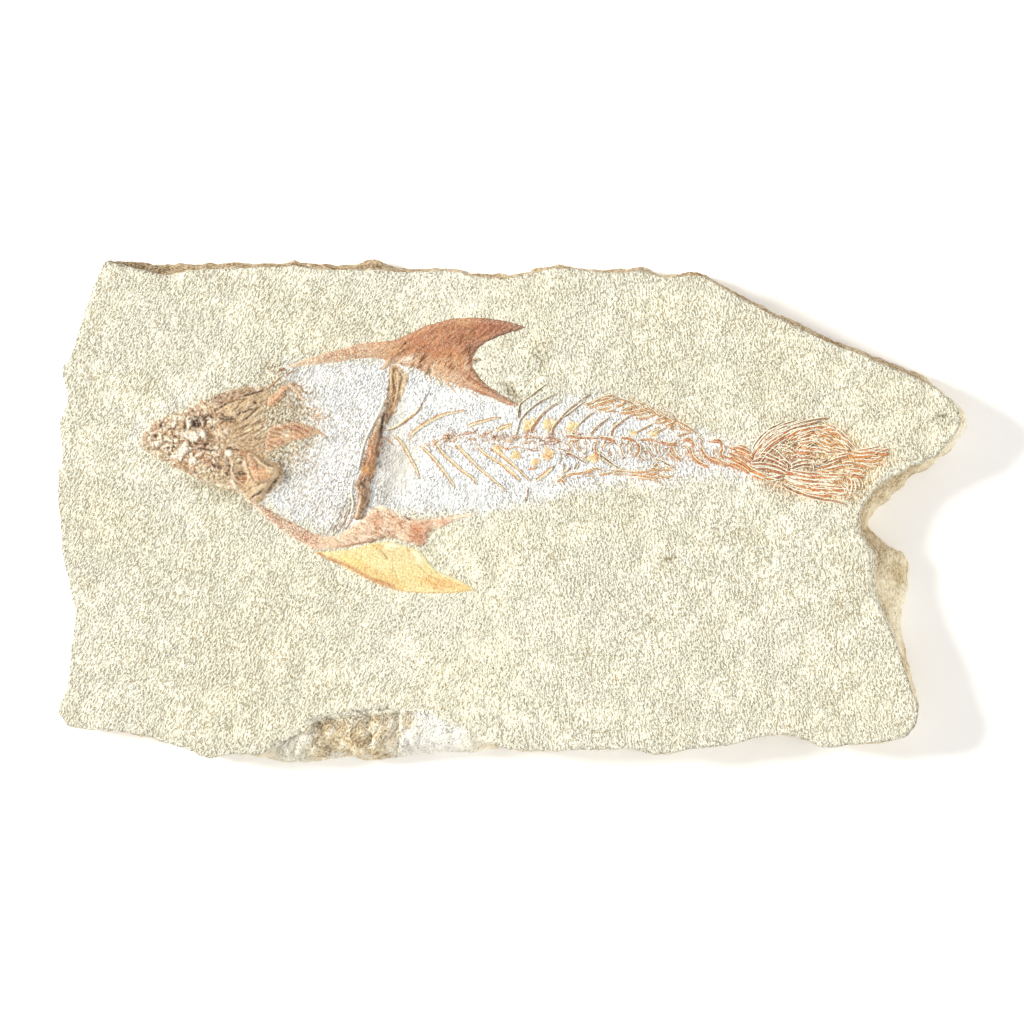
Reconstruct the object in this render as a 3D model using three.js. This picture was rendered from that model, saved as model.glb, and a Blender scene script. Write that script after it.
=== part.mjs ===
// Fossil fish slab: a palm-thick piece of pale limestone, broken free along its
// bedding, with the mineral bones of one small fish standing proud of its
// prepared upper face. Millimetres, +Z up. The slab lies flat: its underside is
// z = 0, the origin is under the middle of its length and width, +X runs from
// the snout end to the tail end and +Y to the fish's back.
//
// The stone formed as one piece and is one solid. The bones are mineral bodies
// of their own, each seated on the flat prepared face, z = SLAB_THICKNESS.

import * as THREE from 'three';

// ---------------------------------------------------------------- dimensions
const SLAB_THICKNESS = 15.5;   // underside to the prepared face
const BELLY_Z = 3.4;           // height of the widest line round the sides
const SHOULDER_Z = 9.8;        // height of the second break line round the sides
const UNDERCUT = 1.4;          // how far the underside steps in from the widest line
const EDGE_DROP = 0.7;         // worn arris below the prepared face
const EDGE_WEAR = 1.1;         // width of that arris
const SKULL_HEIGHT = 3.2;      // the crushed skull is the proudest bone
const GIRDLE_RISE = 0.42;      // height of a bone ridge as a share of its width
const RIB_RISE = 0.40;
const FIN_HEIGHT = 0.8;
const PLATE_HEIGHT = 1.2;
const VERTEBRA_HEIGHT = 0.9;
const TAIL_HEIGHT = 0.6;
const SCOOP_FIRST = 3;         // the chip's concave profile, in break-line steps

// Widest line of the slab seen from above, clockwise from the far left corner.
const OUTLINE = [
  [-112.1, 68.4], [-97.1, 68.1], [-85.9, 68.1], [-64, 68.4], [-60.5, 69.5], [-58, 68.7], [-52.2, 67.8], [-43.8, 67.8],
  [-40.2, 68.9], [-37.2, 68.9], [-32, 66.7], [-27.4, 66.7], [-17.8, 67], [-10.7, 65.6], [-2.5, 65.1], [4.7, 66.5],
  [11.8, 67.8], [17.8, 67], [24.9, 66.2], [29, 66.5], [34.2, 67], [37.5, 66.5], [41.3, 64.8], [48.1, 65.6],
  [52, 65.1], [58, 61.8], [64, 58.5], [72.5, 54.2], [80.4, 51.1], [87.2, 47.9], [95.2, 44.6], [103.1, 41],
  [111.6, 38], [115.7, 35], [119, 31.7], [121.4, 29.5], [123.9, 27.6], [125, 24.9], [124.7, 22.7], [122.5, 19.7],
  [120.1, 17], [117.6, 15], [115.2, 12.6], [111.9, 10.9], [109.1, 9.6], [107, 6.8], [105, 5.2], [103.1, 3],
  [100.7, 1.4], [99, -0.6], [97.5, -2.5], [97.7, -3.8], [99, -6], [101.2, -8.2], [103.7, -9.6], [106.4, -10.9],
  [107.8, -12.9], [108.6, -15], [108.3, -17.8], [107.8, -21.6], [107, -26.5], [107, -30.9], [107.8, -36.9], [108.6, -41.9],
  [110, -46.5], [110.8, -49.5], [110.9, -53.6], [110.5, -57.7], [109.4, -60.2], [108, -61.8], [105.6, -62.6], [99.6, -63.7],
  [92.7, -64], [87.8, -64.8], [83.7, -64.8], [79.9, -62.9], [75.8, -61.5], [67, -62.1], [59.6, -64.3], [50.9, -65.1],
  [42.9, -66.5], [38, -66.7], [33.9, -65.6], [29.3, -65.4], [18.9, -65.6], [1.9, -65.6], [-5.5, -65.4], [-12, -66.7],
  [-16.4, -66.7], [-23.8, -67.3], [-30.9, -68.1], [-35.8, -68.7], [-39.4, -69.2], [-41.9, -68.7], [-44.6, -67.8], [-47, -68.1],
  [-50, -68.7], [-55.8, -69.5], [-60.2, -69.5], [-65.1, -68.7], [-69.5, -67.6], [-73.6, -66.7], [-78.5, -67], [-82.9, -67.8],
  [-85.6, -67.3], [-90.5, -65.1], [-96.5, -63.5], [-100.4, -61.8], [-107.8, -60.7], [-114.9, -60.2], [-121.7, -59.1], [-123.4, -57.4],
  [-125, -55], [-123.4, -49.8], [-122, -45.4], [-121.6, -40.5], [-121.2, -35.6], [-120.3, -30.6], [-120.3, -27.4], [-121.4, -23.5],
  [-122.4, -18.6], [-123.4, -13.9], [-123.9, -9.6], [-124.2, -4.9], [-124.7, 0], [-125, 4.9], [-125, 10.4], [-123.9, 14.5],
  [-124.2, 19.4], [-124.7, 24.3], [-122.8, 29.5], [-122.8, 33.1], [-123.6, 36.4], [-123.6, 39.7], [-121.4, 42.7], [-119.2, 49.5],
  [-117.1, 55.8],
];

const TOP_EDGE = [
  [-110.5, 66.5], [-97.1, 64.8], [-85.9, 65.9], [-63.7, 66.7], [-60.2, 67], [-57.7, 66.5], [-52.2, 65.9], [-44, 65.9],
  [-40.2, 65.6], [-36.9, 65.6], [-31.7, 65.4], [-27.3, 65.4], [-17.9, 65.5], [-10.9, 64.2], [-2.4, 63.5], [4.9, 65],
  [11.8, 66.2], [17.7, 66], [24.9, 64.9], [29.1, 64.9], [34.1, 65.6], [37, 65], [41.1, 63.8], [48.1, 64.4],
  [51.6, 64], [57.4, 60.7], [63.5, 57.4], [71.9, 52.8], [79.3, 49.2], [86.2, 46], [94.1, 42.9], [101.8, 39.7],
  [109.7, 36.4], [113.8, 34.2], [116.5, 32.5], [119.2, 30.4], [121.2, 28.4], [122, 26], [122, 23.2], [120.1, 20.5],
  [117.9, 17.8], [116, 15.3], [113.2, 13.9], [109.7, 12.9], [107, 11.5], [103.9, 9.8], [101.8, 8.8], [99.3, 7.1],
  [97.4, 4.7], [95.5, 1.9], [94.6, -0.8], [94.2, -2.7], [94.2, -4.9], [94.6, -6.8], [95.6, -8.8], [96.8, -10.4],
  [97.4, -12], [97.5, -13.9], [97.1, -16.1], [97.7, -19.7], [99, -24.1], [101.2, -29], [103.7, -33.6], [105.6, -38.8],
  [107.1, -44], [108.6, -48.7], [110, -52.8], [109.4, -56.6], [108, -59.1], [106.7, -60.5], [105.2, -61.4], [99.4, -62.4],
  [92.6, -63], [87.7, -63.7], [84, -63.7], [80.5, -61.5], [76, -60.1], [66.8, -61], [59.3, -62.8], [50.7, -64],
  [42.8, -65.1], [38.1, -65.7], [34.1, -64.7], [29.3, -63.8], [18.9, -64.5], [1.9, -64.5], [-6.6, -63.5], [-14.2, -59.1],
  [-19.7, -56.4], [-25.7, -54.2], [-30.4, -54.4], [-35, -54.8], [-39.4, -55.1], [-43.8, -55.5], [-47.6, -56.1], [-52, -56.6],
  [-55.2, -57.7], [-58.5, -60.2], [-62.1, -62.6], [-66.2, -64.8], [-69.8, -66.2], [-73.5, -65.1], [-78.7, -65.5], [-82.9, -66.7],
  [-85.1, -65.8], [-90.1, -63.9], [-96.1, -62.1], [-100.1, -60.8], [-107.6, -59.1], [-114.7, -58.8], [-121, -57.6], [-122.1, -56.4],
  [-123.8, -54.8], [-122.2, -50.1], [-120.9, -45.6], [-120.5, -40.6], [-120.2, -35.7], [-119.2, -30.7], [-119, -27.2], [-120.5, -23.3],
  [-121, -18.3], [-122.2, -13.8], [-122.7, -9.5], [-122.7, -4.8], [-123.4, 0.1], [-123.8, 5], [-123.7, 10.2], [-122.5, 14.3],
  [-123.2, 19.5], [-123.1, 24.1], [-121.8, 29.4], [-121.3, 33.3], [-122.1, 36.6], [-122.7, 39.4], [-120.1, 42], [-118.1, 49.1],
  [-115.8, 55.3],
];

// Vertices of the outline where a shell-shaped chip has left the near edge.
const CHIP_X = [-68, -6];
const CHIP_Y = -53;

// Long narrow bones: name, centre line, width at each point.
const RIDGES = [
  ['backbone', [[-24.6, 17.9], [-21.3, 18.9], [-16.7, 20.1], [-12, 20.8], [-7.7, 20.5], [-2.5, 19.8], [2.2, 19.6], [5.5, 19.7], [9.3, 19.3], [12.6, 19.3]], [0.82, 1.37, 1.64, 1.91, 2.05, 2.19, 2.05, 1.78, 1.64, 0.96]],
  ['shoulder_bone', [[-33.6, 38.3], [-34.3, 33.6], [-35.3, 28.2], [-36.5, 23.5], [-37.8, 19.4], [-39.4, 13.9], [-40.3, 9.6], [-40.9, 5.7], [-41.4, 2.7]], [1.91, 1.78, 1.78, 2.19, 3.28, 3.83, 3.56, 3.28, 2.19]],
  ['rib_upper_1', [[-34.7, 22.2], [-33.1, 22.7], [-31.4, 23.5], [-30.1, 24.6], [-28.2, 26], [-26.5, 27.4], [-25.4, 29]], [0.44, 0.66, 0.82, 1.09, 0.98, 0.66, 0.33]],
  ['rib_upper_2', [[-28.2, 20.2], [-27.1, 21.9], [-25.4, 23], [-23, 24.6], [-20, 26.1], [-16.7, 26.9], [-12.9, 27.5]], [0.88, 1.04, 0.98, 0.88, 0.82, 0.66, 0.38]],
  ['rib_upper_3', [[-12.9, 23.1], [-10.9, 23.9], [-8.2, 24.6], [-5.7, 25.3], [-3.6, 25.6]], [0.6, 0.82, 0.82, 0.71, 0.38]],
  ['rib_upper_4', [[-4.7, 21.7], [-3.8, 22.7], [-2.5, 23.2], [-0.8, 23.8]], [0.55, 0.71, 0.71, 0.44]],
  ['rib_lower_1', [[-33.1, 20.8], [-31.2, 19.1], [-29.5, 16.7], [-28.2, 13.9], [-26.8, 11.5], [-26, 8.8]], [0.55, 0.88, 0.98, 0.88, 0.71, 0.33]],
  ['rib_lower_2', [[-25.4, 16.6], [-23.8, 15.6], [-21.9, 14.2], [-20, 11.8], [-18.1, 9.3], [-16.1, 6.3]], [0.55, 0.88, 0.88, 0.82, 0.71, 0.38]],
  ['rib_lower_3', [[-21.1, 17.8], [-19.7, 16.1], [-17.5, 13.9], [-14.8, 11.5], [-12, 9.6], [-10.7, 8.2], [-10.1, 7.1]], [0.66, 0.93, 0.98, 0.93, 0.82, 0.66, 0.38]],
  ['rib_lower_4', [[-15.3, 18.1], [-14.2, 16.4], [-12, 14.2], [-9.3, 11.5], [-6.6, 9.3], [-4.4, 7.4], [-2.7, 6]], [0.71, 0.98, 0.93, 0.82, 0.71, 0.6, 0.38]],
  ['rib_lower_5', [[-9.8, 17.5], [-8.2, 15.9], [-5.5, 14.1], [-2.7, 12.4], [-1.1, 10.9], [0.6, 9.6], [1.4, 8.2]], [0.66, 0.82, 0.88, 1.09, 1.37, 0.88, 0.44]],
  ['rib_lower_6', [[-5.5, 17], [-3, 15], [-0.6, 12.9], [1.6, 10.9], [4.4, 8.2]], [0.82, 1.15, 0.88, 0.71, 0.38]],
  ['rib_lower_7', [[6.6, 8.5], [8.5, 10.1], [10.7, 12.3]], [0.71, 0.98, 0.55]],
  ['neural_spine_1', [[1.1, 22.2], [1.8, 24.6], [3.6, 26.8], [5.5, 28.4], [7.4, 29.8], [9.8, 30.9]], [0.66, 0.6, 0.55, 0.49, 0.44, 0.33]],
  ['neural_spine_2', [[5.5, 21.9], [6.3, 23], [7.4, 24.9], [9, 26.5], [10.7, 27.9], [12.9, 29.1]], [1.26, 1.2, 0.98, 0.6, 0.49, 0.33]],
  ['neural_spine_3', [[10.8, 21.3], [11.8, 23.2], [12.9, 24.9], [14.8, 27.1], [17.5, 29.3], [19.4, 30.8], [21.3, 32]], [0.82, 0.77, 0.66, 0.55, 0.55, 0.49, 0.33]],
  ['neural_spine_4', [[16.7, 21.6], [17.4, 22.7], [18.9, 24.3], [20.5, 25.7], [21.9, 26.7]], [1.2, 0.88, 0.55, 0.49, 0.33]],
  ['neural_spine_5', [[21.3, 21.1], [22.2, 21.9], [23.5, 23.2], [25.2, 24.6], [26.3, 25.4]], [0.77, 0.77, 0.66, 0.55, 0.33]],
  ['neural_spine_6', [[27.1, 20.9], [27.5, 21.9], [28.4, 23.2], [30.1, 24.3]], [0.71, 0.82, 0.71, 0.38]],
  ['neural_spine_7', [[33.4, 21.2], [35, 22.2], [36.9, 23]], [0.44, 0.49, 0.33]],
  ['neural_spine_8', [[37.5, 20.5], [39.1, 21.3], [40.5, 22]], [0.82, 0.77, 0.44]],
  ['neural_spine_9', [[44.3, 20.1], [45.7, 20.6], [47.3, 21]], [0.49, 0.49, 0.33]],
  ['haemal_spine_1', [[17.2, 13.3], [16.7, 12.3], [16.7, 11.2]], [0.44, 0.44, 0.33]],
  ['haemal_spine_2', [[24.3, 13.7], [26.3, 12.6], [27.9, 11.6]], [0.55, 0.49, 0.33]],
];

// Flat bones and fins: name, outline.
const PLATES = [
  ['skull', [
    [-101.8, 18.6], [-100.7, 22.2], [-98.2, 24.6], [-95.2, 25.9], [-91.9, 26.8], [-88.6, 27.9], [-85.6, 29.8], [-81, 31.4],
    [-76.3, 33], [-72.2, 33.6], [-68.7, 33.6], [-68.9, 30.4], [-70, 27.1], [-68.9, 23.8], [-68.9, 20.5], [-69.8, 17.5],
    [-73, 17.2], [-74.1, 14.5], [-74.4, 11.2], [-73.6, 7.9], [-75.5, 6], [-79.3, 6.6], [-83.7, 8.2], [-87.8, 9.6],
    [-91.9, 11.5], [-95.2, 13.4], [-98.2, 15], [-100.4, 16.7],
  ]],
  ['gill_plate', [
    [-67.3, 22.2], [-65.4, 23.8], [-61.3, 24.3], [-56.9, 23.5], [-53.3, 21.9], [-52.8, 20.8], [-55.2, 19.4], [-59.1, 18.9],
    [-62.9, 17.8], [-66.5, 16.7], [-67.8, 17.8], [-67.8, 20],
  ]],
  ['brow_bone', [
    [-64.3, 33.6], [-62.1, 33.6], [-61.3, 32.3], [-63.5, 30.1], [-65.9, 28.4], [-67.6, 29], [-66.2, 31.2],
  ]],
  ['jaw_bone', [
    [-72.2, 16.1], [-70.3, 15], [-68.9, 13.4], [-67.3, 12.2], [-64.8, 11.5], [-64.8, 9], [-67.3, 7.7], [-70.3, 7.9],
    [-71.9, 9.8], [-72.8, 12.3], [-73, 14.5],
  ]],
  ['upper_pectoral_fin', [
    [-61.5, 40.2], [-55.8, 42.1], [-50.3, 44], [-43.8, 45.4], [-38, 46.5], [-31.7, 47], [-27.9, 49], [-24.1, 50.9],
    [-20.2, 52], [-16.4, 52.8], [-11.5, 53.1], [-6.3, 52.8], [-0.8, 51.7], [3.6, 50.3], [0.3, 49.2], [-3.3, 47.9],
    [-6, 46.8], [-8.2, 45.7], [-9.8, 44.3], [-10.9, 42.9], [-11.8, 41.3], [-11.8, 39.7], [-10.7, 37.8], [-9.3, 35.8],
    [-7.7, 34.2], [-5.7, 32.8], [-3.3, 31.4], [-0.8, 30.4], [0.6, 29.3], [-0.8, 28.9], [-4.9, 30.5], [-9.3, 32],
    [-12.9, 33.1], [-16.4, 34.2], [-18.9, 35.4], [-21.1, 36.5], [-24.1, 38], [-27.1, 39.4], [-29.5, 39.9], [-31.7, 40.5],
    [-33.1, 41.9], [-38, 42.1], [-43.8, 41.9], [-47.3, 40.8], [-54.4, 40.2], [-60.7, 39.4],
  ]],
  ['lower_pectoral_fin', [
    [-72.8, 3], [-68.7, 1.1], [-64, -1.6], [-58.5, -4.7], [-53.6, -6.6], [-48.7, -5.2], [-44.3, -3.8], [-41.3, -1.1],
    [-38.8, 0.8], [-35.3, 1.6], [-32, 0], [-28.7, -1.9], [-24.9, -1.9], [-21.1, -1.6], [-14.8, -0.6], [-8.2, 0.3],
    [-11.5, -1.4], [-15.3, -3], [-21.1, -4.9], [-23, -7.1], [-24.3, -9], [-26.3, -9.6], [-29.5, -8.2], [-33.6, -7.1],
    [-40.5, -8.2], [-47.3, -9.8], [-54.4, -10.4], [-58.5, -8.2], [-62.4, -6], [-65.6, -3.6], [-69.5, -0.3],
  ]],
  ['pelvic_fin', [
    [-54.2, -11.3], [-49.5, -13.9], [-45.7, -16.1], [-41.9, -18.1], [-38, -19.7], [-34.2, -21.1], [-31.2, -21.9], [-28.2, -22.2],
    [-24.1, -22.4], [-20, -22.4], [-16.1, -22.4], [-12.9, -22.2], [-9.8, -21.6], [-13.1, -19.4], [-16.4, -17.8], [-18.9, -17],
    [-21.1, -16.1], [-22.7, -14.5], [-24.1, -12.6], [-25.4, -11.2], [-27.6, -10.1], [-30.1, -9.3], [-33.6, -8.2], [-40.5, -9.3],
    [-47.3, -10.9],
  ]],
  ['vertebra_1', [
    [14.2, 20.2], [18.6, 20.4], [23, 20], [23, 19], [20.5, 18.3], [20, 16.4], [21.1, 14.8], [20.5, 13.4],
    [18.3, 14.2], [15.6, 15], [13.7, 14.2], [13.1, 15.3], [14.8, 16.7], [15.9, 17.8], [14.5, 18.9],
  ]],
  ['vertebra_2', [
    [24.1, 19.8], [28.2, 19.8], [28.7, 18.9], [27.9, 17.5], [28.7, 16.1], [29.8, 13.9], [28.2, 13.1], [26, 14.2],
    [23.2, 15.9], [23.5, 17.5], [24.3, 18.6],
  ]],
  ['vertebra_3', [
    [29.5, 20], [33.4, 19.1], [34.5, 18.6], [34.2, 17], [35, 14.5], [33.1, 13.7], [31.4, 14.8], [32.5, 16.7],
    [32, 18.1], [29.8, 18.9],
  ]],
  ['vertebra_4', [
    [35.6, 19.4], [38.8, 19.6], [40.2, 18.6], [39.4, 17], [39.9, 14.8], [41.3, 13.5], [42.9, 12.9], [42.7, 12.2],
    [39.7, 13.3], [38, 15], [38.3, 16.7], [37.5, 18.3],
  ]],
  ['vertebra_5', [
    [41.3, 18.6], [43.5, 19.1], [44.9, 18.1], [44.6, 16.4], [45.7, 14.2], [45.1, 13.4], [43.5, 14.2], [42.4, 15.9],
    [42.7, 17.2],
  ]],
  ['vertebra_6', [
    [47, 19.4], [48.4, 19.4], [49.8, 17.8], [49.2, 16.4], [49.8, 14.5], [51.7, 13.1], [53.3, 12.3], [52.5, 11.8],
    [49.8, 12.6], [47.9, 14.2], [47, 16.1], [47.3, 17.8],
  ]],
  ['vertebra_7', [
    [50.9, 17], [52, 16.1], [52.5, 14.8], [54.7, 13.8], [54.4, 13.1], [52, 13.7], [50.6, 15],
  ]],
  ['vertebra_8', [
    [52.8, 19.4], [55.5, 19.4], [56.9, 18.6], [57.7, 17.8], [56.9, 16.7], [57.2, 15], [58.3, 14.1], [57.4, 13.4],
    [55.5, 14.5], [55, 16.4], [55, 17.8], [53.1, 18.6],
  ]],
  ['tail_base', [
    [59.4, 17.2], [62.1, 17.4], [64.3, 16.7], [64, 14.8], [63.2, 12.9], [62.9, 11.5], [61, 12], [59.4, 13.1],
    [58.5, 14.4], [59.4, 15.3],
  ]],
  ['tail_fin', [
    [65.4, 17], [66.5, 19.1], [68.1, 21.1], [70.6, 22.4], [74.1, 23.9], [78, 24.8], [81.8, 25.3], [86.2, 25.3],
    [88.3, 23], [90.8, 20.5], [93.5, 17], [97.4, 16.7], [100.4, 17.4], [103.1, 16.4], [101.8, 14.8], [99.6, 12.9],
    [96.8, 10.9], [94.6, 9.6], [93, 7.9], [92.5, 5.7], [91.6, 3.6], [87.8, 3.3], [83.7, 4], [79.6, 4.9],
    [75.5, 6.3], [72.5, 7.9], [69.2, 8.6], [66.5, 9], [64.3, 9.3], [64, 10.9], [64.8, 12.9], [65.4, 14.8],
  ]],
  ['dorsal_fin', [
    [19.1, 29], [23, 30.4], [25.4, 31.7], [28.4, 30.8], [31.2, 30.9], [34.5, 28.7], [37.2, 28.2], [39.9, 26.5],
    [42.7, 25.7], [44.3, 24.9], [46.5, 23.2], [49, 21.9], [45.4, 22.2], [42.1, 23.1], [38.8, 24.5], [34.5, 24.9],
    [32.8, 26], [29, 26.3], [27.9, 27.6], [23.5, 27.4], [20.8, 27.9],
  ]],
  ['anal_fin', [
    [11.8, 8.8], [13.4, 10], [15.9, 9.8], [18.9, 10.5], [22.2, 10.9], [23.5, 10.4], [26.8, 10.4], [29, 10.8],
    [34.5, 10.9], [38.6, 12], [41, 12], [43.2, 10.9], [43.2, 9], [39.9, 8.5], [35.8, 8.8], [32.3, 9.6],
    [27.6, 9.6], [23.5, 9.6], [19.4, 9.6], [15.9, 9], [13.7, 7.4], [12, 7.7],
  ]],
];

// ------------------------------------------------------------------- colours
const LIMESTONE = { color: 0xe6dfc8, roughness: 0.92, metalness: 0.0 };
const BONE_BROWN = { color: 0x9a6b43, roughness: 0.62, metalness: 0.0 };
const BONE_OCHRE = { color: 0xcf9a5c, roughness: 0.62, metalness: 0.0 };
const BONE_PALE = { color: 0xd9b98a, roughness: 0.7, metalness: 0.0 };
const BONE_RUST = { color: 0xb97a4c, roughness: 0.66, metalness: 0.0 };

// ------------------------------------------------------------------- helpers
function area(pts) {
  let a = 0;
  for (let i = 0; i < pts.length; i += 1) {
    const p = pts[i];
    const q = pts[(i + 1) % pts.length];
    a += p[0] * q[1] - q[0] * p[1];
  }
  return a / 2;
}

// Small repeatable unevenness, 0 to 1.
function uneven(i, k) {
  const s = Math.sin(i * 12.9898 + k * 78.233) * 43758.5453;
  return s - Math.floor(s);
}

// Moves each point of a counter-clockwise outline inward by d.
function inset(pts, d) {
  const n = pts.length;
  return pts.map((p, i) => {
    const a = pts[(i + n - 1) % n];
    const c = pts[(i + 1) % n];
    const l1 = Math.hypot(p[0] - a[0], p[1] - a[1]);
    const l2 = Math.hypot(c[0] - p[0], c[1] - p[1]);
    let nx = -(p[1] - a[1]) / l1 - (c[1] - p[1]) / l2;
    let ny = (p[0] - a[0]) / l1 + (c[0] - p[0]) / l2;
    const l = Math.hypot(nx, ny) || 1;
    const w = typeof d === 'number' ? d : d[i];
    return [p[0] + (nx / l) * w, p[1] + (ny / l) * w];
  });
}

// Joins rings of equal length, bottom to top, and closes both ends.
function loft(rings) {
  const n = rings[0].length;
  const position = [];
  const index = [];
  for (const ring of rings) for (const p of ring) position.push(p[0], p[1], p[2]);
  for (let r = 0; r + 1 < rings.length; r += 1) {
    for (let i = 0; i < n; i += 1) {
      const j = (i + 1) % n;
      const a = r * n + i;
      const b = r * n + j;
      const c = (r + 1) * n + j;
      const d = (r + 1) * n + i;
      index.push(a, b, c, a, c, d);
    }
  }
  const cap = (ring) => THREE.ShapeUtils.triangulateShape(
    ring.map((p) => new THREE.Vector2(p[0], p[1])), []);
  for (const [a, b, c] of cap(rings[0])) index.push(a, c, b);
  const base = (rings.length - 1) * n;
  for (const [a, b, c] of cap(rings[rings.length - 1])) index.push(base + a, base + b, base + c);
  const geometry = new THREE.BufferGeometry();
  geometry.setAttribute('position', new THREE.Float32BufferAttribute(position, 3));
  geometry.setIndex(index);
  geometry.computeVertexNormals();
  return geometry;
}

// A low ridge with a flat foot and a narrow back, following a centre line.
function ridge(line, widths, rise) {
  const n = line.length;
  const sections = line.map((p, i) => {
    const a = line[Math.max(0, i - 1)];
    const c = line[Math.min(n - 1, i + 1)];
    const l = Math.hypot(c[0] - a[0], c[1] - a[1]);
    const nx = -(c[1] - a[1]) / l;
    const ny = (c[0] - a[0]) / l;
    const w = widths[i] / 2;
    const h = Math.max(0.22, widths[i] * rise);
    return [
      [p[0] + nx * w, p[1] + ny * w, 0],
      [p[0] + nx * w * 0.5, p[1] + ny * w * 0.5, h],
      [p[0] - nx * w * 0.5, p[1] - ny * w * 0.5, h],
      [p[0] - nx * w, p[1] - ny * w, 0],
    ];
  });
  const position = sections.flat(2);
  const index = [];
  for (let i = 0; i + 1 < n; i += 1) {
    for (let k = 0; k < 4; k += 1) {
      const a = i * 4 + k;
      const b = i * 4 + ((k + 1) % 4);
      index.push(a, b + 4, a + 4, a, b, b + 4);
    }
  }
  index.push(0, 2, 1, 0, 3, 2);
  const e = (n - 1) * 4;
  index.push(e, e + 1, e + 2, e, e + 2, e + 3);
  const geometry = new THREE.BufferGeometry();
  geometry.setAttribute('position', new THREE.Float32BufferAttribute(position, 3));
  geometry.setIndex(index);
  geometry.computeVertexNormals();
  return geometry;
}

// A flat bone: a thin plate with a rounded rim.
function plate(outline, height, rim) {
  const ccw = area(outline) > 0 ? outline : [...outline].reverse();
  const up = (pts, z) => pts.map((p) => [p[0], p[1], z]);
  return loft([up(ccw, 0), up(inset(ccw, rim * 0.3), height * 0.65), up(inset(ccw, rim), height)]);
}

// A domed bone: the outline drawn in towards its middle as it rises.
function dome(outline, height) {
  const ccw = area(outline) > 0 ? outline : [...outline].reverse();
  const cx = ccw.reduce((s, p) => s + p[0], 0) / ccw.length;
  const cy = ccw.reduce((s, p) => s + p[1], 0) / ccw.length;
  const steps = [[1, 0], [0.965, 0.34], [0.84, 0.72], [0.6, 0.93], [0.32, 1]];
  return loft(steps.map(([f, h]) => ccw.map((p) => [
    cx + (p[0] - cx) * f, cy + (p[1] - cy) * f, h * height])));
}

// ---------------------------------------------------------------------- slab
function slabGeometry() {
  const flip = area(OUTLINE) < 0;
  const outer = flip ? [...OUTLINE].reverse() : OUTLINE;
  const top = flip ? [...TOP_EDGE].reverse() : TOP_EDGE;
  const mix = (a, b, f) => [a[0] + (b[0] - a[0]) * f, a[1] + (b[1] - a[1]) * f];
  const inChip = (p) => p[0] > CHIP_X[0] && p[0] < CHIP_X[1] && p[1] < CHIP_Y + 2 && p[1] > -70;
  const chipped = outer.map((p, i) => inChip(p) && Math.hypot(p[0] - top[i][0], p[1] - top[i][1]) > 3);
  const foot = inset(outer, outer.map((p, i) => UNDERCUT * (0.5 + 0.8 * uneven(i, 1))));
  const rings = [
    foot.map((p) => [p[0], p[1], 0]),
    outer.map((p, i) => [p[0], p[1], BELLY_Z + 1.6 * (uneven(i, 2) - 0.5)]),
    outer.map((p, i) => {
      const m = mix(p, top[i], chipped[i] ? 0.62 : 0.3 + 0.3 * uneven(i, 3));
      const z = chipped[i] ? SHOULDER_Z - SCOOP_FIRST : SHOULDER_Z + 2.2 * (uneven(i, 4) - 0.5);
      return [m[0], m[1], z];
    }),
    top.map((p, i) => [p[0], p[1], SLAB_THICKNESS - EDGE_DROP * (0.5 + uneven(i, 5))]),
    inset(top, EDGE_WEAR).map((p) => [p[0], p[1], SLAB_THICKNESS]),
  ];
  return loft(rings);
}

// ------------------------------------------------------------------ assembly
const fossil = new THREE.Group();
fossil.name = 'fossil_fish_slab';

function add(name, geometry, finish, z) {
  const mesh = new THREE.Mesh(geometry, new THREE.MeshStandardMaterial(finish));
  mesh.name = name;
  mesh.position.set(0, 0, z);
  fossil.add(mesh);
}

add('slab', slabGeometry(), LIMESTONE, 0);

const RIDGE_FINISH = { backbone: BONE_RUST, shoulder_bone: BONE_BROWN };
for (const [name, line, widths] of RIDGES) {
  const rise = name === 'shoulder_bone' ? GIRDLE_RISE : RIB_RISE;
  add(name, ridge(line, widths, rise), RIDGE_FINISH[name] || BONE_OCHRE, SLAB_THICKNESS);
}

const PLATE_BUILD = {
  skull: (p) => [dome(p, SKULL_HEIGHT), BONE_BROWN],
  gill_plate: (p) => [plate(p, PLATE_HEIGHT, 0.7), BONE_RUST],
  brow_bone: (p) => [plate(p, PLATE_HEIGHT, 0.6), BONE_OCHRE],
  jaw_bone: (p) => [plate(p, PLATE_HEIGHT, 0.6), BONE_OCHRE],
  upper_pectoral_fin: (p) => [plate(p, FIN_HEIGHT, 0.35), BONE_RUST],
  lower_pectoral_fin: (p) => [plate(p, FIN_HEIGHT, 0.35), BONE_BROWN],
  pelvic_fin: (p) => [plate(p, FIN_HEIGHT, 0.35), BONE_PALE],
  tail_base: (p) => [plate(p, VERTEBRA_HEIGHT, 0.4), BONE_RUST],
  tail_fin: (p) => [plate(p, TAIL_HEIGHT, 0.4), BONE_RUST],
  dorsal_fin: (p) => [plate(p, TAIL_HEIGHT, 0.3), BONE_PALE],
  anal_fin: (p) => [plate(p, TAIL_HEIGHT, 0.2), BONE_PALE],
};
for (const [name, outline] of PLATES) {
  const build = PLATE_BUILD[name] || ((p) => [plate(p, VERTEBRA_HEIGHT, 0.22), BONE_RUST]);
  const [geometry, finish] = build(outline);
  add(name, geometry, finish, SLAB_THICKNESS);
}

export default fossil;
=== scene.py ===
"""Fossil fish slab: the visual model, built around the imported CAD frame.

Everything is laid out on a drawing grid: one unit is 0.27352 mm, x runs from the
snout to the tail and y from the fish's back to its belly. P() turns grid points
into millimetres in the CAD frame. Meshes are made in millimetres and written in metres.
"""
import math
import numpy as np
import bpy
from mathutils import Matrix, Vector
from mathutils.geometry import delaunay_2d_cdt


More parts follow.
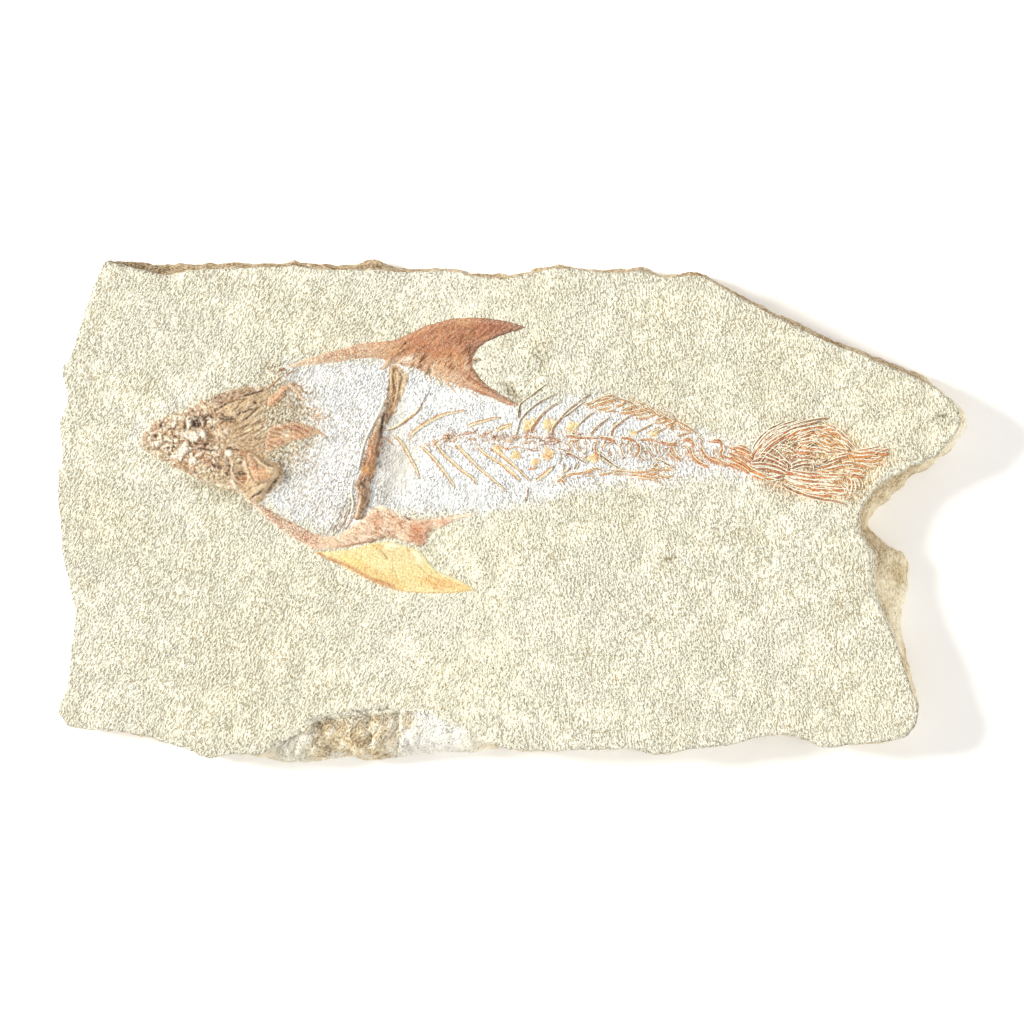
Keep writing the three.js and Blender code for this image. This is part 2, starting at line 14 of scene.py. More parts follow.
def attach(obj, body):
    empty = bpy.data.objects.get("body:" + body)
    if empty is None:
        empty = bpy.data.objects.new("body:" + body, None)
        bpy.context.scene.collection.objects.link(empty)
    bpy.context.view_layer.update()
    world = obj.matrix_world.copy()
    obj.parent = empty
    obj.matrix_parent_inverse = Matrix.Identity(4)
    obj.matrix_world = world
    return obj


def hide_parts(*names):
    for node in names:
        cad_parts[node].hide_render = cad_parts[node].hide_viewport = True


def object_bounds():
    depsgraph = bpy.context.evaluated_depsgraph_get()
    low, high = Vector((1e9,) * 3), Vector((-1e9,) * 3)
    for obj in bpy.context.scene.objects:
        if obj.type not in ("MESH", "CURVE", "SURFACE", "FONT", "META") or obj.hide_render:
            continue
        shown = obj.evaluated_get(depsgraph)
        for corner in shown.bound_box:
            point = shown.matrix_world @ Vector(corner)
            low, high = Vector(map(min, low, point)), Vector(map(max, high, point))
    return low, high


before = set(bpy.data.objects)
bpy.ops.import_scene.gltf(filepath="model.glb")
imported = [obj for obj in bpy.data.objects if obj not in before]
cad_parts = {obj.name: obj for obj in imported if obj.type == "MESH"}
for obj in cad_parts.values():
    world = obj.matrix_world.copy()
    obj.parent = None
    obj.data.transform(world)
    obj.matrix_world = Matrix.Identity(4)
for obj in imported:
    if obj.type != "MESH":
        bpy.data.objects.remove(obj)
CAD_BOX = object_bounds()

UNIT = 0.27352
GX, GY = 514.0, 511.0
FACE = 15.5          # height of the prepared face, mm


def P(pts):
    a = np.asarray(pts, float)
    out = a.copy()
    out[..., 0] = (a[..., 0] - GX) * UNIT
    out[..., 1] = (GY - a[..., 1]) * UNIT
    return out


def grid_of(x, y):
    """millimetres back to drawing-grid units"""
    return x / UNIT + GX, GY - y / UNIT


# ---------------------------------------------------------------- noise fields
def _hash(ix, iy, seed):
    ix = ix.astype(np.int64); iy = iy.astype(np.int64)
    h = (ix * 374761393 + iy * 668265263 + seed * 974634777) & 0xFFFFFFFF
    h = ((h ^ (h >> 13)) * 1274126177) & 0xFFFFFFFF
    h = ((h ^ (h >> 15)) * 2246822519) & 0xFFFFFFFF
    return ((h ^ (h >> 16)) & 0xFFFFFF) / float(0xFFFFFF)


def gnoise(x, y, seed=0):
    """gradient noise, about -1 to 1"""
    x = np.asarray(x, float); y = np.asarray(y, float)
    x0 = np.floor(x); y0 = np.floor(y)
    fx = x - x0; fy = y - y0
    u = fx * fx * fx * (fx * (fx * 6 - 15) + 10)
    v = fy * fy * fy * (fy * (fy * 6 - 15) + 10)

    def g(dx, dy):
        a = _hash(x0 + dx, y0 + dy, seed) * 2 * math.pi
        return np.cos(a) * (fx - dx) + np.sin(a) * (fy - dy)
    n00, n10, n01, n11 = g(0, 0), g(1, 0), g(0, 1), g(1, 1)
    return 1.45 * ((n00 * (1 - u) + n10 * u) * (1 - v) + (n01 * (1 - u) + n11 * u) * v)


def fbm(x, y, seed=0, octaves=3, gain=0.5, lac=2.03):
    s = 0; a = 1.0; t = 0
    for o in range(octaves):
        s = s + a * gnoise(x * lac ** o + 17.3 * o, y * lac ** o - 9.1 * o, seed + 31 * o)
        t += a; a *= gain
    return s / t * 1.25


def worley(x, y, seed=0):
    """distance to the nearest and second nearest feature point, and the cell's random number"""
    x = np.asarray(x, float); y = np.asarray(y, float)
    x0 = np.floor(x); y0 = np.floor(y)
    f1 = np.full(x.shape, 9.0); f2 = np.full(x.shape, 9.0); cid = np.zeros(x.shape)
    for dx in (-1, 0, 1):
        for dy in (-1, 0, 1):
            cx = x0 + dx; cy = y0 + dy
            px = cx + _hash(cx, cy, seed); py = cy + _hash(cx, cy, seed + 7)
            d = np.hypot(px - x, py - y)
            c = _hash(cx, cy, seed + 13)
            near = d < f1
            f2 = np.where(near, f1, np.minimum(f2, d))
            cid = np.where(near, c, cid)
            f1 = np.where(near, d, f1)
    return f1, f2, cid


def smooth(e0, e1, x):
    t = np.clip((x - e0) / (e1 - e0), 0, 1)
    return t * t * (3 - 2 * t)


def rot(x, y, deg):
    a = math.radians(deg)
    return x * math.cos(a) + y * math.sin(a), -x * math.sin(a) + y * math.cos(a)


# ------------------------------------------------------------- plane geometry
def catmull(pts, closed, step):
    """a smooth line through the points, sampled about every step"""
    p = np.asarray(pts, float)
    n = len(p)
    out = []
    segs = n if closed else n - 1
    for i in range(segs):
        if closed:
            p0, p1, p2, p3 = p[i - 1], p[i], p[(i + 1) % n], p[(i + 2) % n]
        else:
            p0, p1, p2, p3 = p[max(i - 1, 0)], p[i], p[i + 1], p[min(i + 2, n - 1)]
        k = max(1, int(math.ceil(np.hypot(*(p2[:2] - p1[:2])) / step)))
        for j in range(k):
            t = j / k
            out.append(0.5 * ((2 * p1) + (p2 - p0) * t + (2 * p0 - 5 * p1 + 4 * p2 - p3) * t * t
                              + (3 * p1 - p0 - 3 * p2 + p3) * t ** 3))
    if not closed:
        out.append(p[-1])
    return np.array(out)


def resample(p, n, closed):
    q = np.vstack([p, p[:1]]) if closed else p
    d = np.hypot(*(q[1:, :2] - q[:-1, :2]).T)
    s = np.concatenate([[0], np.cumsum(d)])
    t = np.linspace(0, s[-1], n, endpoint=not closed)
    return np.column_stack([np.interp(t, s, q[:, k]) for k in range(q.shape[1])])


def line_dist(x, y, pts, closed=False):
    """distance to a polyline, the share of its length at the nearest point, and the signed side"""
    p = np.asarray(pts, float)[:, :2]
    if closed:
        p = np.vstack([p, p[:1]])
    seg = np.hypot(*(p[1:] - p[:-1]).T)
    cum = np.concatenate([[0], np.cumsum(seg)])
    best = np.full(x.shape, 1e9); par = np.zeros(x.shape); side = np.zeros(x.shape)
    for i in range(len(p) - 1):
        ax, ay = p[i]; bx, by = p[i + 1]
        dx, dy = bx - ax, by - ay
        L2 = dx * dx + dy * dy + 1e-12
        t = np.clip(((x - ax) * dx + (y - ay) * dy) / L2, 0, 1)
        d = np.hypot(x - ax - t * dx, y - ay - t * dy)
        m = d < best
        best = np.where(m, d, best)
        par = np.where(m, (cum[i] + t * seg[i]) / cum[-1], par)
        side = np.where(m, np.sign(dx * (y - ay) - dy * (x - ax)), side)
    return best, par, side


def inside(x, y, poly):
    p = np.asarray(poly, float)[:, :2]
    c = np.zeros(x.shape, bool)
    j = len(p) - 1
    for i in range(len(p)):
        yi, yj = p[i, 1], p[j, 1]
        if yi != yj:
            cross = (yi > y) != (yj > y)
            xx = (p[j, 0] - p[i, 0]) * (y - yi) / (yj - yi) + p[i, 0]
            c ^= cross & (x < xx)
        j = i
    return c


def poly_area(p):
    x, y = p[:, 0], p[:, 1]
    return 0.5 * np.sum(x * np.roll(y, -1) - y * np.roll(x, -1))


def hexgrid(poly, a, jitter, seed, keep):
    """jittered triangular grid points inside a polygon, at least keep from its edge"""
    lo = poly[:, :2].min(0) - a; hi = poly[:, :2].max(0) + a
    ny = int((hi[1] - lo[1]) / (a * 0.8660254)) + 1
    nx = int((hi[0] - lo[0]) / a) + 1
    X, Y = np.meshgrid(lo[0] + np.arange(nx) * a, lo[1] + np.arange(ny) * a * 0.8660254)
    X = X + (np.arange(ny) % 2)[:, None] * a / 2
    r = np.random.default_rng(seed)
    X = X + r.uniform(-jitter, jitter, X.shape) * a
    Y = Y + r.uniform(-jitter, jitter, Y.shape) * a
    X = X.ravel(); Y = Y.ravel()
    m = inside(X, Y, poly)
    X = X[m]; Y = Y[m]
    d, _, _ = line_dist(X, Y, poly, True)
    m = d > keep
    return X[m], Y[m], d[m]


def triangulate(loop, X, Y):
    """Delaunay triangles of a loop and the points inside it; the loop's points come first"""
    n = len(loop)
    verts = [Vector((float(a), float(b))) for a, b in loop[:, :2]]
    verts += [Vector((float(a), float(b))) for a, b in zip(X, Y)]
    edges = [(i, (i + 1) % n) for i in range(n)]
    out = delaunay_2d_cdt(verts, edges, [list(range(n))], 1, 1e-7)
    vo, fo = out[0], out[2]
    if len(vo) != len(verts):
        raise RuntimeError("the outline crosses itself: %d %d" % (len(vo), len(verts)))
    tri = np.array([f for f in fo if len(f) == 3], int)
    co = np.array([(v.x, v.y) for v in vo])
    # the points may come back in another order
    src = out[3]
    back = np.array([s[0] for s in src])
    tri = back[tri]
    xy = np.empty_like(co); xy[back] = co
    a = xy[tri[:, 0]]; b = xy[tri[:, 1]]; c = xy[tri[:, 2]]
    ar = (b[:, 0] - a[:, 0]) * (c[:, 1] - a[:, 1]) - (b[:, 1] - a[:, 1]) * (c[:, 0] - a[:, 0])
    tri[ar < 0] = tri[ar < 0][:, ::-1]
    return tri


def make_mesh(name, co_mm, faces, attrs=None, colours=None, uv=None, smooth_shade=True):
    """one mesh object; faces is an int array of triangles (n, 3)"""
    me = bpy.data.meshes.new(name)
    co = np.asarray(co_mm, float) / 1000.0
    f = np.asarray(faces, np.int32)
    me.vertices.add(len(co)); me.vertices.foreach_set("co", co.astype(np.float32).ravel())
    me.loops.add(f.size); me.loops.foreach_set("vertex_index", f.ravel())
    me.polygons.add(len(f))
    me.polygons.foreach_set("loop_start", np.arange(0, f.size, 3, dtype=np.int32))
    me.polygons.foreach_set("use_smooth", np.full(len(f), smooth_shade))
    me.update(calc_edges=True)
    me.validate()
    for k, v in (attrs or {}).items():
        a = me.attributes.new(k, "FLOAT", "POINT")
        a.data.foreach_set("value", np.asarray(v, np.float32).ravel())
    for k, v in (colours or {}).items():
        a = me.attributes.new(k, "FLOAT_COLOR", "POINT")
        c = np.ones((len(co), 4), np.float32); c[:, :3] = v
        a.data.foreach_set("color", c.ravel())
    if uv is not None:
        layer = me.uv_layers.new(name="OFBake")
        layer.data.foreach_set("uv", np.asarray(uv, np.float32).ravel())
    ob = bpy.data.objects.new(name, me)
    bpy.context.scene.collection.objects.link(ob)
    return ob


def lin(r, g, b):
    """display colour 0-255 to scene-linear"""
    c = np.array([r, g, b], float) / 255.0
    return np.where(c <= 0.04045, c / 12.92, ((c + 0.055) / 1.055) ** 2.4)


def mix(a, b, t):
    t = np.asarray(t)[..., None] if np.ndim(t) else t
    return a * (1 - t) + b * t

# ======================================================================= slab
# Widest line of the stone and the edge of its prepared face, on the drawing grid,
# clockwise from the far left corner, point for point.
OUTLINE = [
    (104, 259.5), (107, 259.3), (114, 259.6), (130, 260.6), (150, 262), (165, 263), (181, 262.4), (200, 262), (280, 261), (293, 257), (302, 260), (323, 263), (354, 263), (367, 259), (378, 259), (397, 267), (414, 267),
    (449, 266), (475, 271), (505, 273), (531, 268), (557, 263), (579, 266), (605, 269), (620, 268), (639, 266), (651, 268), (665, 274), (690, 271),
    (704, 273), (726, 285), (748, 297), (779, 313), (808, 324), (833, 336), (862, 348), (891, 361), (922, 372), (937, 383), (949, 395), (958, 403),
    (967, 410), (971, 420), (970, 428), (962, 439), (953, 449), (944, 456), (935, 465), (923, 471), (913, 476), (905, 486), (898, 492), (891, 500),
    (882, 506), (876, 513), (870.5, 520), (871, 525), (876, 533), (884, 541), (893, 546), (903, 551), (908, 558), (911, 566), (910, 576), (908, 590),
    (905, 608), (905, 624), (908, 646), (911, 664), (916, 681), (919, 692), (919.5, 707), (918, 722), (914, 731), (909, 737), (900, 740), (878, 744),
    (853, 745), (835, 748), (820, 748), (806, 741), (791, 736), (759, 738), (732, 746), (700, 749), (671, 754), (653, 755), (638, 751), (621, 750),
    (583, 751), (521, 751), (494, 750), (470, 755), (454, 755), (427, 757), (401, 760), (383, 762), (370, 764), (361, 762), (351, 759), (342, 760),
    (331, 762), (310, 765), (294, 765), (276, 762), (260, 758), (245, 755), (227, 756), (211, 759), (201, 757), (183, 749), (161, 743), (147, 737),
    (120, 733), (94, 731), (69, 727), (63, 721), (57, 712), (63, 693), (68, 677), (69.5, 659), (71, 641), (74, 623), (74, 611), (70, 597),
    (66.5, 579), (63, 562), (61, 546), (60, 529), (58, 511), (57, 493), (57, 473), (61, 458), (60, 440), (58, 422), (65, 403), (65, 390),
    (62, 378), (62, 366), (70, 355), (78, 330), (86, 307), (95, 283), (101.5, 266.5), (103.2, 261.4),
]
TOP_EDGE = [
    (105.2, 261.6), (108.4, 262), (114, 263.4), (130, 267), (150, 272), (165, 275.6), (181, 273.6), (200, 270), (281, 267), (294, 266), (303, 268), (323, 270), (353, 270), (367, 271), (379, 271), (398, 272), (414.1, 272.1),
    (448.6, 271.3), (474.3, 276.4), (505.4, 278.8), (532, 273.3), (557.2, 268.8), (578.6, 269.5), (604.9, 273.7), (620.5, 273.8), (638.8, 271.1), (649.4, 273.5), (664.5, 277.7), (689.9, 275.7),
    (702.7, 276.9), (724, 289), (746, 301), (777, 318), (804, 331), (829, 343), (858, 354), (886, 366), (915, 378), (930, 386), (940, 392), (950, 400),
    (957, 407), (960, 416), (960, 426), (953, 436), (945, 446), (938, 455), (928, 460), (915, 464), (905, 469), (894, 475), (886, 479), (877, 485),
    (870, 494), (863, 504), (860, 514), (858.5, 521), (858.5, 529), (860, 536), (863.5, 543), (868, 549), (870, 555), (870.5, 562), (869, 570), (871, 583),
    (876, 599), (884, 617), (893, 634), (900, 653), (905.5, 672), (911, 689), (916, 704), (914, 718), (909, 727), (904, 732), (898.8, 735.3), (877.5, 739.1),
    (852.6, 741.5), (834.7, 744), (821, 743.9), (808.2, 735.6), (791.7, 730.6), (758.3, 734.2), (731, 740.6), (699.5, 745.2), (670.4, 749), (653.4, 751.2), (638.6, 747.5), (621.1, 744.3),
    (582.9, 747), (521.1, 747), (490, 743), (462, 727), (442, 717), (420, 709), (403, 710), (386, 711.5), (370, 712.5), (354, 714), (340, 716), (324, 718),
    (312, 722), (300, 731), (287, 740), (272, 748), (259, 753), (245.4, 749.1), (226.3, 750.4), (211, 754.8), (202.8, 751.4), (184.6, 744.4), (162.7, 738.1), (148.1, 733.1),
    (120.7, 727.2), (94.6, 725.8), (71.7, 721.7), (67.4, 717.4), (61.2, 711.4), (67.2, 694.3), (71.8, 677.8), (73.4, 659.3), (74.6, 641.5), (78.2, 623.4), (79, 610.3), (73.4, 596.2),
    (71.6, 578), (67.3, 561.3), (65.3, 545.6), (65.5, 528.5), (62.7, 510.6), (61.3, 492.9), (61.7, 473.6), (66.2, 458.5), (63.6, 439.7), (63.9, 422.7), (68.5, 403.6), (70.3, 389.3),
    (67.6, 377.3), (65.4, 367.1), (74.9, 357.5), (80.0, 331.0), (88.0, 307.8), (96.6, 284), (102.8, 267.4), (104.2, 262.6),
]


OUT_MM = P(OUTLINE)[::-1]       # counter-clockwise in the CAD frame
TOP_MM = P(TOP_EDGE)[::-1]

# The fish's bed: where fine preparation has cut a smooth, whiter hollow.
BODY = P([(286, 366), (330, 362), (392, 360), (440, 380), (480, 395), (520, 404), (560, 398),
          (600, 394), (640, 404), (690, 428), (735, 444), (752, 450), (752, 478), (700, 474),
          (668, 482), (620, 482), (560, 492), (500, 508), (450, 512), (400, 510), (370, 520),
          (330, 532), (290, 514), (262, 500), (270, 470), (300, 450), (318, 436), (300, 410), (288, 390)])
HEAD = P([(142, 443), (155, 421), (178, 413), (201, 402), (235, 390), (266, 386), (284, 384),
          (300, 398), (312, 412), (322, 434), (310, 448), (296, 470), (276, 488), (262, 500),
          (240, 494), (208, 482), (178, 470), (155, 457)])
CHIP = P([(262, 750), (281, 741), (294, 735), (306, 726), (320, 718), (336, 714), (354, 712),
          (376, 710), (394, 707), (420, 706), (440, 714), (458, 723), (478, 733), (496, 746),
          (496, 775), (262, 775)])


# Where the mesh is closer, round the fish.
FINE = P([(128, 440), (150, 408), (205, 384), (285, 350), (400, 325), (470, 306), (545, 318), (545, 360), (600, 380), (665, 395), (740, 428),
          (770, 410), (830, 406), (868, 436), (905, 440), (902, 462), (870, 492), (846, 512), (780, 502), (740, 488), (680, 496), (560, 510),
          (500, 560), (492, 604), (400, 606), (300, 566), (240, 518), (170, 486), (140, 462)])

# Stains and patches of the bed, with painted shade in dents and hollows and beside ridges, and painted highlight on a
# lit dent rim: middle, radii, lean, lift in mm, colour, strength, sharpness
STAINS_AND_SHADE = [
    # painted shade in the hollow beside the shoulder bone and along its right flank
    (403, 462, 19, 38, 8, 0.0, (214, 210, 200), 0.90, 1.5), (386, 448, 5, 34, 14, -0.10, (176, 164, 146), 0.7, 1.2), (397, 408, 13, 18, 20, 0.0, (206, 201, 188), 0.6, 1.3),
    # painted shade below the shoulder bone and along the cheek
    (384, 492, 9, 20, 12, 0.0, (198, 190, 176), 0.6), (224, 489, 26, 11, 20, -0.15, (188, 176, 146), 0.75, 1.3), (200, 485, 22, 7, 22, 0.0, (204, 194, 164), 0.6), (246, 506, 12, 7, 35, 0.0, (206, 196, 170), 0.6),
    # painted shade in the dents beside the jaw and above the brow
    (277, 472, 8, 15, 30, -0.25, (166, 148, 116), 0.9, 1.3), (287, 462, 9, 12, 10, 0.0, (196, 184, 156), 0.7), (270, 366, 8, 6, 0, 0.0, (196, 180, 146), 0.7), (262, 375, 9, 5, -20, 0.0, (214, 200, 166), 0.6),
    # painted shade in the notch under the tip of the upper fin
    (513, 392, 11, 6, 42, -0.2, (166, 152, 118), 0.9, 1.4), (521, 401, 5, 4, 40, 0.0, (190, 176, 146), 0.6), (297, 408, 19, 14, -30, 0.0, (198, 182, 150), 0.8, 1.4), (268, 412, 12, 24, 0, 0.0, (206, 184, 148), 0.85, 1.5),
    (300, 392, 10, 12, -40, 0.0, (200, 178, 140), 0.7), (286, 452, 22, 10, -14, 0.0, (214, 200, 172), 0.75), (272, 440, 14, 16, 0, 0.0, (206, 186, 150), 0.7), (316, 420, 14, 12, 0, 0.0, (232, 212, 186), 0.55),
    (281, 380, 9, 9, 0, 0.0, (212, 188, 150), 0.65), (338, 522, 8, 24, 28, 0.0, (206, 190, 168), 0.6), (349, 505, 5, 22, 14, 0.0, (196, 178, 156), 0.55), (322, 512, 14, 14, 20, 0.0, (236, 226, 210), 0.5),
    (310, 495, 22, 18, 20, 0.0, (240, 234, 220), 0.6), (345, 440, 14, 40, 8, 0.1, (253, 252, 248), 0.7), (330, 380, 30, 10, -6, 0.1, (252, 251, 246), 0.7), (137, 434, 7, 16, 20, 0.15, (255, 255, 250), 0.7), (168, 408, 24, 6, -25, 0.1, (255, 255, 248), 0.6),
    (822, 444, 36, 19, 6, 0.0, (234, 184, 118), 0.92, 1.6), (832, 485, 30, 15, 8, 0.0, (236, 186, 120), 0.9, 1.6), (864, 459, 28, 12, -4, 0.0, (238, 192, 126), 0.85, 1.4), (776, 464, 26, 15, 4, 0.0, (222, 190, 168), 0.8, 1.4), (783, 436, 22, 12, -35, 0.0, (226, 190, 166), 0.7),
    (740, 460, 16, 12, 20, 0.0, (240, 206, 170), 0.6), (474, 494, 52, 16, -8, 0.0, (234, 236, 232), 0.6, 1.4), (322, 480, 24, 26, 0, 0.05, (255, 255, 252), 0.6, 1.3), (794, 482, 40, 16, 12, 0.0, (232, 190, 144), 0.85, 1.8), (782, 452, 30, 18, -20, 0.0, (232, 196, 156), 0.75, 1.6), (856, 480, 22, 18, 0, 0.0, (240, 200, 140), 0.75, 1.5), (700, 455, 34, 13, 14, 0.0, (246, 226, 200), 0.55), (640, 450, 40, 12, 4, 0.0, (246, 238, 226), 0.5), (500, 438, 66, 9, 0, 0.0, (242, 232, 222), 0.5), (580, 440, 30, 9, 0, 0.0, (242, 228, 210), 0.5),
    (650, 411, 42, 9, 20, 0.0, (244, 222, 184), 0.5), (672, 424, 16, 8, 30, 0.0, (236, 206, 172), 0.5), (605, 403, 22, 7, -12, 0.0, (244, 224, 184), 0.5), (655, 474, 28, 8, 0, 0.0, (244, 220, 186), 0.5), (560, 480, 12, 6, -20, 0.0, (240, 214, 172), 0.55),
    # the dent and lump towards the tail: painted shade on the dent's left, painted highlight on its right and on the
    # lump
    (669, 558, 6.5, 3.6, -32, -0.25, (184, 168, 130), 0.85, 1.4), (660, 569, 5, 3, -30, -0.1, (200, 184, 146), 0.7), (686, 559, 6, 4, 0, 0.12, (255, 255, 250), 0.95), (677, 551, 9, 3, -24, 0.1, (253, 252, 242), 0.8), (693, 552, 3, 2, 0, -0.2, (206, 190, 150), 0.6),
    (710, 594, 2.4, 2, 0, -0.2, (186, 146, 98), 0.7), (941, 417, 3.4, 2.6, 0, -0.25, (150, 134, 104), 0.8), (616, 680, 2.4, 1.8, 0, -0.1, (206, 178, 136), 0.6), (84, 584, 11, 9, 30, -0.1, (222, 212, 184), 0.6), (78, 576, 6, 2, 35, -0.2, (176, 166, 136), 0.6),
    (246, 388, 2.6, 4.4, 30, -0.1, (184, 162, 122), 0.7), (240, 379, 1.2, 4, 25, -0.1, (170, 150, 112), 0.6), (190, 392, 20, 6, -30, 0.05, (253, 252, 242), 0.5), (437, 560, 6, 3, -30, -0.1, (222, 208, 172), 0.6), (452, 574, 5, 2.4, 30, -0.1, (224, 210, 176), 0.6),
    (489, 566, 14, 9, 30, 0.0, (226, 218, 190), 0.35), (540, 352, 10, 16, 10, -0.2, (206, 196, 160), 0.6), (505, 345, 12, 7, -25, 0.0, (216, 206, 174), 0.5), (560, 350, 8, 20, 10, 0.1, (252, 250, 236), 0.5),
]
# Folds and cracks of the bed, dark along sunk lines as painted shade and pale along raised ones as painted highlight:
# points, width, lift in mm, colour, strength
FOLDS = [
    ([(330, 540), (334, 530), (340, 518), (344, 506)], 1.6, -0.25, (166, 146, 120), 0.7), ([(342, 536), (347, 524), (352, 512), (355, 500)], 1.4, 0.25, (252, 250, 244), 0.8), ([(352, 496), (350, 508), (344, 522), (340, 532)], 1.0, -0.2, (156, 134, 110), 0.7),
    ([(268, 491), (274, 485), (278, 479), (280, 470), (284, 460)], 1.6, -0.4, (120, 98, 66), 0.85), ([(290, 470), (298, 462), (306, 452), (314, 444)], 1.6, -0.1, (206, 196, 176), 0.5),
    ([(292, 396), (298, 400), (304, 408), (310, 416)], 1.0, -0.2, (160, 140, 106), 0.6), ([(288, 402), (294, 408), (302, 414), (308, 420)], 0.9, -0.2, (166, 146, 112), 0.55), ([(296, 390), (303, 397), (312, 406), (318, 414)], 0.9, 0.2, (246, 238, 220), 0.6),
    ([(282, 410), (290, 414), (298, 418), (306, 421)], 0.9, -0.15, (176, 156, 122), 0.5), ([(286, 376), (290, 384), (296, 392)], 1.2, 0.2, (252, 248, 236), 0.7), ([(292, 372), (298, 378), (304, 386)], 1.0, -0.2, (170, 150, 118), 0.6),
    ([(270, 372), (276, 366), (284, 362)], 1.2, -0.2, (150, 126, 92), 0.7), ([(258, 383), (266, 376), (272, 368)], 1.0, 0.2, (250, 244, 228), 0.6), ([(300, 452), (304, 444), (309, 436)], 1.0, 0.15, (250, 246, 236), 0.6),
    ([(296, 478), (304, 470), (312, 466)], 0.9, -0.1, (222, 210, 190), 0.6), ([(300, 484), (308, 476), (318, 470)], 0.9, -0.1, (222, 208, 186), 0.6), ([(306, 489), (314, 482), (324, 478)], 0.9, -0.1, (222, 206, 184), 0.6),
    ([(288, 490), (296, 486), (302, 494), (310, 500)], 0.9, -0.12, (210, 190, 160), 0.6), ([(284, 500), (294, 497), (302, 503)], 0.9, -0.12, (210, 190, 160), 0.6), ([(280, 490), (288, 482), (298, 477)], 0.8, -0.1, (222, 206, 180), 0.5),
    ([(519, 404), (520, 411), (519, 418)], 1.5, -0.35, (150, 136, 110), 0.8), ([(480, 386), (492, 391), (504, 397), (516, 404)], 1.3, -0.2, (176, 150, 116), 0.7), ([(359, 372), (352, 392), (350, 410)], 1.2, 0.12, (255, 254, 250), 0.6),
    ([(375, 372), (370, 396), (366, 416), (358, 440)], 2.0, 0.28, (254, 253, 248), 0.8), ([(360, 430), (352, 452), (346, 474), (342, 490)], 2.2, 0.28, (252, 250, 244), 0.7), ([(340, 396), (346, 410), (343, 424)], 0.9, -0.15, (214, 206, 190), 0.6),
    ([(322, 372), (330, 380), (326, 390)], 0.9, -0.15, (206, 196, 176), 0.6), ([(334, 368), (342, 376), (350, 374)], 0.9, -0.15, (210, 200, 182), 0.6), ([(313, 386), (320, 394), (318, 402)], 0.9, -0.12, (206, 194, 172), 0.5),
    ([(424, 505), (434, 497), (446, 492)], 1.0, -0.12, (206, 202, 192), 0.5), ([(267, 746), (274, 744), (281, 742)], 1.3, -0.5, (110, 90, 60), 0.8), ([(322, 719), (332, 714.6), (346, 712.4), (358, 711), (372, 709.6), (386, 708.6), (400, 706.6)], 1.3, -0.4, (124, 98, 64), 0.85),
    ([(284, 741), (294, 735), (302, 729), (310, 724)], 1.1, -0.25, (176, 156, 116), 0.6), ([(402, 707), (416, 705.6), (430, 706)], 1.0, -0.25, (190, 174, 138), 0.6), ([(934, 420), (941, 416.6), (949, 414)], 1.0, -0.2, (120, 112, 100), 0.75), ([(112, 264), (126, 267), (146, 271.4), (164, 275.4)], 1.4, -0.25, (122, 102, 74), 0.85),
    ([(938, 423), (944, 419)], 0.9, -0.15, (140, 130, 116), 0.6), ([(925, 418), (931, 419)], 0.9, -0.15, (140, 130, 116), 0.6),
]


def stain_and_shade_field(x, y):
    """stain colour with painted shade and highlight, its strength and its relief, everywhere on the face"""
    gx, gy = grid_of(x, y)
    col = np.tile(lin(236, 230, 208), (len(x), 1)); al = np.zeros(len(x)); dz = np.zeros(len(x))
    wob = 1 + 0.35 * gnoise(x / 1.6, y / 1.6, 36)
    jx = gx + 2.2 * gnoise(x / 2.3, y / 2.3, 37); jy = gy + 2.2 * gnoise(x / 2.3 + 9, y / 2.3, 38)
    for b in STAINS_AND_SHADE:
        m = np.clip(blob(jx, jy, b[0], b[1], b[2], b[3], b[4], b[8] if len(b) > 8 else 1.0) * wob, 0, 1)
        dz += b[5] * m
        a = b[7] * m
        na = a + al * (1 - a)
        col = mix(col, lin(*b[6]), a / np.maximum(na, 1e-6))
        al = na
    for pts, w, h, c, s in FOLDS:
        m = stroke(gx, gy, pts, w) * np.clip(wob, 0.5, 1.2)
        dz += h * m
        a = np.clip(s * m, 0, 1)
        na = a + al * (1 - a)
        col = mix(col, lin(*c), a / np.maximum(na, 1e-6))
        al = na
    return col, np.clip(al, 0, 1), dz


def stroke_field(x, y):
    """the pecked preparation strokes: leaning one way at the head end, the other at the tail"""
    wl = smooth(-20, -75, x); wr = smooth(-5, 45, x); wm = 1 - wl - wr
    out = 0
    for w, ang, seed in ((wl, 62, 3), (wm, 82, 5), (wr, 101, 9)):
        u, v = rot(x, y, ang)          # u runs along the stroke
        n = gnoise(u / 1.30, v / 1.02, seed) * 0.70 + gnoise(u / 2.7 + 5, v / 2.1, seed + 1) * 0.30
        n = n + 0.34 * gnoise(u / 0.9, v / 0.75, seed + 2)
        out = out + w * n
    return out


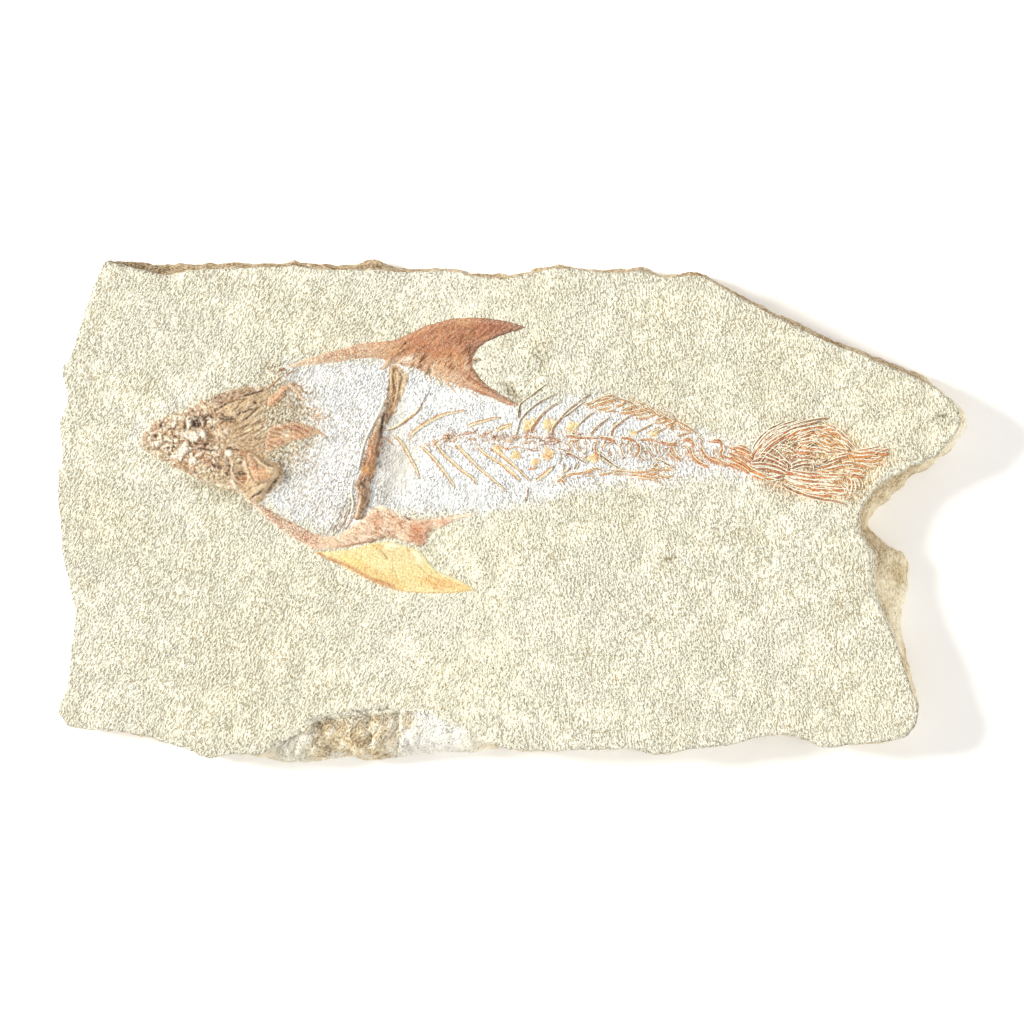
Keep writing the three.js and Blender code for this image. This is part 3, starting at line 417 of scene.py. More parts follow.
def face_shape(x, y):
    """the prepared face without its fine strokes, mm"""
    z = FACE + 0.35 * fbm(x / 46.0, y / 40.0, 21, 2) + 0.16 * fbm(x / 11.0, y / 9.0, 22, 3)
    gx, gy = grid_of(x, y)
    # the stone rises to the head and falls away steeply off the snout and the cheek
    dh, _, _ = line_dist(x, y, HEAD, True)
    ih = inside(x, y, HEAD)
    sd = np.where(ih, -dh, dh)
    z = z + 1.55 * smooth(9.5, -3.5, sd) * (0.75 + 0.25 * smooth(-60, -95, x))
    # the hollow round the bones, with a low irregular brink
    db, _, _ = line_dist(x, y, BODY, True)
    ib = inside(x, y, BODY)
    sb = np.where(ib, -db, db) + 0.9 * fbm(x / 3.0, y / 3.0, 23, 2)
    z = z - 0.46 * smooth(2.2, -3.0, sb)
    z = z + 0.14 * np.exp(-((sb - 2.6) / 2.0) ** 2)
    # the notch under the tip of the upper fin, dents and scrapes
    for cx, cy, r, d in ((514, 393, 3.2, 0.75), (664, 563, 2.6, 0.8), (691, 560, 2.4, -0.35),
                         (710, 594, 0.9, 0.35), (941, 417, 1.1, 0.4), (616, 680, 0.9, 0.3),
                         (84, 585, 4.6, 0.35), (96, 574, 2.0, -0.3), (272, 368, 3.4, 0.5),
                         (402, 462, 5.0, 0.75), (396, 486, 4.5, 0.6), (392, 440, 2.8, 0.4),
                         (286, 463, 4.2, 0.8), (300, 404, 3.6, 0.55), (345, 512, 2.4, 0.4),
                         (437, 560, 2.6, 0.35), (452, 574, 2.2, 0.3)):
        px, py = P((cx, cy))
        rr = np.hypot(x - px, (y - py) * 0.8) / r
        z = z - d * np.exp(-rr ** 2 * 1.2) * (1 + 0.35 * gnoise(x / 1.7, y / 1.7, 24))
    hw = blob(gx, gy, 286, 440, 46, 46, 0, 2.0) * smooth(262, 272, gx) * smooth(320, 300, gx)
    z = z + 0.17 * hw * np.sin((y * 1.6 + 0.8 * x + 1.3 * gnoise(x / 3.4, y / 3.4, 27)) * 2.6)
    # shallow waves left by the first rough dressing
    z = z + 0.10 * np.sin((x * 0.9 + y * 0.35) / 2.4 + 2.0 * gnoise(x / 9, y / 9, 25)) * smooth(0.1, 0.5, gnoise(x / 28, y / 28, 26))
    return z


def face_height(x, y, top_edge):
    """full height of the prepared face at mesh resolution, and its masks"""
    z = face_shape(x, y)
    de, _, _ = line_dist(x, y, top_edge, True)
    db, _, _ = line_dist(x, y, BODY, True)
    sb = np.where(inside(x, y, BODY), -db, db)
    body = smooth(3.0, -2.6, sb + 2.0 * fbm(x / 3.4, y / 3.4, 31, 3))
    dh, _, _ = line_dist(x, y, HEAD, True)
    sh = np.where(inside(x, y, HEAD), -dh, dh)
    head = smooth(2.0, -1.0, sh + 0.8 * fbm(x / 2.2, y / 2.2, 32, 2))
    s = stroke_field(x, y)
    patchy = 0.72 + 0.28 * fbm(x / 9.0, y / 8.0, 33, 2)
    amp = GRAIN * patchy
    gx, gy = grid_of(x, y)
    calm = np.clip(blob(gx, gy, 402, 464, 24, 40, 8, 1.6) + 0.9 * blob(gx, gy, 398, 408, 16, 20, 20, 1.6) + 0.6 * blob(gx, gy, 222, 487, 26, 9, 20, 1.4), 0, 1)
    amp = amp * (1 - 0.42 * body) * (1 - 0.35 * head) * (1 - 0.75 * calm)
    z = z + s * amp
    # worn, nibbled arris
    wear = np.exp(-de / 0.9)
    nib = smooth(0.15, 0.75, gnoise(x / 4.2, y / 4.2, 34))
    wear = np.exp(-de / 0.55)
    z = z - wear * (0.10 + 0.55 * nib) - 0.35 * nib * smooth(2.6, 0.2, de)
    scol, sal, sdz = stain_and_shade_field(x, y)
    # tan wrinkled ground behind the skull and round the cheek, with painted shade in the wrinkles' troughs and painted
    # highlight on their crests
    wr = np.clip(blob(gx, gy, 290, 438, 32, 44, 0, 2.2) * smooth(260, 270, gx) + 0.8 * blob(gx, gy, 296, 398, 20, 16, -20, 1.8), 0, 1)
    wv = np.sin((y * 1.6 + 0.8 * x + 1.3 * gnoise(x / 3.4, y / 3.4, 27) + 0.5 * gnoise(x / 1.2, y / 1.2, 48)) * 2.6)
    wa = wr * (0.42 + 0.45 * smooth(0.1, -0.7, wv)); na = wa + sal * (1 - wa)
    scol = mix(scol, mix(lin(224, 206, 172), lin(160, 134, 98), smooth(0.0, -0.9, wv) * 0.8), wa / np.maximum(na, 1e-6)); sal = np.clip(na, 0, 1)
    wh = wr * smooth(0.5, 0.95, wv) * 0.45; na = wh + sal * (1 - wh)
    scol = mix(scol, lin(255, 252, 242), wh / np.maximum(na, 1e-6)); sal = np.clip(na, 0, 1)
    # the broken, flaky white ground before the shoulder, its low flakes greyed as painted shade and its raised ones
    # whitened as painted highlight
    rug = np.clip(blob(gx, gy, 336, 442, 42, 72, 8, 2.2) + 0.8 * blob(gx, gy, 300, 402, 20, 22, 0, 1.8), 0, 1) * (1 - 0.6 * head)
    crag = fbm(x / 2.3 + 0.6 * gnoise(x / 1.6, y / 1.6, 28), y / 1.9, 39, 3)
    z = z + rug * (0.23 * np.abs(crag) ** 0.8 * np.sign(crag) + 0.10 * gnoise(x / 0.8, y / 0.8, 29))
    hw = rug * smooth(-0.05, -0.45, crag)
    sa = np.clip(0.46 * hw, 0, 1); na = sa + sal * (1 - sa)
    scol = mix(scol, lin(228, 216, 196), sa / np.maximum(na, 1e-6)); sal = na
    wh = rug * smooth(0.0, 0.35, crag) * 0.85; na = wh + sal * (1 - wh)
    scol = mix(scol, lin(255, 255, 252), wh / np.maximum(na, 1e-6)); sal = na
    return z + sdz * 0.6, s, body, head, de, calm, scol, sal


GRAIN = 0.22


def build_slab():
    a_top = 0.745
    # resample both lines together so that they keep matching
    gx0, gy0 = grid_of(OUT_MM[:, 0], OUT_MM[:, 1])
    near = np.clip(smooth(120, 100, gx0) * smooth(266, 276, gy0) + smooth(690, 715, gy0) * (smooth(268, 250, gx0) + smooth(492, 506, gx0)), 0, 1)
    both = np.hstack([OUT_MM, OUT_MM + (TOP_MM - OUT_MM) * (1 - 0.72 * near)[:, None]])
    both = catmull(both, True, 0.9)
    n = 1050
    both = resample(both, n, True)
    out, top = both[:, :2].copy(), both[:, 2:].copy()
    # small breaks along both lines
    d = np.roll(out, -1, 0) - np.roll(out, 1, 0)
    nrm = np.column_stack([d[:, 1], -d[:, 0]]); nrm /= np.hypot(*nrm.T)[:, None]
    arc = np.arange(n) * (np.hypot(*(np.roll(out, -1, 0) - out).T).sum() / n)
    wob = 0.34 * fbm(arc / 3.1, arc * 0 + 1, 41, 3) + 0.18 * gnoise(arc / 1.1, arc * 0, 42)
    top += nrm * wob[:, None]
    out += nrm * (0.22 * fbm(arc / 4.0, arc * 0 + 3, 43, 2))[:, None]
    X, Y, dist = hexgrid(top, a_top, 0.16, 7, 0.42)
    far = ~inside(X, Y, FINE)
    Xf, Yf, _ = hexgrid(FINE, 0.52, 0.16, 17, 0.30)
    X = np.concatenate([X[far], Xf]); Y = np.concatenate([Y[far], Yf])
    tri = triangulate(top, X, Y)
    tx = np.concatenate([top[:, 0], X]); ty = np.concatenate([top[:, 1], Y])
    z, s, body, head, de, calm, scol, sal = face_height(tx, ty, top)
    de[:n] = 0
    nt = len(tx)

    # ------------------------------------------------ the broken sides
    rows = 15
    chip_in = inside(out[:, 0], out[:, 1], CHIP) | inside(top[:, 0], top[:, 1], CHIP)
    gapw = np.hypot(*(out - top).T)
    chip = smooth(2.5, 6.0, gapw) * chip_in
    k = np.ones(9) / 9
    chip = np.convolve(np.concatenate([chip[-4:], chip, chip[:4]]), k, "valid")
    wide = smooth(2.0, 7.0, gapw) * (1 - chip)
    ztop = z[:n]
    side_co = []; side_row = []
    under = 1.1 + 0.8 * gnoise(arc / 9.0, arc * 0, 44)
    zb = 3.4 + 0.9 * gnoise(arc / 7.0, arc * 0, 45)
    rt = smooth(392, 428, grid_of(top[:, 0], top[:, 1])[0])      # the chip is shallower and paler at its right
    for r in range(1, rows + 1):
        t = r / rows
        # ordinary side: down to the widest line, then stepping in under it
        h = np.clip(t / 0.78, 0, 1)
        f_n = h ** (1.0 - 0.15 * wide)
        z_n = ztop + (zb - ztop) * h ** (1.15 - 0.2 * wide)
        # chip: steep under the rim, flattening to a lip low on the side
        f_c = np.clip(t / 0.82, 0, 1) ** 1.05
        zc = 4.6
        z_c = ztop - (0.85 - 0.55 * rt) * smooth(0.0, 0.14 + 0.1 * rt, f_c) - 2.2 * f_c - (ztop - 3.2 - zc) * f_c ** 5
        lower = np.clip((t - 0.78) / 0.22, 0, 1)
        z_n = z_n * (1 - lower)
        lower_c = np.clip((t - 0.82) / 0.18, 0, 1)
        z_c = z_c * (1 - lower_c)
        f_n = f_n - lower ** 1.6 * under / np.maximum(gapw, 1.0)
        f_c = f_c - lower_c ** 1.6 * under / np.maximum(gapw, 1.0)
        f = f_n * (1 - chip) + f_c * chip
        zz = z_n * (1 - chip) + z_c * chip
        pos = top + (out - top) * f[:, None]
        side_co.append(np.column_stack([pos, zz])); side_row.append(np.full(n, t))
    side = np.vstack(side_co); st = np.concatenate(side_row)
    arcs = np.tile(arc, rows); nn = np.tile(nrm, (rows, 1)); chips = np.tile(chip, rows); wides = np.tile(wide, rows)
    # fracture facets, bedding and a rough skin
    sz = side[:, 2]
    env = smooth(0.0, 0.16, st) * smooth(1.0, 0.86, st)
    f1, f2, cid = worley(arcs / 7.5 + 0.35 * gnoise(arcs / 5, sz / 4, 51), sz / 6.5 + 3, 52)
    slope = (cid - 0.5)
    facet = (f2 - f1) * 0.8 + slope * 0.9
    bed = gnoise(arcs / 26.0, sz / 1.15, 53) * 0.55 + gnoise(arcs / 9.0, sz / 0.62, 54) * 0.25
    rough = fbm(arcs / 2.6, sz / 1.9, 55, 3) * (0.42 - 0.24 * wides)
    dsp = env * (facet * (0.75 + 0.2 * wides) * (1 - 0.7 * chips) + bed * (0.5 - 0.25 * chips) + rough * (1 - 0.45 * chips))
    side[:, :2] += nn * (dsp - 0.28)[:, None] * np.minimum(1, env + 0.0)[:, None]
    side[:, 2] += env * 0.35 * gnoise(arcs / 3.0, sz / 2.0, 56)
    cx, cy = side[:, 0], side[:, 1]
    f1c, f2c, cc = worley(cx / 2.6 + 0.5 * gnoise(cx / 2, cy / 2, 57), cy / 1.9, 58)
    rx, ry = rot(cx, cy, 62)
    knob = gnoise(rx / 4.6, ry / 1.5, 58) + 0.55 * gnoise(rx / 2.2, ry / 0.9, 57) + 0.5 * (f2c - f1c) + 0.5 * (cc - 0.5)
    crag = knob * 0.60 + 0.40 * fbm(cx / 1.3, cy / 1.1, 59, 3)
    side[:, 2] += chips * smooth(0.0, 0.10, st) * smooth(1.0, 0.80, st) * crag * (1.25 - 0.65 * np.tile(rt, rows))
    side[:, 2] = np.maximum(side[:, 2], 0)
    last = side[(rows - 1) * n:]
    last[:, 2] = 0.0
    # ------------------------------------------------ underside
    loop = last[:, :2].copy()
    # a coarse grid of points inwards gives room for coarse triangles
    Xb, Yb, db = hexgrid(loop, 3.2, 0.2, 8, 1.6)
    trib = triangulate(loop, Xb, Yb)
    zb_in = 0.45 * smooth(0, 6, db) * smooth(-0.1, 0.8, fbm(Xb / 14, Yb / 14, 61, 3)) + 0.12 * smooth(0, 4, db) * np.abs(gnoise(Xb / 4, Yb / 4, 62))

    co = np.vstack([np.column_stack([tx, ty, z]), side, np.column_stack([Xb, Yb, zb_in])])
    faces = [tri]
    ring = [np.arange(n)] + [nt + i * n + np.arange(n) for i in range(rows)]
    for i in range(rows):
        a, b = ring[i], ring[i + 1]
        a2, b2 = np.roll(a, -1), np.roll(b, -1)
        # the side runs outwards and down, so the winding turns out
        faces.append(np.column_stack([a, b, b2])); faces.append(np.column_stack([a, b2, a2]))
    mb = np.concatenate([ring[-1], nt + rows * n + np.arange(len(Xb))])
    faces.append(mb[trib][:, ::-1])
    tri_all = np.vstack(faces)
    N = len(co)
    ntop = len(tri); nside = 2 * n * rows

    def full(topv, sidev, botv):
        return np.concatenate([np.broadcast_to(topv, nt), np.broadcast_to(sidev, len(side)), np.broadcast_to(botv, len(Xb))])
    sgx, sgy = grid_of(side[:, 0], side[:, 1])
    def win(v, a, b, w):
        return smooth(a - w, a + w, v) * smooth(b + w, b - w, v)
    up = smooth(440, 380, sgy)
    # tan on the walls, strongest along the back and right sides: partly weathering, partly painted shade
    tanw = (up * (0.95 * win(sgx, 104, 188, 8) + 0.85 * win(sgx, 280, 406, 10) + 0.30 * win(sgx, 406, 700, 12) + 0.25 * win(sgx, 190, 280, 8) + 0.6 * win(sgx, 700, 960, 14))
            + smooth(845, 868, sgx) * smooth(440, 470, sgy) * 1.0 + 0.75 * win(sgy, 456, 478, 4) * (sgx < 120)
            + smooth(690, 720, sgy) * (0.42 * win(sgx, 70, 268, 14) + 0.35 * win(sgx, 496, 840, 14) + 0.5 * win(sgx, 262, 500, 8)))
    tanw = np.clip(tanw + (0.12 + 0.35 * smooth(0.2, 0.7, fbm(arcs / 5.0, sz / 3.0, 63, 2)) + smooth(0.55, 0.85, st) * 0.25) * (1 - 0.85 * smooth(126, 104, sgx)), 0, 1)
    tops = np.zeros((len(co), 3)); tops[:] = lin(236, 230, 208); tops[:nt] = scol
    at = {
        "tanw": full(0, tanw, 0.7),
        "calm": full(calm, 0, 0),
        # strength of the stains and of the painted shade and highlight on the face
        "stain": full(sal, 0, 0),
        "chip_relief": full(0, knob * chips, 0),
        "body": full(body, 0, 0),
        "head": full(head, 0, 0),
        "strk": full(s, 0, 0),
        "edge": full(np.exp(-de / 1.6), np.exp(-st * 6) * 0.8, 0),
        "wall": full(np.zeros(nt), smooth(0.0, 0.12, st), 1.0),
        "chip": full(np.zeros(nt), chips * smooth(0, 0.1, st) * smooth(1.0, 0.8, st), 0),
        "bed": full(np.zeros(nt), bed, 0),
    }
    # ------------------------------------------------ a flat map for the finish
    uv = np.zeros((len(tri_all), 3, 2))
    W = 256.0
    v3 = co[tri_all]
    uv[:ntop, :, 0] = (v3[:ntop, :, 0] + 128) / W
    uv[:ntop, :, 1] = (v3[:ntop, :, 1] + 72) / W + 0.43
    side_tris = v3[ntop:ntop + nside]
    per = arc[-1] + arc[1]
    # the sides as three stacked strips
    ia = np.concatenate([np.column_stack([np.arange(n), np.arange(n), np.arange(n) + 1]),
                         np.column_stack([np.arange(n), np.arange(n) + 1, np.arange(n) + 1])])
    ia = np.tile(ia, (rows, 1)).reshape(rows, 2 * n, 3).reshape(-1, 3)
    rr = []
    for i in range(rows):
        rr.append(np.column_stack([np.full(n, i), np.full(n, i + 1), np.full(n, i + 1)]))
        rr.append(np.column_stack([np.full(n, i), np.full(n, i + 1), np.full(n, i)]))
    rr = np.vstack(rr)
    strip = np.minimum(ia.min(1) * 3 // n, 2)
    ua = (ia - strip[:, None] * (n / 3.0)) / (n / 3.0)
    uv[ntop:ntop + nside, :, 0] = 0.01 + 0.98 * ua
    uv[ntop:ntop + nside, :, 1] = 0.012 + 0.075 * strip[:, None] + 0.068 * (1 - rr / rows)
    bt = v3[ntop + nside:]
    uv[ntop + nside:, :, 0] = 0.01 + (bt[:, :, 0] + 128) / W * 0.34
    uv[ntop + nside:, :, 1] = 0.245 + (bt[:, :, 1] + 72) / W * 0.30
    uv = np.clip(uv, 0, 1)
    ob = make_mesh("slab_stone", co, tri_all, at, {"StainAndShade": tops}, uv.reshape(-1, 2))
    print("slab triangles", len(tri_all), "top", ntop)
    return ob

# ================================================================ bone builders
def blob(gx, gy, cx, cy, rx, ry=None, ang=0.0, p=1.0):
    """soft ellipse on the drawing grid, 1 at its middle"""
    ry = rx if ry is None else ry
    a = math.radians(ang)
    u = (gx - cx) * math.cos(a) + (gy - cy) * math.sin(a)
    v = -(gx - cx) * math.sin(a) + (gy - cy) * math.cos(a)
    return np.exp(-((u / rx) ** 2 + (v / ry) ** 2) ** p)


def stroke(gx, gy, pts, w, taper=0.25):
    """soft line on the drawing grid, 1 along its middle and thinning to its ends"""
    lo = np.min(pts, 0) - 4 * w; hi = np.max(pts, 0) + 4 * w
    out = np.zeros(gx.shape)
    m = (gx > lo[0]) & (gx < hi[0]) & (gy > lo[1]) & (gy < hi[1])
    if not m.any():
        return out
    d, t, _ = line_dist(gx[m], gy[m], np.asarray(pts, float))
    end = np.minimum(smooth(-0.02, taper, t), smooth(1.02, 1 - taper, t))
    out[m] = np.exp(-(d / w) ** 2) * (0.35 + 0.65 * end)
    return out


def paint(gx, gy, z, col, blobs=(), strokes=()):
    """adds lumps, pits, ridges and cracks with their stains, a few of them painted shade; z in mm, col scene-linear"""
    for b in blobs:
        cx, cy, rx, ry, ang, dz, c, a = b[:8]
        m = blob(gx, gy, cx, cy, rx, ry, ang, b[8] if len(b) > 8 else 1.4)
        z = z + dz * m
        if c is not None:
            col = mix(col, lin(*c), np.clip(a * m * 1.15, 0, 1))
    for pts, w, dz, c, a in strokes:
        m = stroke(gx, gy, pts, w)
        z = z + dz * m
        if c is not None:
            col = mix(col, lin(*c), np.clip(a * m * 1.2, 0, 1))
    return z, col


def shell(loop, X, Y, zt_loop, zt, zb_fun, a, seed):
    """a closed body: the finished top, a side wall, and a coarse hidden foot"""
    n = len(loop)
    tri = triangulate(loop, X, Y)
    Xb, Yb, _ = hexgrid(loop, a * 3.5, 0.1, seed + 5, a * 1.6)
    trib = triangulate(loop, Xb, Yb)
    lx, ly = loop[:, 0], loop[:, 1]
    top = np.column_stack([np.concatenate([lx, X]), np.concatenate([ly, Y]), np.concatenate([zt_loop, zt])])
    bx = np.concatenate([lx, Xb]); by = np.concatenate([ly, Yb])
    bot = np.column_stack([bx, by, zb_fun(bx, by)])
    co = np.vstack([top, bot])
    nt = len(top)
    i = np.arange(n); j = (i + 1) % n
    wall = np.vstack([np.column_stack([i, nt + i, nt + j]), np.column_stack([i, nt + j, j])])
    faces = np.vstack([tri, wall, (trib + nt)[:, ::-1]])
    return co, faces, nt


def relief(z, faces, n, rings=2):
    """how far each point stands over its neighbours"""
    f = faces[(faces < n).all(1)]
    i = np.concatenate([f[:, 0], f[:, 1], f[:, 2]]); j = np.concatenate([f[:, 1], f[:, 2], f[:, 0]])
    i, j = np.concatenate([i, j]), np.concatenate([j, i])
    cnt = np.maximum(np.bincount(i, minlength=n), 1)
    m = z[:n]
    for _ in range(rings):
        m = np.bincount(i, weights=m[j], minlength=n) / cnt
    return z[:n] - m


def patch_data(outline, shape, a=0.32, seed=1, edge=0.12, sink=0.9, rim=0.45, closed_smooth=True, step=None, relief_light=0.6, low=0.20):
    """a bone over an outline on the drawing grid.
    shape(x, y, gx, gy, d) gives height above the face in mm and colour"""
    o = P(outline)
    if poly_area(o) < 0:
        o = o[::-1]
    loop = catmull(o, True, step or a)
    per = np.hypot(*(np.roll(loop, -1, 0) - loop).T).sum()
    loop = resample(loop, max(12, int(per / (step or a))), True)
    arc = np.arange(len(loop)) * (step or a)
    d = np.roll(loop, -1, 0) - np.roll(loop, 1, 0)
    nr = np.column_stack([d[:, 1], -d[:, 0]]); nr /= np.maximum(np.hypot(*nr.T), 1e-9)[:, None]
    loop = loop + nr * (edge * (fbm(arc / 1.3, arc * 0 + seed, seed, 3)))[:, None]
    X, Y, dd = hexgrid(loop, a, 0.16, seed, a * 0.62)
    x = np.concatenate([loop[:, 0], X]); y = np.concatenate([loop[:, 1], Y])
    d = np.concatenate([np.zeros(len(loop)), dd])
    gx, gy = grid_of(x, y)
    h, col = shape(x, y, gx, gy, d)
    base = face_shape(x, y)
    if low is not None:
        h = np.maximum(h, low + 0.25 * (h - low))
    z = base - 0.22 + (h + 0.22) * smooth(-0.02, rim, d)
    n = len(loop)
    co, faces, nt = shell(loop, X, Y, z[:n], z[n:], lambda bx, by: face_shape(bx, by) - sink, a, seed)
    # painted shade darkens the hollows of the relief and painted highlight lightens its crests
    cv = np.clip(relief(co[:, 2], faces[:len(faces)], nt) / 0.075, -1, 1)
    inner = smooth(0.0, 0.5, d)
    cv = cv * (0.35 + 0.65 * inner)
    col = col * (1 - relief_light * 0.62 * np.clip(-cv, 0, 1))[:, None]
    col = mix(col, lin(255, 248, 230), relief_light * 0.62 * np.clip(cv, 0, 1))
    cols = np.zeros((len(co), 3)); cols[:] = col.mean(0)
    cols[:nt] = col
    cols[nt:nt + n] = col[:n]
    return co, faces, cols


SECTION = ((-1.0, -0.30), (-0.93, 0.32), (-0.55, 0.84), (0.0, 1.0), (0.55, 0.84), (0.93, 0.32), (1.0, -0.30))


def ribbon_data(path, widths, height, colour, seed=1, step=0.34, rough=0.10, sink=0.35, lift=None, colour2=None, lean=0.0, broken=0.0):
    """a bone rod lying on the face: path and widths on the drawing grid, height in mm"""
    p = P(path)
    w = np.asarray(widths, float) * UNIT
    if w.ndim == 0:
        w = np.full(len(p), float(w))
    q = catmull(np.column_stack([p, w]), False, step)
    L = np.hypot(*(q[1:, :2] - q[:-1, :2]).T).sum()
    q = resample(q, max(4, int(L / step) + 1), False)
    n = len(q)
    t = np.linspace(0, 1, n)
    d = np.gradient(q[:, :2], axis=0)
    nr = np.column_stack([-d[:, 1], d[:, 0]]); nr /= np.maximum(np.hypot(*nr.T), 1e-9)[:, None]
    s = t * L
    mid = q[:, :2] + nr * (rough * 0.8 * gnoise(s / 1.4, s * 0 + seed * 1.7, seed))[:, None]
    hw = np.maximum(q[:, 2], 0.12) / 2 * (1 + 0.28 * gnoise(s / 0.9, s * 0 + seed * 2.3, seed + 1))
    endt = np.minimum(smooth(-0.001, 0.6 / max(L, 1.2), t), smooth(1.001, 1 - 0.9 / max(L, 1.8), t))
    hw = hw * (0.25 + 0.75 * endt)
    hh = height * (0.35 + 0.65 * endt) * (1 + 0.25 * gnoise(s / 0.8, s * 0 + seed * 3.1, seed + 2))
    base = face_shape(mid[:, 0], mid[:, 1]) - broken * smooth(0.12, 0.45, gnoise(s / 2.1, s * 0 + seed * 1.3, seed + 4))
    if lift is not None:
        base = base + lift(mid[:, 0], mid[:, 1])
    rows = []
    for a, b in SECTION:
        rows.append(np.column_stack([mid + nr * (hw * (a + lean * max(b, 0) * 0.0))[:, None],
                                     base + np.where(b < 0, -sink, b * hh)]))
    m = len(SECTION)
    co = np.stack(rows, 1).reshape(-1, 3)
    faces = []
    i = np.arange(n - 1)[:, None] * m; k = np.arange(m)[None, :]
    k2 = (k + 1) % m
    A = (i + k).ravel(); B = (i + k2).ravel(); C = (i + m + k2).ravel(); D = (i + m + k).ravel()
    faces = np.vstack([np.column_stack([A, B, C]), np.column_stack([A, C, D])])
    e = (n - 1) * m
    cap = [(0, c + 1, c) for c in range(1, m - 1)] + [(e, e + c, e + c + 1) for c in range(1, m - 1)]
    faces = np.vstack([faces, np.array(cap)])
    # make it face outwards
    v = co[faces]
    vol = np.einsum("ij,ij->i", v[:, 0], np.cross(v[:, 1], v[:, 2])).sum()
    if vol < 0:
        faces = faces[:, ::-1]
    c1 = lin(*colour)
    c2 = lin(*(colour2 or colour))
    tt = np.repeat(t, m)
    col = mix(c1, c2, tt)
    nz = 0.5 + 0.5 * gnoise(co[:, 0] / 0.55, co[:, 1] / 0.55, seed + 5)
    nb = gnoise(co[:, 0] / 1.5, co[:, 1] / 1.5, seed + 6)
    col = col * (0.74 + 0.52 * nz)[:, None]
    col = mix(col, lin(252, 238, 208), 0.42 * smooth(0.12, 0.55, nb))
    return co, faces, col


def joined(parts):
    co = []; fa = []; cl = []; k = 0
    for c, f, col in parts:
        co.append(c); fa.append(f + k); cl.append(col); k += len(c)
    return np.vstack(co), np.vstack(fa), np.vstack(cl)


BONES = []
WARM = (1.14, 1.04, 0.93)


def bone(name, parts, node, material):
    co, fa, col = joined(parts)
    col = col * np.array(WARM)
    ob = make_mesh(name, co, fa, colours={"Col": np.clip(col, 0, 1)})
    ob.data.materials.append(material)
    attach(ob, "root"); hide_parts(node)
    BONES.append((name, len(fa)))
    return ob


def granular(x, y, seed, s=0.8):
    """close-set rounded grains, 0 in the seams and 1 on the crowns"""
    f1, f2, c = worley(x / s, y / s, seed)
    return np.clip((f2 - f1) * 1.7, 0, 1) ** 0.7, c


# ======================================================================= skull
SKULL = [(140, 443), (145, 431), (154, 420.5), (166, 415), (178, 411), (190, 407), (201, 400.5), (218, 393.5), (235, 388.5),
         (250, 386.5), (266, 386), (272, 392), (268, 404), (266, 416), (268, 428), (267, 440), (266, 449), (272, 458),
         (281, 466), (284, 476), (280, 486), (270, 494), (262, 503), (252, 503), (243, 497), (234, 491), (222, 489), (208, 483),
         (193, 477.5), (178, 470.5), (166, 463), (155, 457), (145, 450)]


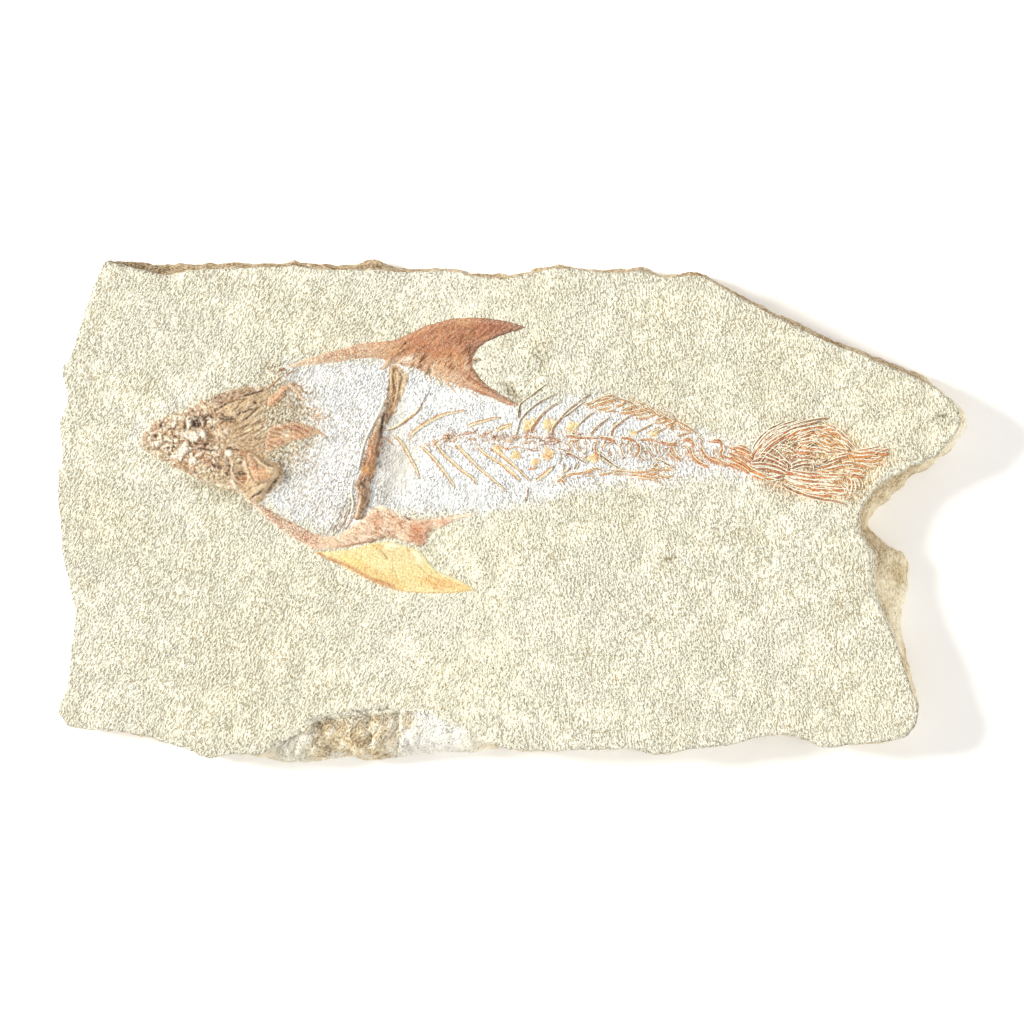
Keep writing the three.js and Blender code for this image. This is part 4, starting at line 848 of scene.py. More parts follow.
def skull_shape(x, y, gx, gy, d):
    r = lambda *a: a
    # general mound and crushed lumps
    h = 1.25 * smooth(0.2, 8.5, d) + 0.35 * smooth(0, 1.2, d)
    front = smooth(246, 205, gx)
    g1, c1 = granular(x + 1.1 * gnoise(x / 2.6, y / 2.6, 71), y + 0.9 * gnoise(x / 2.2, y / 2.2, 66), 70, 1.75)
    g2, c2 = granular(x, y, 72, 0.85)
    h = h + front * (0.62 * (g1 - 0.45) + 0.18 * (g2 - 0.5)) + 0.08 * (g2 - 0.5)
    h = h + 0.22 * fbm(x / 1.1, y / 1.1, 73, 3) * (0.5 + front)
    # long slanting fibres behind the eyes
    u, v = rot(x, y, 34)
    fib = gnoise(u / 4.2, v / 0.62, 74) + 0.5 * gnoise(u / 2.2, v / 0.36, 75)
    back = smooth(222, 250, gx) * smooth(452, 430, gy)
    h = h + back * 0.20 * fib
    # wavy contour lines on the cheek
    wave = np.sin((y * 1.5 - 0.25 * x + 1.7 * gnoise(x / 2.8, y / 2.2, 76) + 0.6 * gnoise(x / 1.1, y / 1.1, 64)) * 2.9)
    cw = blob(gx, gy, 249, 441, 26, 9, 4, 2.0)
    h = h + cw * 0.09 * wave
    # colours
    tan = lin(214, 190, 152); brown = lin(158, 122, 84); pale = lin(238, 226, 200); white = lin(252, 250, 244)
    t = np.clip(0.5 + 0.55 * fbm(x / 3.1, y / 2.6, 77, 3), 0, 1)
    col = mix(tan, brown, t * 0.75)
    col = mix(col, pale, smooth(0.30, 0.75, fbm(x / 2.0, y / 2.0, 78, 2)) * 0.8)
    clus = smooth(-0.25, 0.35, fbm(x / 3.4, y / 3.0, 65, 2) + 0.15)
    lump = front * smooth(0.35, 0.85, g1) * (c1 > 0.40) * clus
    col = mix(col, white, np.clip(lump * 0.95, 0, 1))
    seam = front * smooth(0.34, 0.05, g1)
    col = mix(col, lin(140, 100, 70), seam * 0.55)
    col = mix(col, lin(186, 146, 118), front * (c1 < 0.30) * 0.6)
    col = mix(col, lin(255, 250, 240), front * smooth(-0.05, 0.40, fbm(x / 2.6, y / 2.0, 59, 2)) * 0.80)
    col = mix(col, lin(206, 178, 138), back * 0.5)
    # painted highlight on the raised fibres behind the eyes and painted shade between them; painted shade in the
    # troughs of the wavy cheek lines
    col = mix(col, lin(255, 244, 220), back * smooth(0.10, 0.60, fib) * 0.85)
    col = mix(col, lin(116, 84, 54), back * smooth(-0.10, -0.7, fib) * 0.85)
    col = mix(col, lin(160, 130, 92), np.clip(cw * smooth(0.0, -0.9, wave), 0, 1) * 0.55)
    B = (140, 100, 62); D = (84, 54, 28); W = (255, 252, 246); T = (212, 186, 146); R = (182, 128, 84); O = (200, 148, 92)
    G = (178, 160, 126); K = (104, 72, 42)
    blobs = [
        # dark brown band of the skull roof
        (222, 398, 16, 5.5, -17, 0.35, B, 0.75), (246, 392.5, 18, 4.6, -8, 0.4, (150, 112, 72), 0.8), (232, 400, 12, 3.6, -25, 0.1, (172, 126, 84), 0.7),
        (212, 408, 8, 5, -30, 0.2, T, 0.5), (228, 408, 8, 4.2, -40, 0.35, (226, 204, 164), 0.8), (222, 413, 9, 3.6, -35, 0.15, (160, 118, 72), 0.6),
        (243, 401, 12, 4.4, -22, 0.25, (224, 200, 156), 0.75), (232, 413.5, 6.5, 3.2, -10, 0.3, (226, 206, 170), 0.8), (245, 414, 7, 4, -30, 0.3, (214, 194, 156), 0.6),
        (256, 402, 7, 6, -20, 0.15, (196, 172, 132), 0.6), (254, 415, 9, 4.2, -48, 0.35, (222, 202, 164), 0.7), (262, 396, 6, 4, 0, -0.25, (190, 168, 128), 0.7),
        # eye sockets and pits
        (197, 423.5, 5.2, 5.0, 0, -1.25, D, 0.98, 2.2), (206.5, 421.5, 3.2, 4.4, 30, -0.8, K, 0.85, 1.8), (188.5, 423, 2.2, 5.2, 0, 0.45, W, 0.95),
        # the dark sliver at the right of the tan disc beside the eye is painted shade
        (181, 425, 4.2, 4.2, 0, -0.35, (206, 178, 140), 0.9, 2.0), (185.6, 427, 1.5, 4.2, 10, -0.45, (98, 66, 40), 0.9), (174.5, 424, 1.8, 5, 8, 0.4, W, 0.9),
        (210, 431, 4.0, 6.5, 20, -0.15, (176, 134, 92), 0.8), (203.5, 434, 2.8, 4.2, -12, 0.7, W, 1.0, 2.0), (194.5, 437, 5.2, 5.2, 0, 0.75, W, 1.0, 2.2),
        (202, 441, 7, 2.4, -8, 0.15, (168, 122, 80), 0.6), (219, 434, 4.6, 4.2, -50, 0.35, (246, 234, 208), 0.85), (212, 441, 5.4, 6, 0, -0.2, (178, 144, 104), 0.7),
        (222, 427, 6.5, 3.6, -14, 0.2, (200, 160, 110), 0.7), (231, 423, 7, 3.6, 0, 0.25, (188, 150, 96), 0.75), (236, 431, 7, 5, -30, 0.1, (196, 172, 132), 0.6),
        (207, 444.5, 2.6, 2.0, 0, -0.6, K, 0.9), (184, 450, 4.0, 8.5, 28, 0.65, W, 1.0, 2.0), (176, 455, 3.2, 3.2, 0, 0.3, W, 0.85), (194, 461, 4.2, 4.0, 0, 0.6, W, 0.95, 2.0),
        (193, 448, 4.4, 3.0, 40, -0.15, (158, 112, 74), 0.8), (229.5, 453.5, 3.8, 3.4, 0, 0.55, W, 0.95, 2.0), (170, 441, 3.0, 2.4, 0, 0.35, W, 0.7),
        (156, 427, 3.4, 4.6, 0, -0.05, (172, 120, 78), 0.85), (162, 425.5, 2.0, 2.6, 0, -0.35, (108, 68, 46), 0.9), (155.5, 435.5, 3.6, 1.7, 12, -0.4, (112, 76, 48), 0.9),
        (170, 432, 6.0, 3.4, 0, 0.25, (198, 160, 116), 0.8), (176, 437, 2.0, 2.0, 0, -0.3, (120, 84, 52), 0.8), (148, 443.5, 4.0, 2.4, 10, 0.1, (176, 136, 96), 0.8),
        (157, 444.5, 2.6, 3.0, 0, 0.5, W, 0.95, 1.8), (157, 450, 4.4, 1.3, 4, -0.45, (116, 80, 48), 0.9), (163, 453.5, 5.6, 3.2, 25, 0.3, (226, 204, 162), 0.7),
        (169, 448, 1.8, 1.4, 0, -0.4, K, 0.9), (176.5, 447, 3.4, 1.6, 0, -0.4, (112, 70, 46), 0.9), (168, 442, 3.4, 1.3, 20, -0.35, (116, 76, 50), 0.85),
        (205, 457, 6.0, 5.0, 20, 0.1, (196, 150, 110), 0.75), (209, 462, 5, 3.6, 30, 0.1, (186, 134, 94), 0.75), (219, 466, 5.4, 2.8, 20, -0.35, (122, 80, 50), 0.85),
        (200, 468, 8, 2.6, -18, 0.25, (240, 226, 196), 0.7), (189, 468, 8, 4.4, 18, 0.15, (214, 176, 130), 0.7), (178, 463, 7, 3.0, 28, 0.12, (204, 166, 120), 0.7),
        (193, 472, 7, 2.2, 24, -0.05, (158, 118, 72), 0.7),
        (212, 476, 11, 6.0, 8, 0.05, (204, 188, 152), 0.85), (224, 479, 8, 5.4, 20, 0.0, (186, 170, 132), 0.8), (228, 474, 2.6, 1.8, 20, -0.4, (118, 92, 62), 0.8),
        (222, 461, 5.0, 5.0, 0, 0.2, (206, 178, 140), 0.8, 2.0), (237, 466, 5.8, 7, 0, 0.15, (196, 174, 142), 0.8), (240, 459, 2.6, 2.0, 0, 0.45, (250, 246, 232), 0.9),
        (241, 463, 3.4, 1.2, -20, -0.3, (128, 94, 64), 0.8), (245.5, 464, 2.4, 5, -10, 0.4, (246, 236, 214), 0.85),
        (242, 479.5, 7.0, 5.8, 0, -0.35, (166, 116, 72), 0.95, 2.4), (243, 474.2, 5.4, 1.3, 0, -0.5, (104, 70, 42), 0.9), (243, 486, 3.4, 3.4, 0, -0.1, (176, 128, 78), 0.85),
        (234, 484, 2.2, 5, -30, 0.4, (248, 240, 222), 0.85), (233, 471, 1.8, 6, -22, -0.15, (112, 78, 50), 0.7), (226, 487, 10, 2.4, 8, 0.25, (242, 234, 212), 0.6),
        # the arched jaw bone and its orange end
        (253, 468, 4.6, 11, -20, 0.55, (190, 132, 78), 0.95, 1.8), (264, 474, 9, 6.2, 8, 0.5, (226, 170, 116), 0.95, 1.8), (259, 480, 6, 3.0, 10, 0.1, (206, 140, 88), 0.7),
        (258, 461, 3.2, 5, -30, 0.2, (214, 174, 122), 0.8), (271, 471, 4.6, 3.6, 0, 0.3, (246, 224, 186), 0.75), (275, 474, 3.4, 5, 0, 0.2, (222, 192, 148), 0.6),
        (252, 486, 8, 4.4, -10, 0.15, (222, 200, 158), 0.7), (262, 487, 9, 3.2, -30, 0.35, (240, 226, 194), 0.7), (255, 494, 8, 3.2, -36, 0.3, (232, 214, 178), 0.6),
        (247, 497, 5, 4, 0, -0.1, (206, 180, 140), 0.6), (278, 483, 2.8, 3.4, 20, -0.3, (150, 116, 80), 0.9),
    ]
    strokes = [
        ([(240, 397.5), (250, 394.5), (259, 392), (268, 389)], 1.1, -0.5, D, 0.9), ([(205, 402), (214, 399), (224, 394)], 1.2, -0.2, (120, 84, 50), 0.6),
        ([(222, 406), (230, 402.5), (240, 399.5), (249, 399)], 1.0, -0.35, (118, 82, 48), 0.7), ([(213, 413), (220, 409), (229, 402)], 1.0, -0.3, (124, 86, 50), 0.65),
        ([(203, 420), (206, 417), (211, 416), (215, 419)], 1.2, -0.5, K, 0.9), ([(188, 421), (191, 418), (196, 417), (201, 418.5), (205, 415.5), (207, 414)], 0.9, -0.35, K, 0.85),
        ([(220, 417), (223, 414.5), (225, 417), (232, 417.5)], 0.9, -0.35, K, 0.8), ([(220, 418), (226, 419.6), (233, 419), (237, 421)], 1.2, -0.55, D, 0.95),
        ([(240, 413), (245, 412), (250, 409.5), (255, 409)], 1.0, -0.45, D, 0.9), ([(236, 419), (240, 414), (241, 410)], 0.9, -0.35, K, 0.8),
        ([(242, 420.5), (247, 418.5), (252, 414), (257, 409), (261, 406)], 1.1, -0.45, K, 0.85), ([(254, 402), (257, 403.5)], 1.4, -0.5, D, 0.9),
        ([(236, 410), (240, 404), (247, 399)], 0.8, -0.3, (140, 104, 66), 0.6), ([(228, 411), (234, 408), (238, 404)], 0.8, 0.3, (236, 216, 178), 0.6),
        ([(220, 424), (226, 421.5), (233, 422), (238, 424)], 0.9, -0.35, K, 0.7), ([(215, 452), (213, 446), (219, 441)], 0.9, -0.25, (150, 112, 74), 0.6),
        ([(197, 449.5), (201, 448), (206, 449.5), (211, 450.5), (219, 450)], 1.1, -0.5, K, 0.9), ([(226, 449.5), (230, 448), (235, 449.2), (241, 451)], 1.2, -0.45, D, 0.9),
        ([(189, 444), (193, 442.5), (199, 444), (206, 444)], 1.0, -0.4, (128, 86, 54), 0.8), ([(217, 460), (219, 457), (222, 455), (226, 459), (229, 465)], 1.5, 0.25, (128, 86, 52), 0.9),
        ([(229, 463), (230, 468), (229.5, 472)], 1.1, -0.45, K, 0.8), ([(213, 464), (219, 468), (226, 469)], 1.4, -0.3, (120, 80, 48), 0.8),
        ([(238, 473), (242, 471.5), (246, 473)], 0.9, -0.35, K, 0.7), ([(236, 460), (238, 458), (242, 458), (245, 460)], 0.7, -0.3, (128, 96, 64), 0.7),
        ([(229, 456), (233, 462), (232, 470), (236, 480), (242, 484)], 1.0, 0.35, (246, 236, 214), 0.75),
        ([(238, 452), (246, 454), (252, 459), (256, 465)], 2.6, 0.4, (180, 124, 76), 0.9), ([(247, 456), (249, 463), (251, 472), (254, 479)], 1.0, -0.3, (120, 82, 48), 0.6),
        ([(256, 457), (261, 463), (268, 467), (277, 469)], 1.2, 0.35, (246, 232, 200), 0.75), ([(246, 484), (249, 478), (248, 470)], 1.0, 0.25, (240, 226, 194), 0.7),
        ([(250, 499.5), (254, 496), (259, 493.5), (263, 489)], 1.2, -0.5, (124, 86, 52), 0.85), ([(266, 493), (270, 490), (273, 485), (276, 480), (279, 478)], 1.5, -0.8, (92, 62, 34), 0.95),
        ([(248, 491), (252, 487), (256, 486)], 0.9, -0.3, (150, 116, 74), 0.6), ([(256, 487), (262, 482), (270, 480)], 0.9, -0.25, (178, 140, 92), 0.6),
        ([(166, 460), (176, 466), (188, 472), (199, 478), (204, 481)], 1.2, 0.12, (176, 136, 90), 0.6), ([(152, 451), (158, 456), (165, 459)], 1.0, 0.1, (190, 152, 108), 0.6),
        ([(159, 418), (162, 424), (165, 420)], 0.9, -0.2, (160, 116, 78), 0.6), ([(166, 427), (171, 429.5), (177, 428)], 1.0, -0.35, K, 0.75), ([(150, 431), (153, 427), (152, 422)], 1.0, 0.15, (190, 150, 108), 0.7),
        ([(196, 397), (193, 404), (198, 407)], 0.8, 0.12, (216, 196, 158), 0.6), ([(232, 437), (236, 431), (244, 427), (254, 424)], 0.8, -0.2, (166, 132, 92), 0.5),
    ]
    h, col = paint(gx, gy, h, col, blobs, strokes)
    # fine surface, and the crushed rim that breaks up into the stone
    f = fbm(x / 0.55, y / 0.55, 79, 2)
    h = h + 0.09 * f
    col = col * (1.04 + 0.16 * f)[:, None]
    gap = smooth(0.05, 0.45, gnoise(x / 1.3, y / 1.3, 60)) * smooth(2.6, 0.3, d)
    h = h - gap * 0.9
    col = mix(col, lin(255, 250, 236), gap * 0.8)
    fl = smooth(0.30, 0.60, gnoise(x / 0.8, y / 0.8, 61) + 0.4 * fbm(x / 4.0, y / 4.0, 62, 2))
    rimw = smooth(2.2, 0.2, d) * 0.5
    col = mix(col, lin(255, 250, 236), fl * np.clip(0.30 + 0.60 * front + rimw - 0.3 * blob(gx, gy, 228, 400, 26, 8, -18), 0, 1))
    dk = smooth(0.15, 0.55, gnoise(x / 0.9, y / 0.75, 68) + 0.3 * fbm(x / 4.0, y / 3.0, 69, 2))
    col = mix(col, lin(112, 80, 52), dk * (0.16 + 0.14 * front + 0.35 * blob(gx, gy, 228, 400, 30, 10, -18)))
    h = h - 0.08 * dk * front + 0.12 * fl * front
    return h, col


# ==================================================================== fin plates
def upper_fin_shape(x, y, gx, gy, d):
    u, v = rot(x, y, 38)
    fib = gnoise(u / 3.6, v / 0.55, 81) * 0.6 + gnoise(u / 1.9, v / 0.34, 82) * 0.4
    g, c = granular(x, y, 83, 0.72)
    left = smooth(400, 345, gx)
    mid = blob(gx, gy, 455, 345, 70, 26, -8, 1.5)
    h = 0.62 * smooth(0, 1.4, d) + 0.25 * mid + 0.11 * fib * (1 - left) + 0.28 * left * (g - 0.4) + 0.12 * fbm(x / 3.0, y / 3.0, 84, 2)
    t = np.clip(0.5 + 0.6 * fbm(x / 4.2, y / 3.0, 85, 3) + 0.25 * fib, 0, 1)
    col = mix(lin(206, 150, 112), lin(172, 108, 76), t)
    col = mix(col, lin(198, 140, 88), smooth(0.1, 0.8, gnoise(u / 6.0, v / 2.4, 86)) * 0.7)
    blobs = [
        (500, 327, 26, 9, 6, 0.1, (168, 104, 74), 0.75), (520, 327, 9, 4, 4, 0.05, (150, 88, 62), 0.7), (467, 352, 6, 12, 24, 0.05, (140, 84, 48), 0.85),
        (474, 341, 9, 4, -38, 0.1, (156, 92, 60), 0.7), (450, 330, 8, 9, 30, 0.0, (166, 108, 72), 0.6), (428, 349, 4.5, 9, 8, -0.05, (176, 112, 72), 0.7),
        (414, 339, 10, 8, -30, 0.1, (186, 124, 92), 0.6), (470, 333, 5, 9, 20, 0.0, (158, 108, 62), 0.6), (440, 338, 14, 6, -20, 0.05, (198, 138, 98), 0.6),
        (462, 322, 10, 5, 0, 0.0, (206, 156, 108), 0.7), (455, 360, 16, 9, 20, 0.0, (208, 150, 96), 0.75), (440, 368, 12, 7, 30, -0.05, (224, 178, 130), 0.75),
        (420, 358, 10, 6, -10, -0.05, (214, 176, 136), 0.6), (408, 359, 9, 3.6, -18, -0.1, (250, 240, 226), 0.9), (405, 350, 10, 4, -30, 0.05, (196, 138, 88), 0.7),
        (432, 373, 6, 4, 40, -0.05, (236, 206, 170), 0.7), (450, 375, 12, 4, 34, -0.05, (226, 186, 150), 0.6), (477, 383, 10, 4, 40, 0.0, (200, 146, 108), 0.5),
        (468, 366, 5, 6, 60, 0.05, (206, 150, 118), 0.6), (388, 348, 18, 8, -14, 0.0, (216, 178, 138), 0.65), (370, 350, 16, 6, -6, 0.0, (224, 196, 164), 0.7),
        (347, 352, 10, 6, -25, 0.1, (206, 150, 112), 0.6), (322, 355, 18, 5, -20, 0.0, (222, 196, 168), 0.65), (300, 361, 12, 3, -12, 0.0, (240, 228, 208), 0.8),
        (386, 366, 8, 4, -40, 0.0, (172, 128, 90), 0.6),
    ]
    strokes = [
        ([(474, 352), (480, 346), (490, 340), (502, 335), (516, 331), (526, 328)], 1.3, -0.1, (118, 68, 40), 0.9),
        ([(471, 366), (475, 374), (481, 381), (490, 388), (502, 395), (512, 401), (518, 405)], 1.5, 0.1, (136, 88, 58), 0.85),
        ([(450, 372), (462, 378), (474, 386), (486, 392), (500, 399), (512, 405)], 1.2, 0.1, (196, 144, 96), 0.7),
        ([(464, 372), (472, 379), (484, 387), (498, 394)], 0.9, -0.15, (150, 100, 66), 0.7), ([(460, 376), (470, 384), (482, 391)], 0.9, -0.1, (240, 214, 184), 0.6),
        ([(380, 371), (386, 366), (392, 360), (399, 354), (408, 348)], 1.6, 0.05, (124, 82, 50), 0.8), ([(398, 357), (408, 352), (420, 348)], 1.2, 0.05, (206, 150, 100), 0.7),
        ([(418, 366), (421, 367.5)], 1.8, -0.2, (122, 80, 46), 0.9), ([(394, 362), (400, 364), (410, 363), (418, 366)], 0.9, 0.0, (190, 150, 112), 0.6),
        ([(415, 330), (428, 324), (442, 321), (456, 318.5)], 1.3, 0.1, (176, 116, 88), 0.7), ([(482, 320), (496, 319), (508, 322)], 1.0, 0.0, (140, 88, 62), 0.6),
        ([(341, 361), (350, 355), (357, 347)], 1.6, 0.1, (198, 136, 92), 0.7), ([(292, 366), (310, 364.5), (325, 363), (340, 360)], 0.8, -0.05, (178, 152, 120), 0.7),
        ([(355, 352), (370, 356), (392, 354)], 1.0, 0.0, (226, 200, 168), 0.5),
    ]
    h, col = paint(gx, gy, h, col, blobs, strokes)
    grain = left * (1 - g)
    col = mix(col, lin(184, 120, 84), np.clip(grain * 0.85, 0, 1))
    col = mix(col, lin(246, 232, 212), left * smooth(0.5, 0.9, g) * 0.55)
    f = fbm(x / 0.45, y / 0.45, 87, 2)
    col = col * (0.97 + 0.14 * f + 0.34 * fib)[:, None] * mix(np.ones(3), np.array([0.86, 0.80, 0.76]), smooth(478, 512, gx))
    u2, v2 = rot(x, y, 66)
    fb2 = gnoise(u2 / 3.2, v2 / 0.42, 88)
    low = smooth(352, 366, gy) * smooth(478, 462, gx)
    feather = low * smooth(0.15, -0.30, fb2 - 0.45 * smooth(4.2, 0.0, d) + 0.18)
    tail_f = smooth(480, 500, gx) * smooth(366, 380, gy) * smooth(0.05, -0.35, fib - 0.1)
    arm = left * smooth(-0.02, -0.40, fbm(x / 1.3, y / 0.9, 89, 2) - 0.05) + left * smooth(1.1, 0.2, d) * smooth(-0.1, 0.3, gnoise(x / 0.9, y / 0.9, 80))
    gone = np.clip(np.maximum(np.maximum(feather, tail_f * 0.7), arm), 0, 1)
    h = h - gone * 0.20
    col = mix(col, lin(253, 240, 218), gone * (0.62 + 0.2 * left))
    col = mix(col, lin(128, 78, 50), smooth(0.5, 0.1, d) * smooth(350, 338, gy) * smooth(395, 430, gx) * 0.6)
    return h + 0.05 * f + 0.05 * fib, col


def lower_fin_shape(x, y, gx, gy, d):
    u, v = rot(x, y, -28)
    fib = gnoise(u / 3.0, v / 0.5, 91) * 0.6 + gnoise(u / 1.4, v / 0.32, 92) * 0.4
    g, c = granular(x, y, 93, 0.68)
    left = smooth(330, 300, gx)
    h = 0.55 * smooth(0, 1.1, d) + 0.10 * fib + 0.30 * left * (g - 0.4) + 0.12 * fbm(x / 2.5, y / 2.5, 94, 2)
    t = np.clip(0.5 + 0.7 * fbm(x / 2.8, y / 2.2, 95, 3) + 0.2 * fib, 0, 1)
    col = mix(lin(244, 230, 214), lin(220, 186, 162), t)
    blobs = [
        (286, 525, 26, 8, 34, 0.0, (222, 196, 174), 0.8), (308, 537, 10, 8, 30, 0.05, (190, 132, 100), 0.8), (268, 513, 9, 5, 35, 0.05, (200, 148, 112), 0.7),
        (330, 541, 14, 5, -4, 0.0, (236, 202, 172), 0.8), (350, 532, 12, 5, -20, 0.0, (234, 200, 168), 0.6), (375, 520, 8, 8, 0, 0.05, (214, 160, 124), 0.7),
        (376, 540, 14, 4, -20, 0.1, (156, 104, 64), 0.8), (418, 530, 10, 10, 0, 0.1, (204, 142, 100), 0.8), (414, 536, 5, 7, 20, 0.05, (184, 122, 78), 0.8),
        (421, 542, 6, 4, 30, 0.1, (184, 116, 78), 0.85), (440, 521, 12, 5, -8, 0.0, (224, 182, 154), 0.7), (396, 524, 12, 7, 40, 0.0, (226, 186, 156), 0.6),
        (425, 518, 10, 3, 0, 0.0, (216, 184, 146), 0.6), (402, 514, 8, 4, 40, -0.05, (240, 226, 210), 0.6), (362, 522, 7, 5, -30, 0.0, (238, 216, 196), 0.6),
    ]
    strokes = [
        ([(250, 500), (262, 508), (276, 517), (290, 523), (302, 528), (312, 536)], 1.1, 0.05, (150, 100, 70), 0.7), ([(288, 521), (294, 526)], 1.2, -0.1, (138, 96, 64), 0.8),
        ([(300, 526), (306, 531), (310, 536)], 1.6, 0.0, (176, 116, 84), 0.8), ([(338, 548), (346, 546), (354, 544), (362, 543), (370, 541)], 1.3, 0.1, (158, 106, 62), 0.85),
        ([(368, 542), (374, 540.5), (380, 538), (385, 536)], 1.9, 0.15, (112, 72, 38), 0.9), ([(398, 539), (402, 541)], 1.9, 0.1, (118, 74, 40), 0.9), ([(390, 536), (396, 538)], 1.2, 0.1, (146, 94, 56), 0.8),
        ([(416, 545), (420, 547), (424, 544)], 1.3, 0.1, (136, 84, 48), 0.8), ([(425, 536), (428, 530), (430, 527)], 1.5, 0.0, (150, 98, 60), 0.75),
        ([(374, 518), (376, 526), (378, 532)], 1.6, -0.1, (176, 118, 80), 0.7), ([(388, 508), (390, 514), (396, 520), (406, 528)], 0.9, 0.1, (196, 146, 116), 0.7),
        ([(392, 516), (402, 522), (412, 526), (420, 528)], 0.9, 0.05, (206, 156, 120), 0.6), ([(382, 526), (390, 532), (398, 538)], 0.9, 0.05, (246, 222, 196), 0.6),
        ([(440, 526), (444, 529), (442, 533)], 1.1, 0.1, (150, 110, 78), 0.6), ([(446, 517), (456, 514.5), (462, 513)], 1.1, 0.1, (168, 128, 94), 0.7), ([(470, 514.5), (478, 512.5), (486, 509.5)], 0.9, 0.1, (150, 132, 110), 0.7),
        ([(436, 520), (444, 523), (452, 521)], 1.5, 0.05, (206, 148, 120), 0.7), ([(408, 520), (418, 519.5), (430, 519)], 0.7, 0.0, (190, 150, 118), 0.6),
    ]
    h, col = paint(gx, gy, h, col, blobs, strokes)
    col = mix(col, lin(170, 112, 84), np.clip(left * (1 - g) * 0.8, 0, 1))
    col = mix(col, lin(248, 236, 222), left * smooth(0.5, 0.9, g) * 0.6)
    f = fbm(x / 0.45, y / 0.45, 97, 2)
    col = col * (1.14 + 0.16 * f + 0.22 * fib)[:, None]
    n3 = fbm(x / 1.5, y / 1.1, 98, 3)
    upm = smooth(534, 510, gy + 0.0 * gx) * smooth(330, 350, gx)
    gone = smooth(0.0, 0.40, n3 + 0.40 * smooth(1.6, 0.0, d) + 0.25 * upm - 0.16 + 0.20 * left * smooth(0.1, 0.6, gnoise(x / 0.8, y / 0.8, 99)))
    gone = gone * (0.70 + 0.30 * smooth(310, 260, gx))
    h = h - gone * 0.16
    col = mix(col, lin(255, 246, 234), gone * 0.85)
    red = smooth(0.10, 0.40, fbm(x / 2.0, y / 1.3, 90, 3) - 0.2 * left) * smooth(325, 350, gx)
    col = mix(col, lin(166, 110, 82), red * 0.62)
    return h + 0.05 * f + 0.08 * fib, col


def pelvic_shape(x, y, gx, gy, d):
    u, v = rot(x, y, -30)
    fib = gnoise(u / 4.0, v / 0.7, 101) * 0.6 + gnoise(u / 2.0, v / 0.4, 102) * 0.4
    h = 0.30 * smooth(0, 0.8, d) + 0.28 * smooth(0, 5.0, d) + 0.05 * fib + 0.10 * fbm(x / 3.5, y / 3.0, 103, 2)
    t = np.clip(0.5 + 0.6 * fbm(x / 5.0, y / 4.0, 104, 3), 0, 1)
    col = mix(lin(252, 240, 190), lin(250, 226, 164), t)
    blobs = [
        (440, 583, 26, 6, 6, 0.0, (240, 204, 142), 0.85), (462, 588, 12, 3.4, 2, 0.0, (246, 212, 150), 0.8), (385, 578, 30, 5, 22, 0.0, (240, 210, 144), 0.6),
        (352, 562, 18, 5, 26, 0.0, (252, 232, 160), 0.7), (400, 556, 22, 8, 10, 0.05, (244, 228, 184), 0.6), (330, 552, 12, 3, 8, 0.0, (254, 244, 196), 0.6),
        (418, 556, 4, 10, -30, 0.1, (255, 248, 222), 0.8), (392, 546, 8, 4, 0, 0.1, (255, 250, 228), 0.7), (376, 546, 5, 4, 0, 0.0, (240, 206, 140), 0.7),
        (375, 572, 3, 2, 0, 0.0, (206, 170, 110), 0.5), (436, 588, 3, 1.6, 0, -0.1, (206, 150, 86), 0.7), (366, 568, 3, 1.6, 0, -0.1, (214, 166, 96), 0.6),
    ]
    strokes = [
        ([(316, 552), (323, 558), (333, 561), (345, 564.5), (357, 571), (369, 578), (381, 583), (393, 587), (403, 591)], 1.7, 0.22, (196, 138, 84), 0.95),
        ([(317, 551), (321, 555), (326, 557.5)], 1.9, 0.1, (186, 126, 66), 0.9), ([(328, 558), (336, 561)], 1.6, 0.1, (176, 114, 62), 0.8), ([(376, 580), (386, 583), (392, 586)], 1.5, 0.1, (186, 130, 76), 0.8),
        ([(403, 591), (415, 592.5), (430, 592.5), (448, 592), (464, 591)], 1.0, 0.1, (236, 200, 134), 0.7),
        ([(382, 552), (386, 556), (388, 560)], 0.9, -0.15, (168, 140, 88), 0.8), ([(372, 544), (378, 549), (385, 553)], 0.8, -0.1, (206, 172, 112), 0.6), ([(384, 545), (380, 550)], 0.9, -0.1, (220, 182, 116), 0.6),
        ([(406, 545), (408, 549), (409, 553)], 0.9, -0.12, (206, 170, 108), 0.7), ([(392, 562), (394, 570), (397, 577), (399, 584)], 0.8, -0.1, (200, 172, 112), 0.6),
        ([(418, 566), (428, 575), (440, 581), (452, 583)], 0.8, -0.06, (222, 180, 112), 0.6), ([(424, 578), (434, 584), (448, 587)], 0.8, -0.06, (216, 168, 100), 0.6),
        ([(352, 556), (362, 563), (374, 570)], 0.7, -0.05, (230, 196, 124), 0.6), ([(424, 555), (432, 567), (444, 575), (458, 581), (470, 586)], 1.0, 0.14, (255, 246, 214), 0.8),
    ]
    h, col = paint(gx, gy, h, col, blobs, strokes)
    f = fbm(x / 0.5, y / 0.5, 107, 2)
    col = col * (1.04 + 0.10 * f + 0.10 * fib)[:, None]
    pk = smooth(0.25, 0.6, gnoise(x / 0.62, y / 0.62, 108))
    col = mix(col, lin(226, 186, 120), pk * 0.40)
    return h + 0.06 * f - 0.05 * pk, col


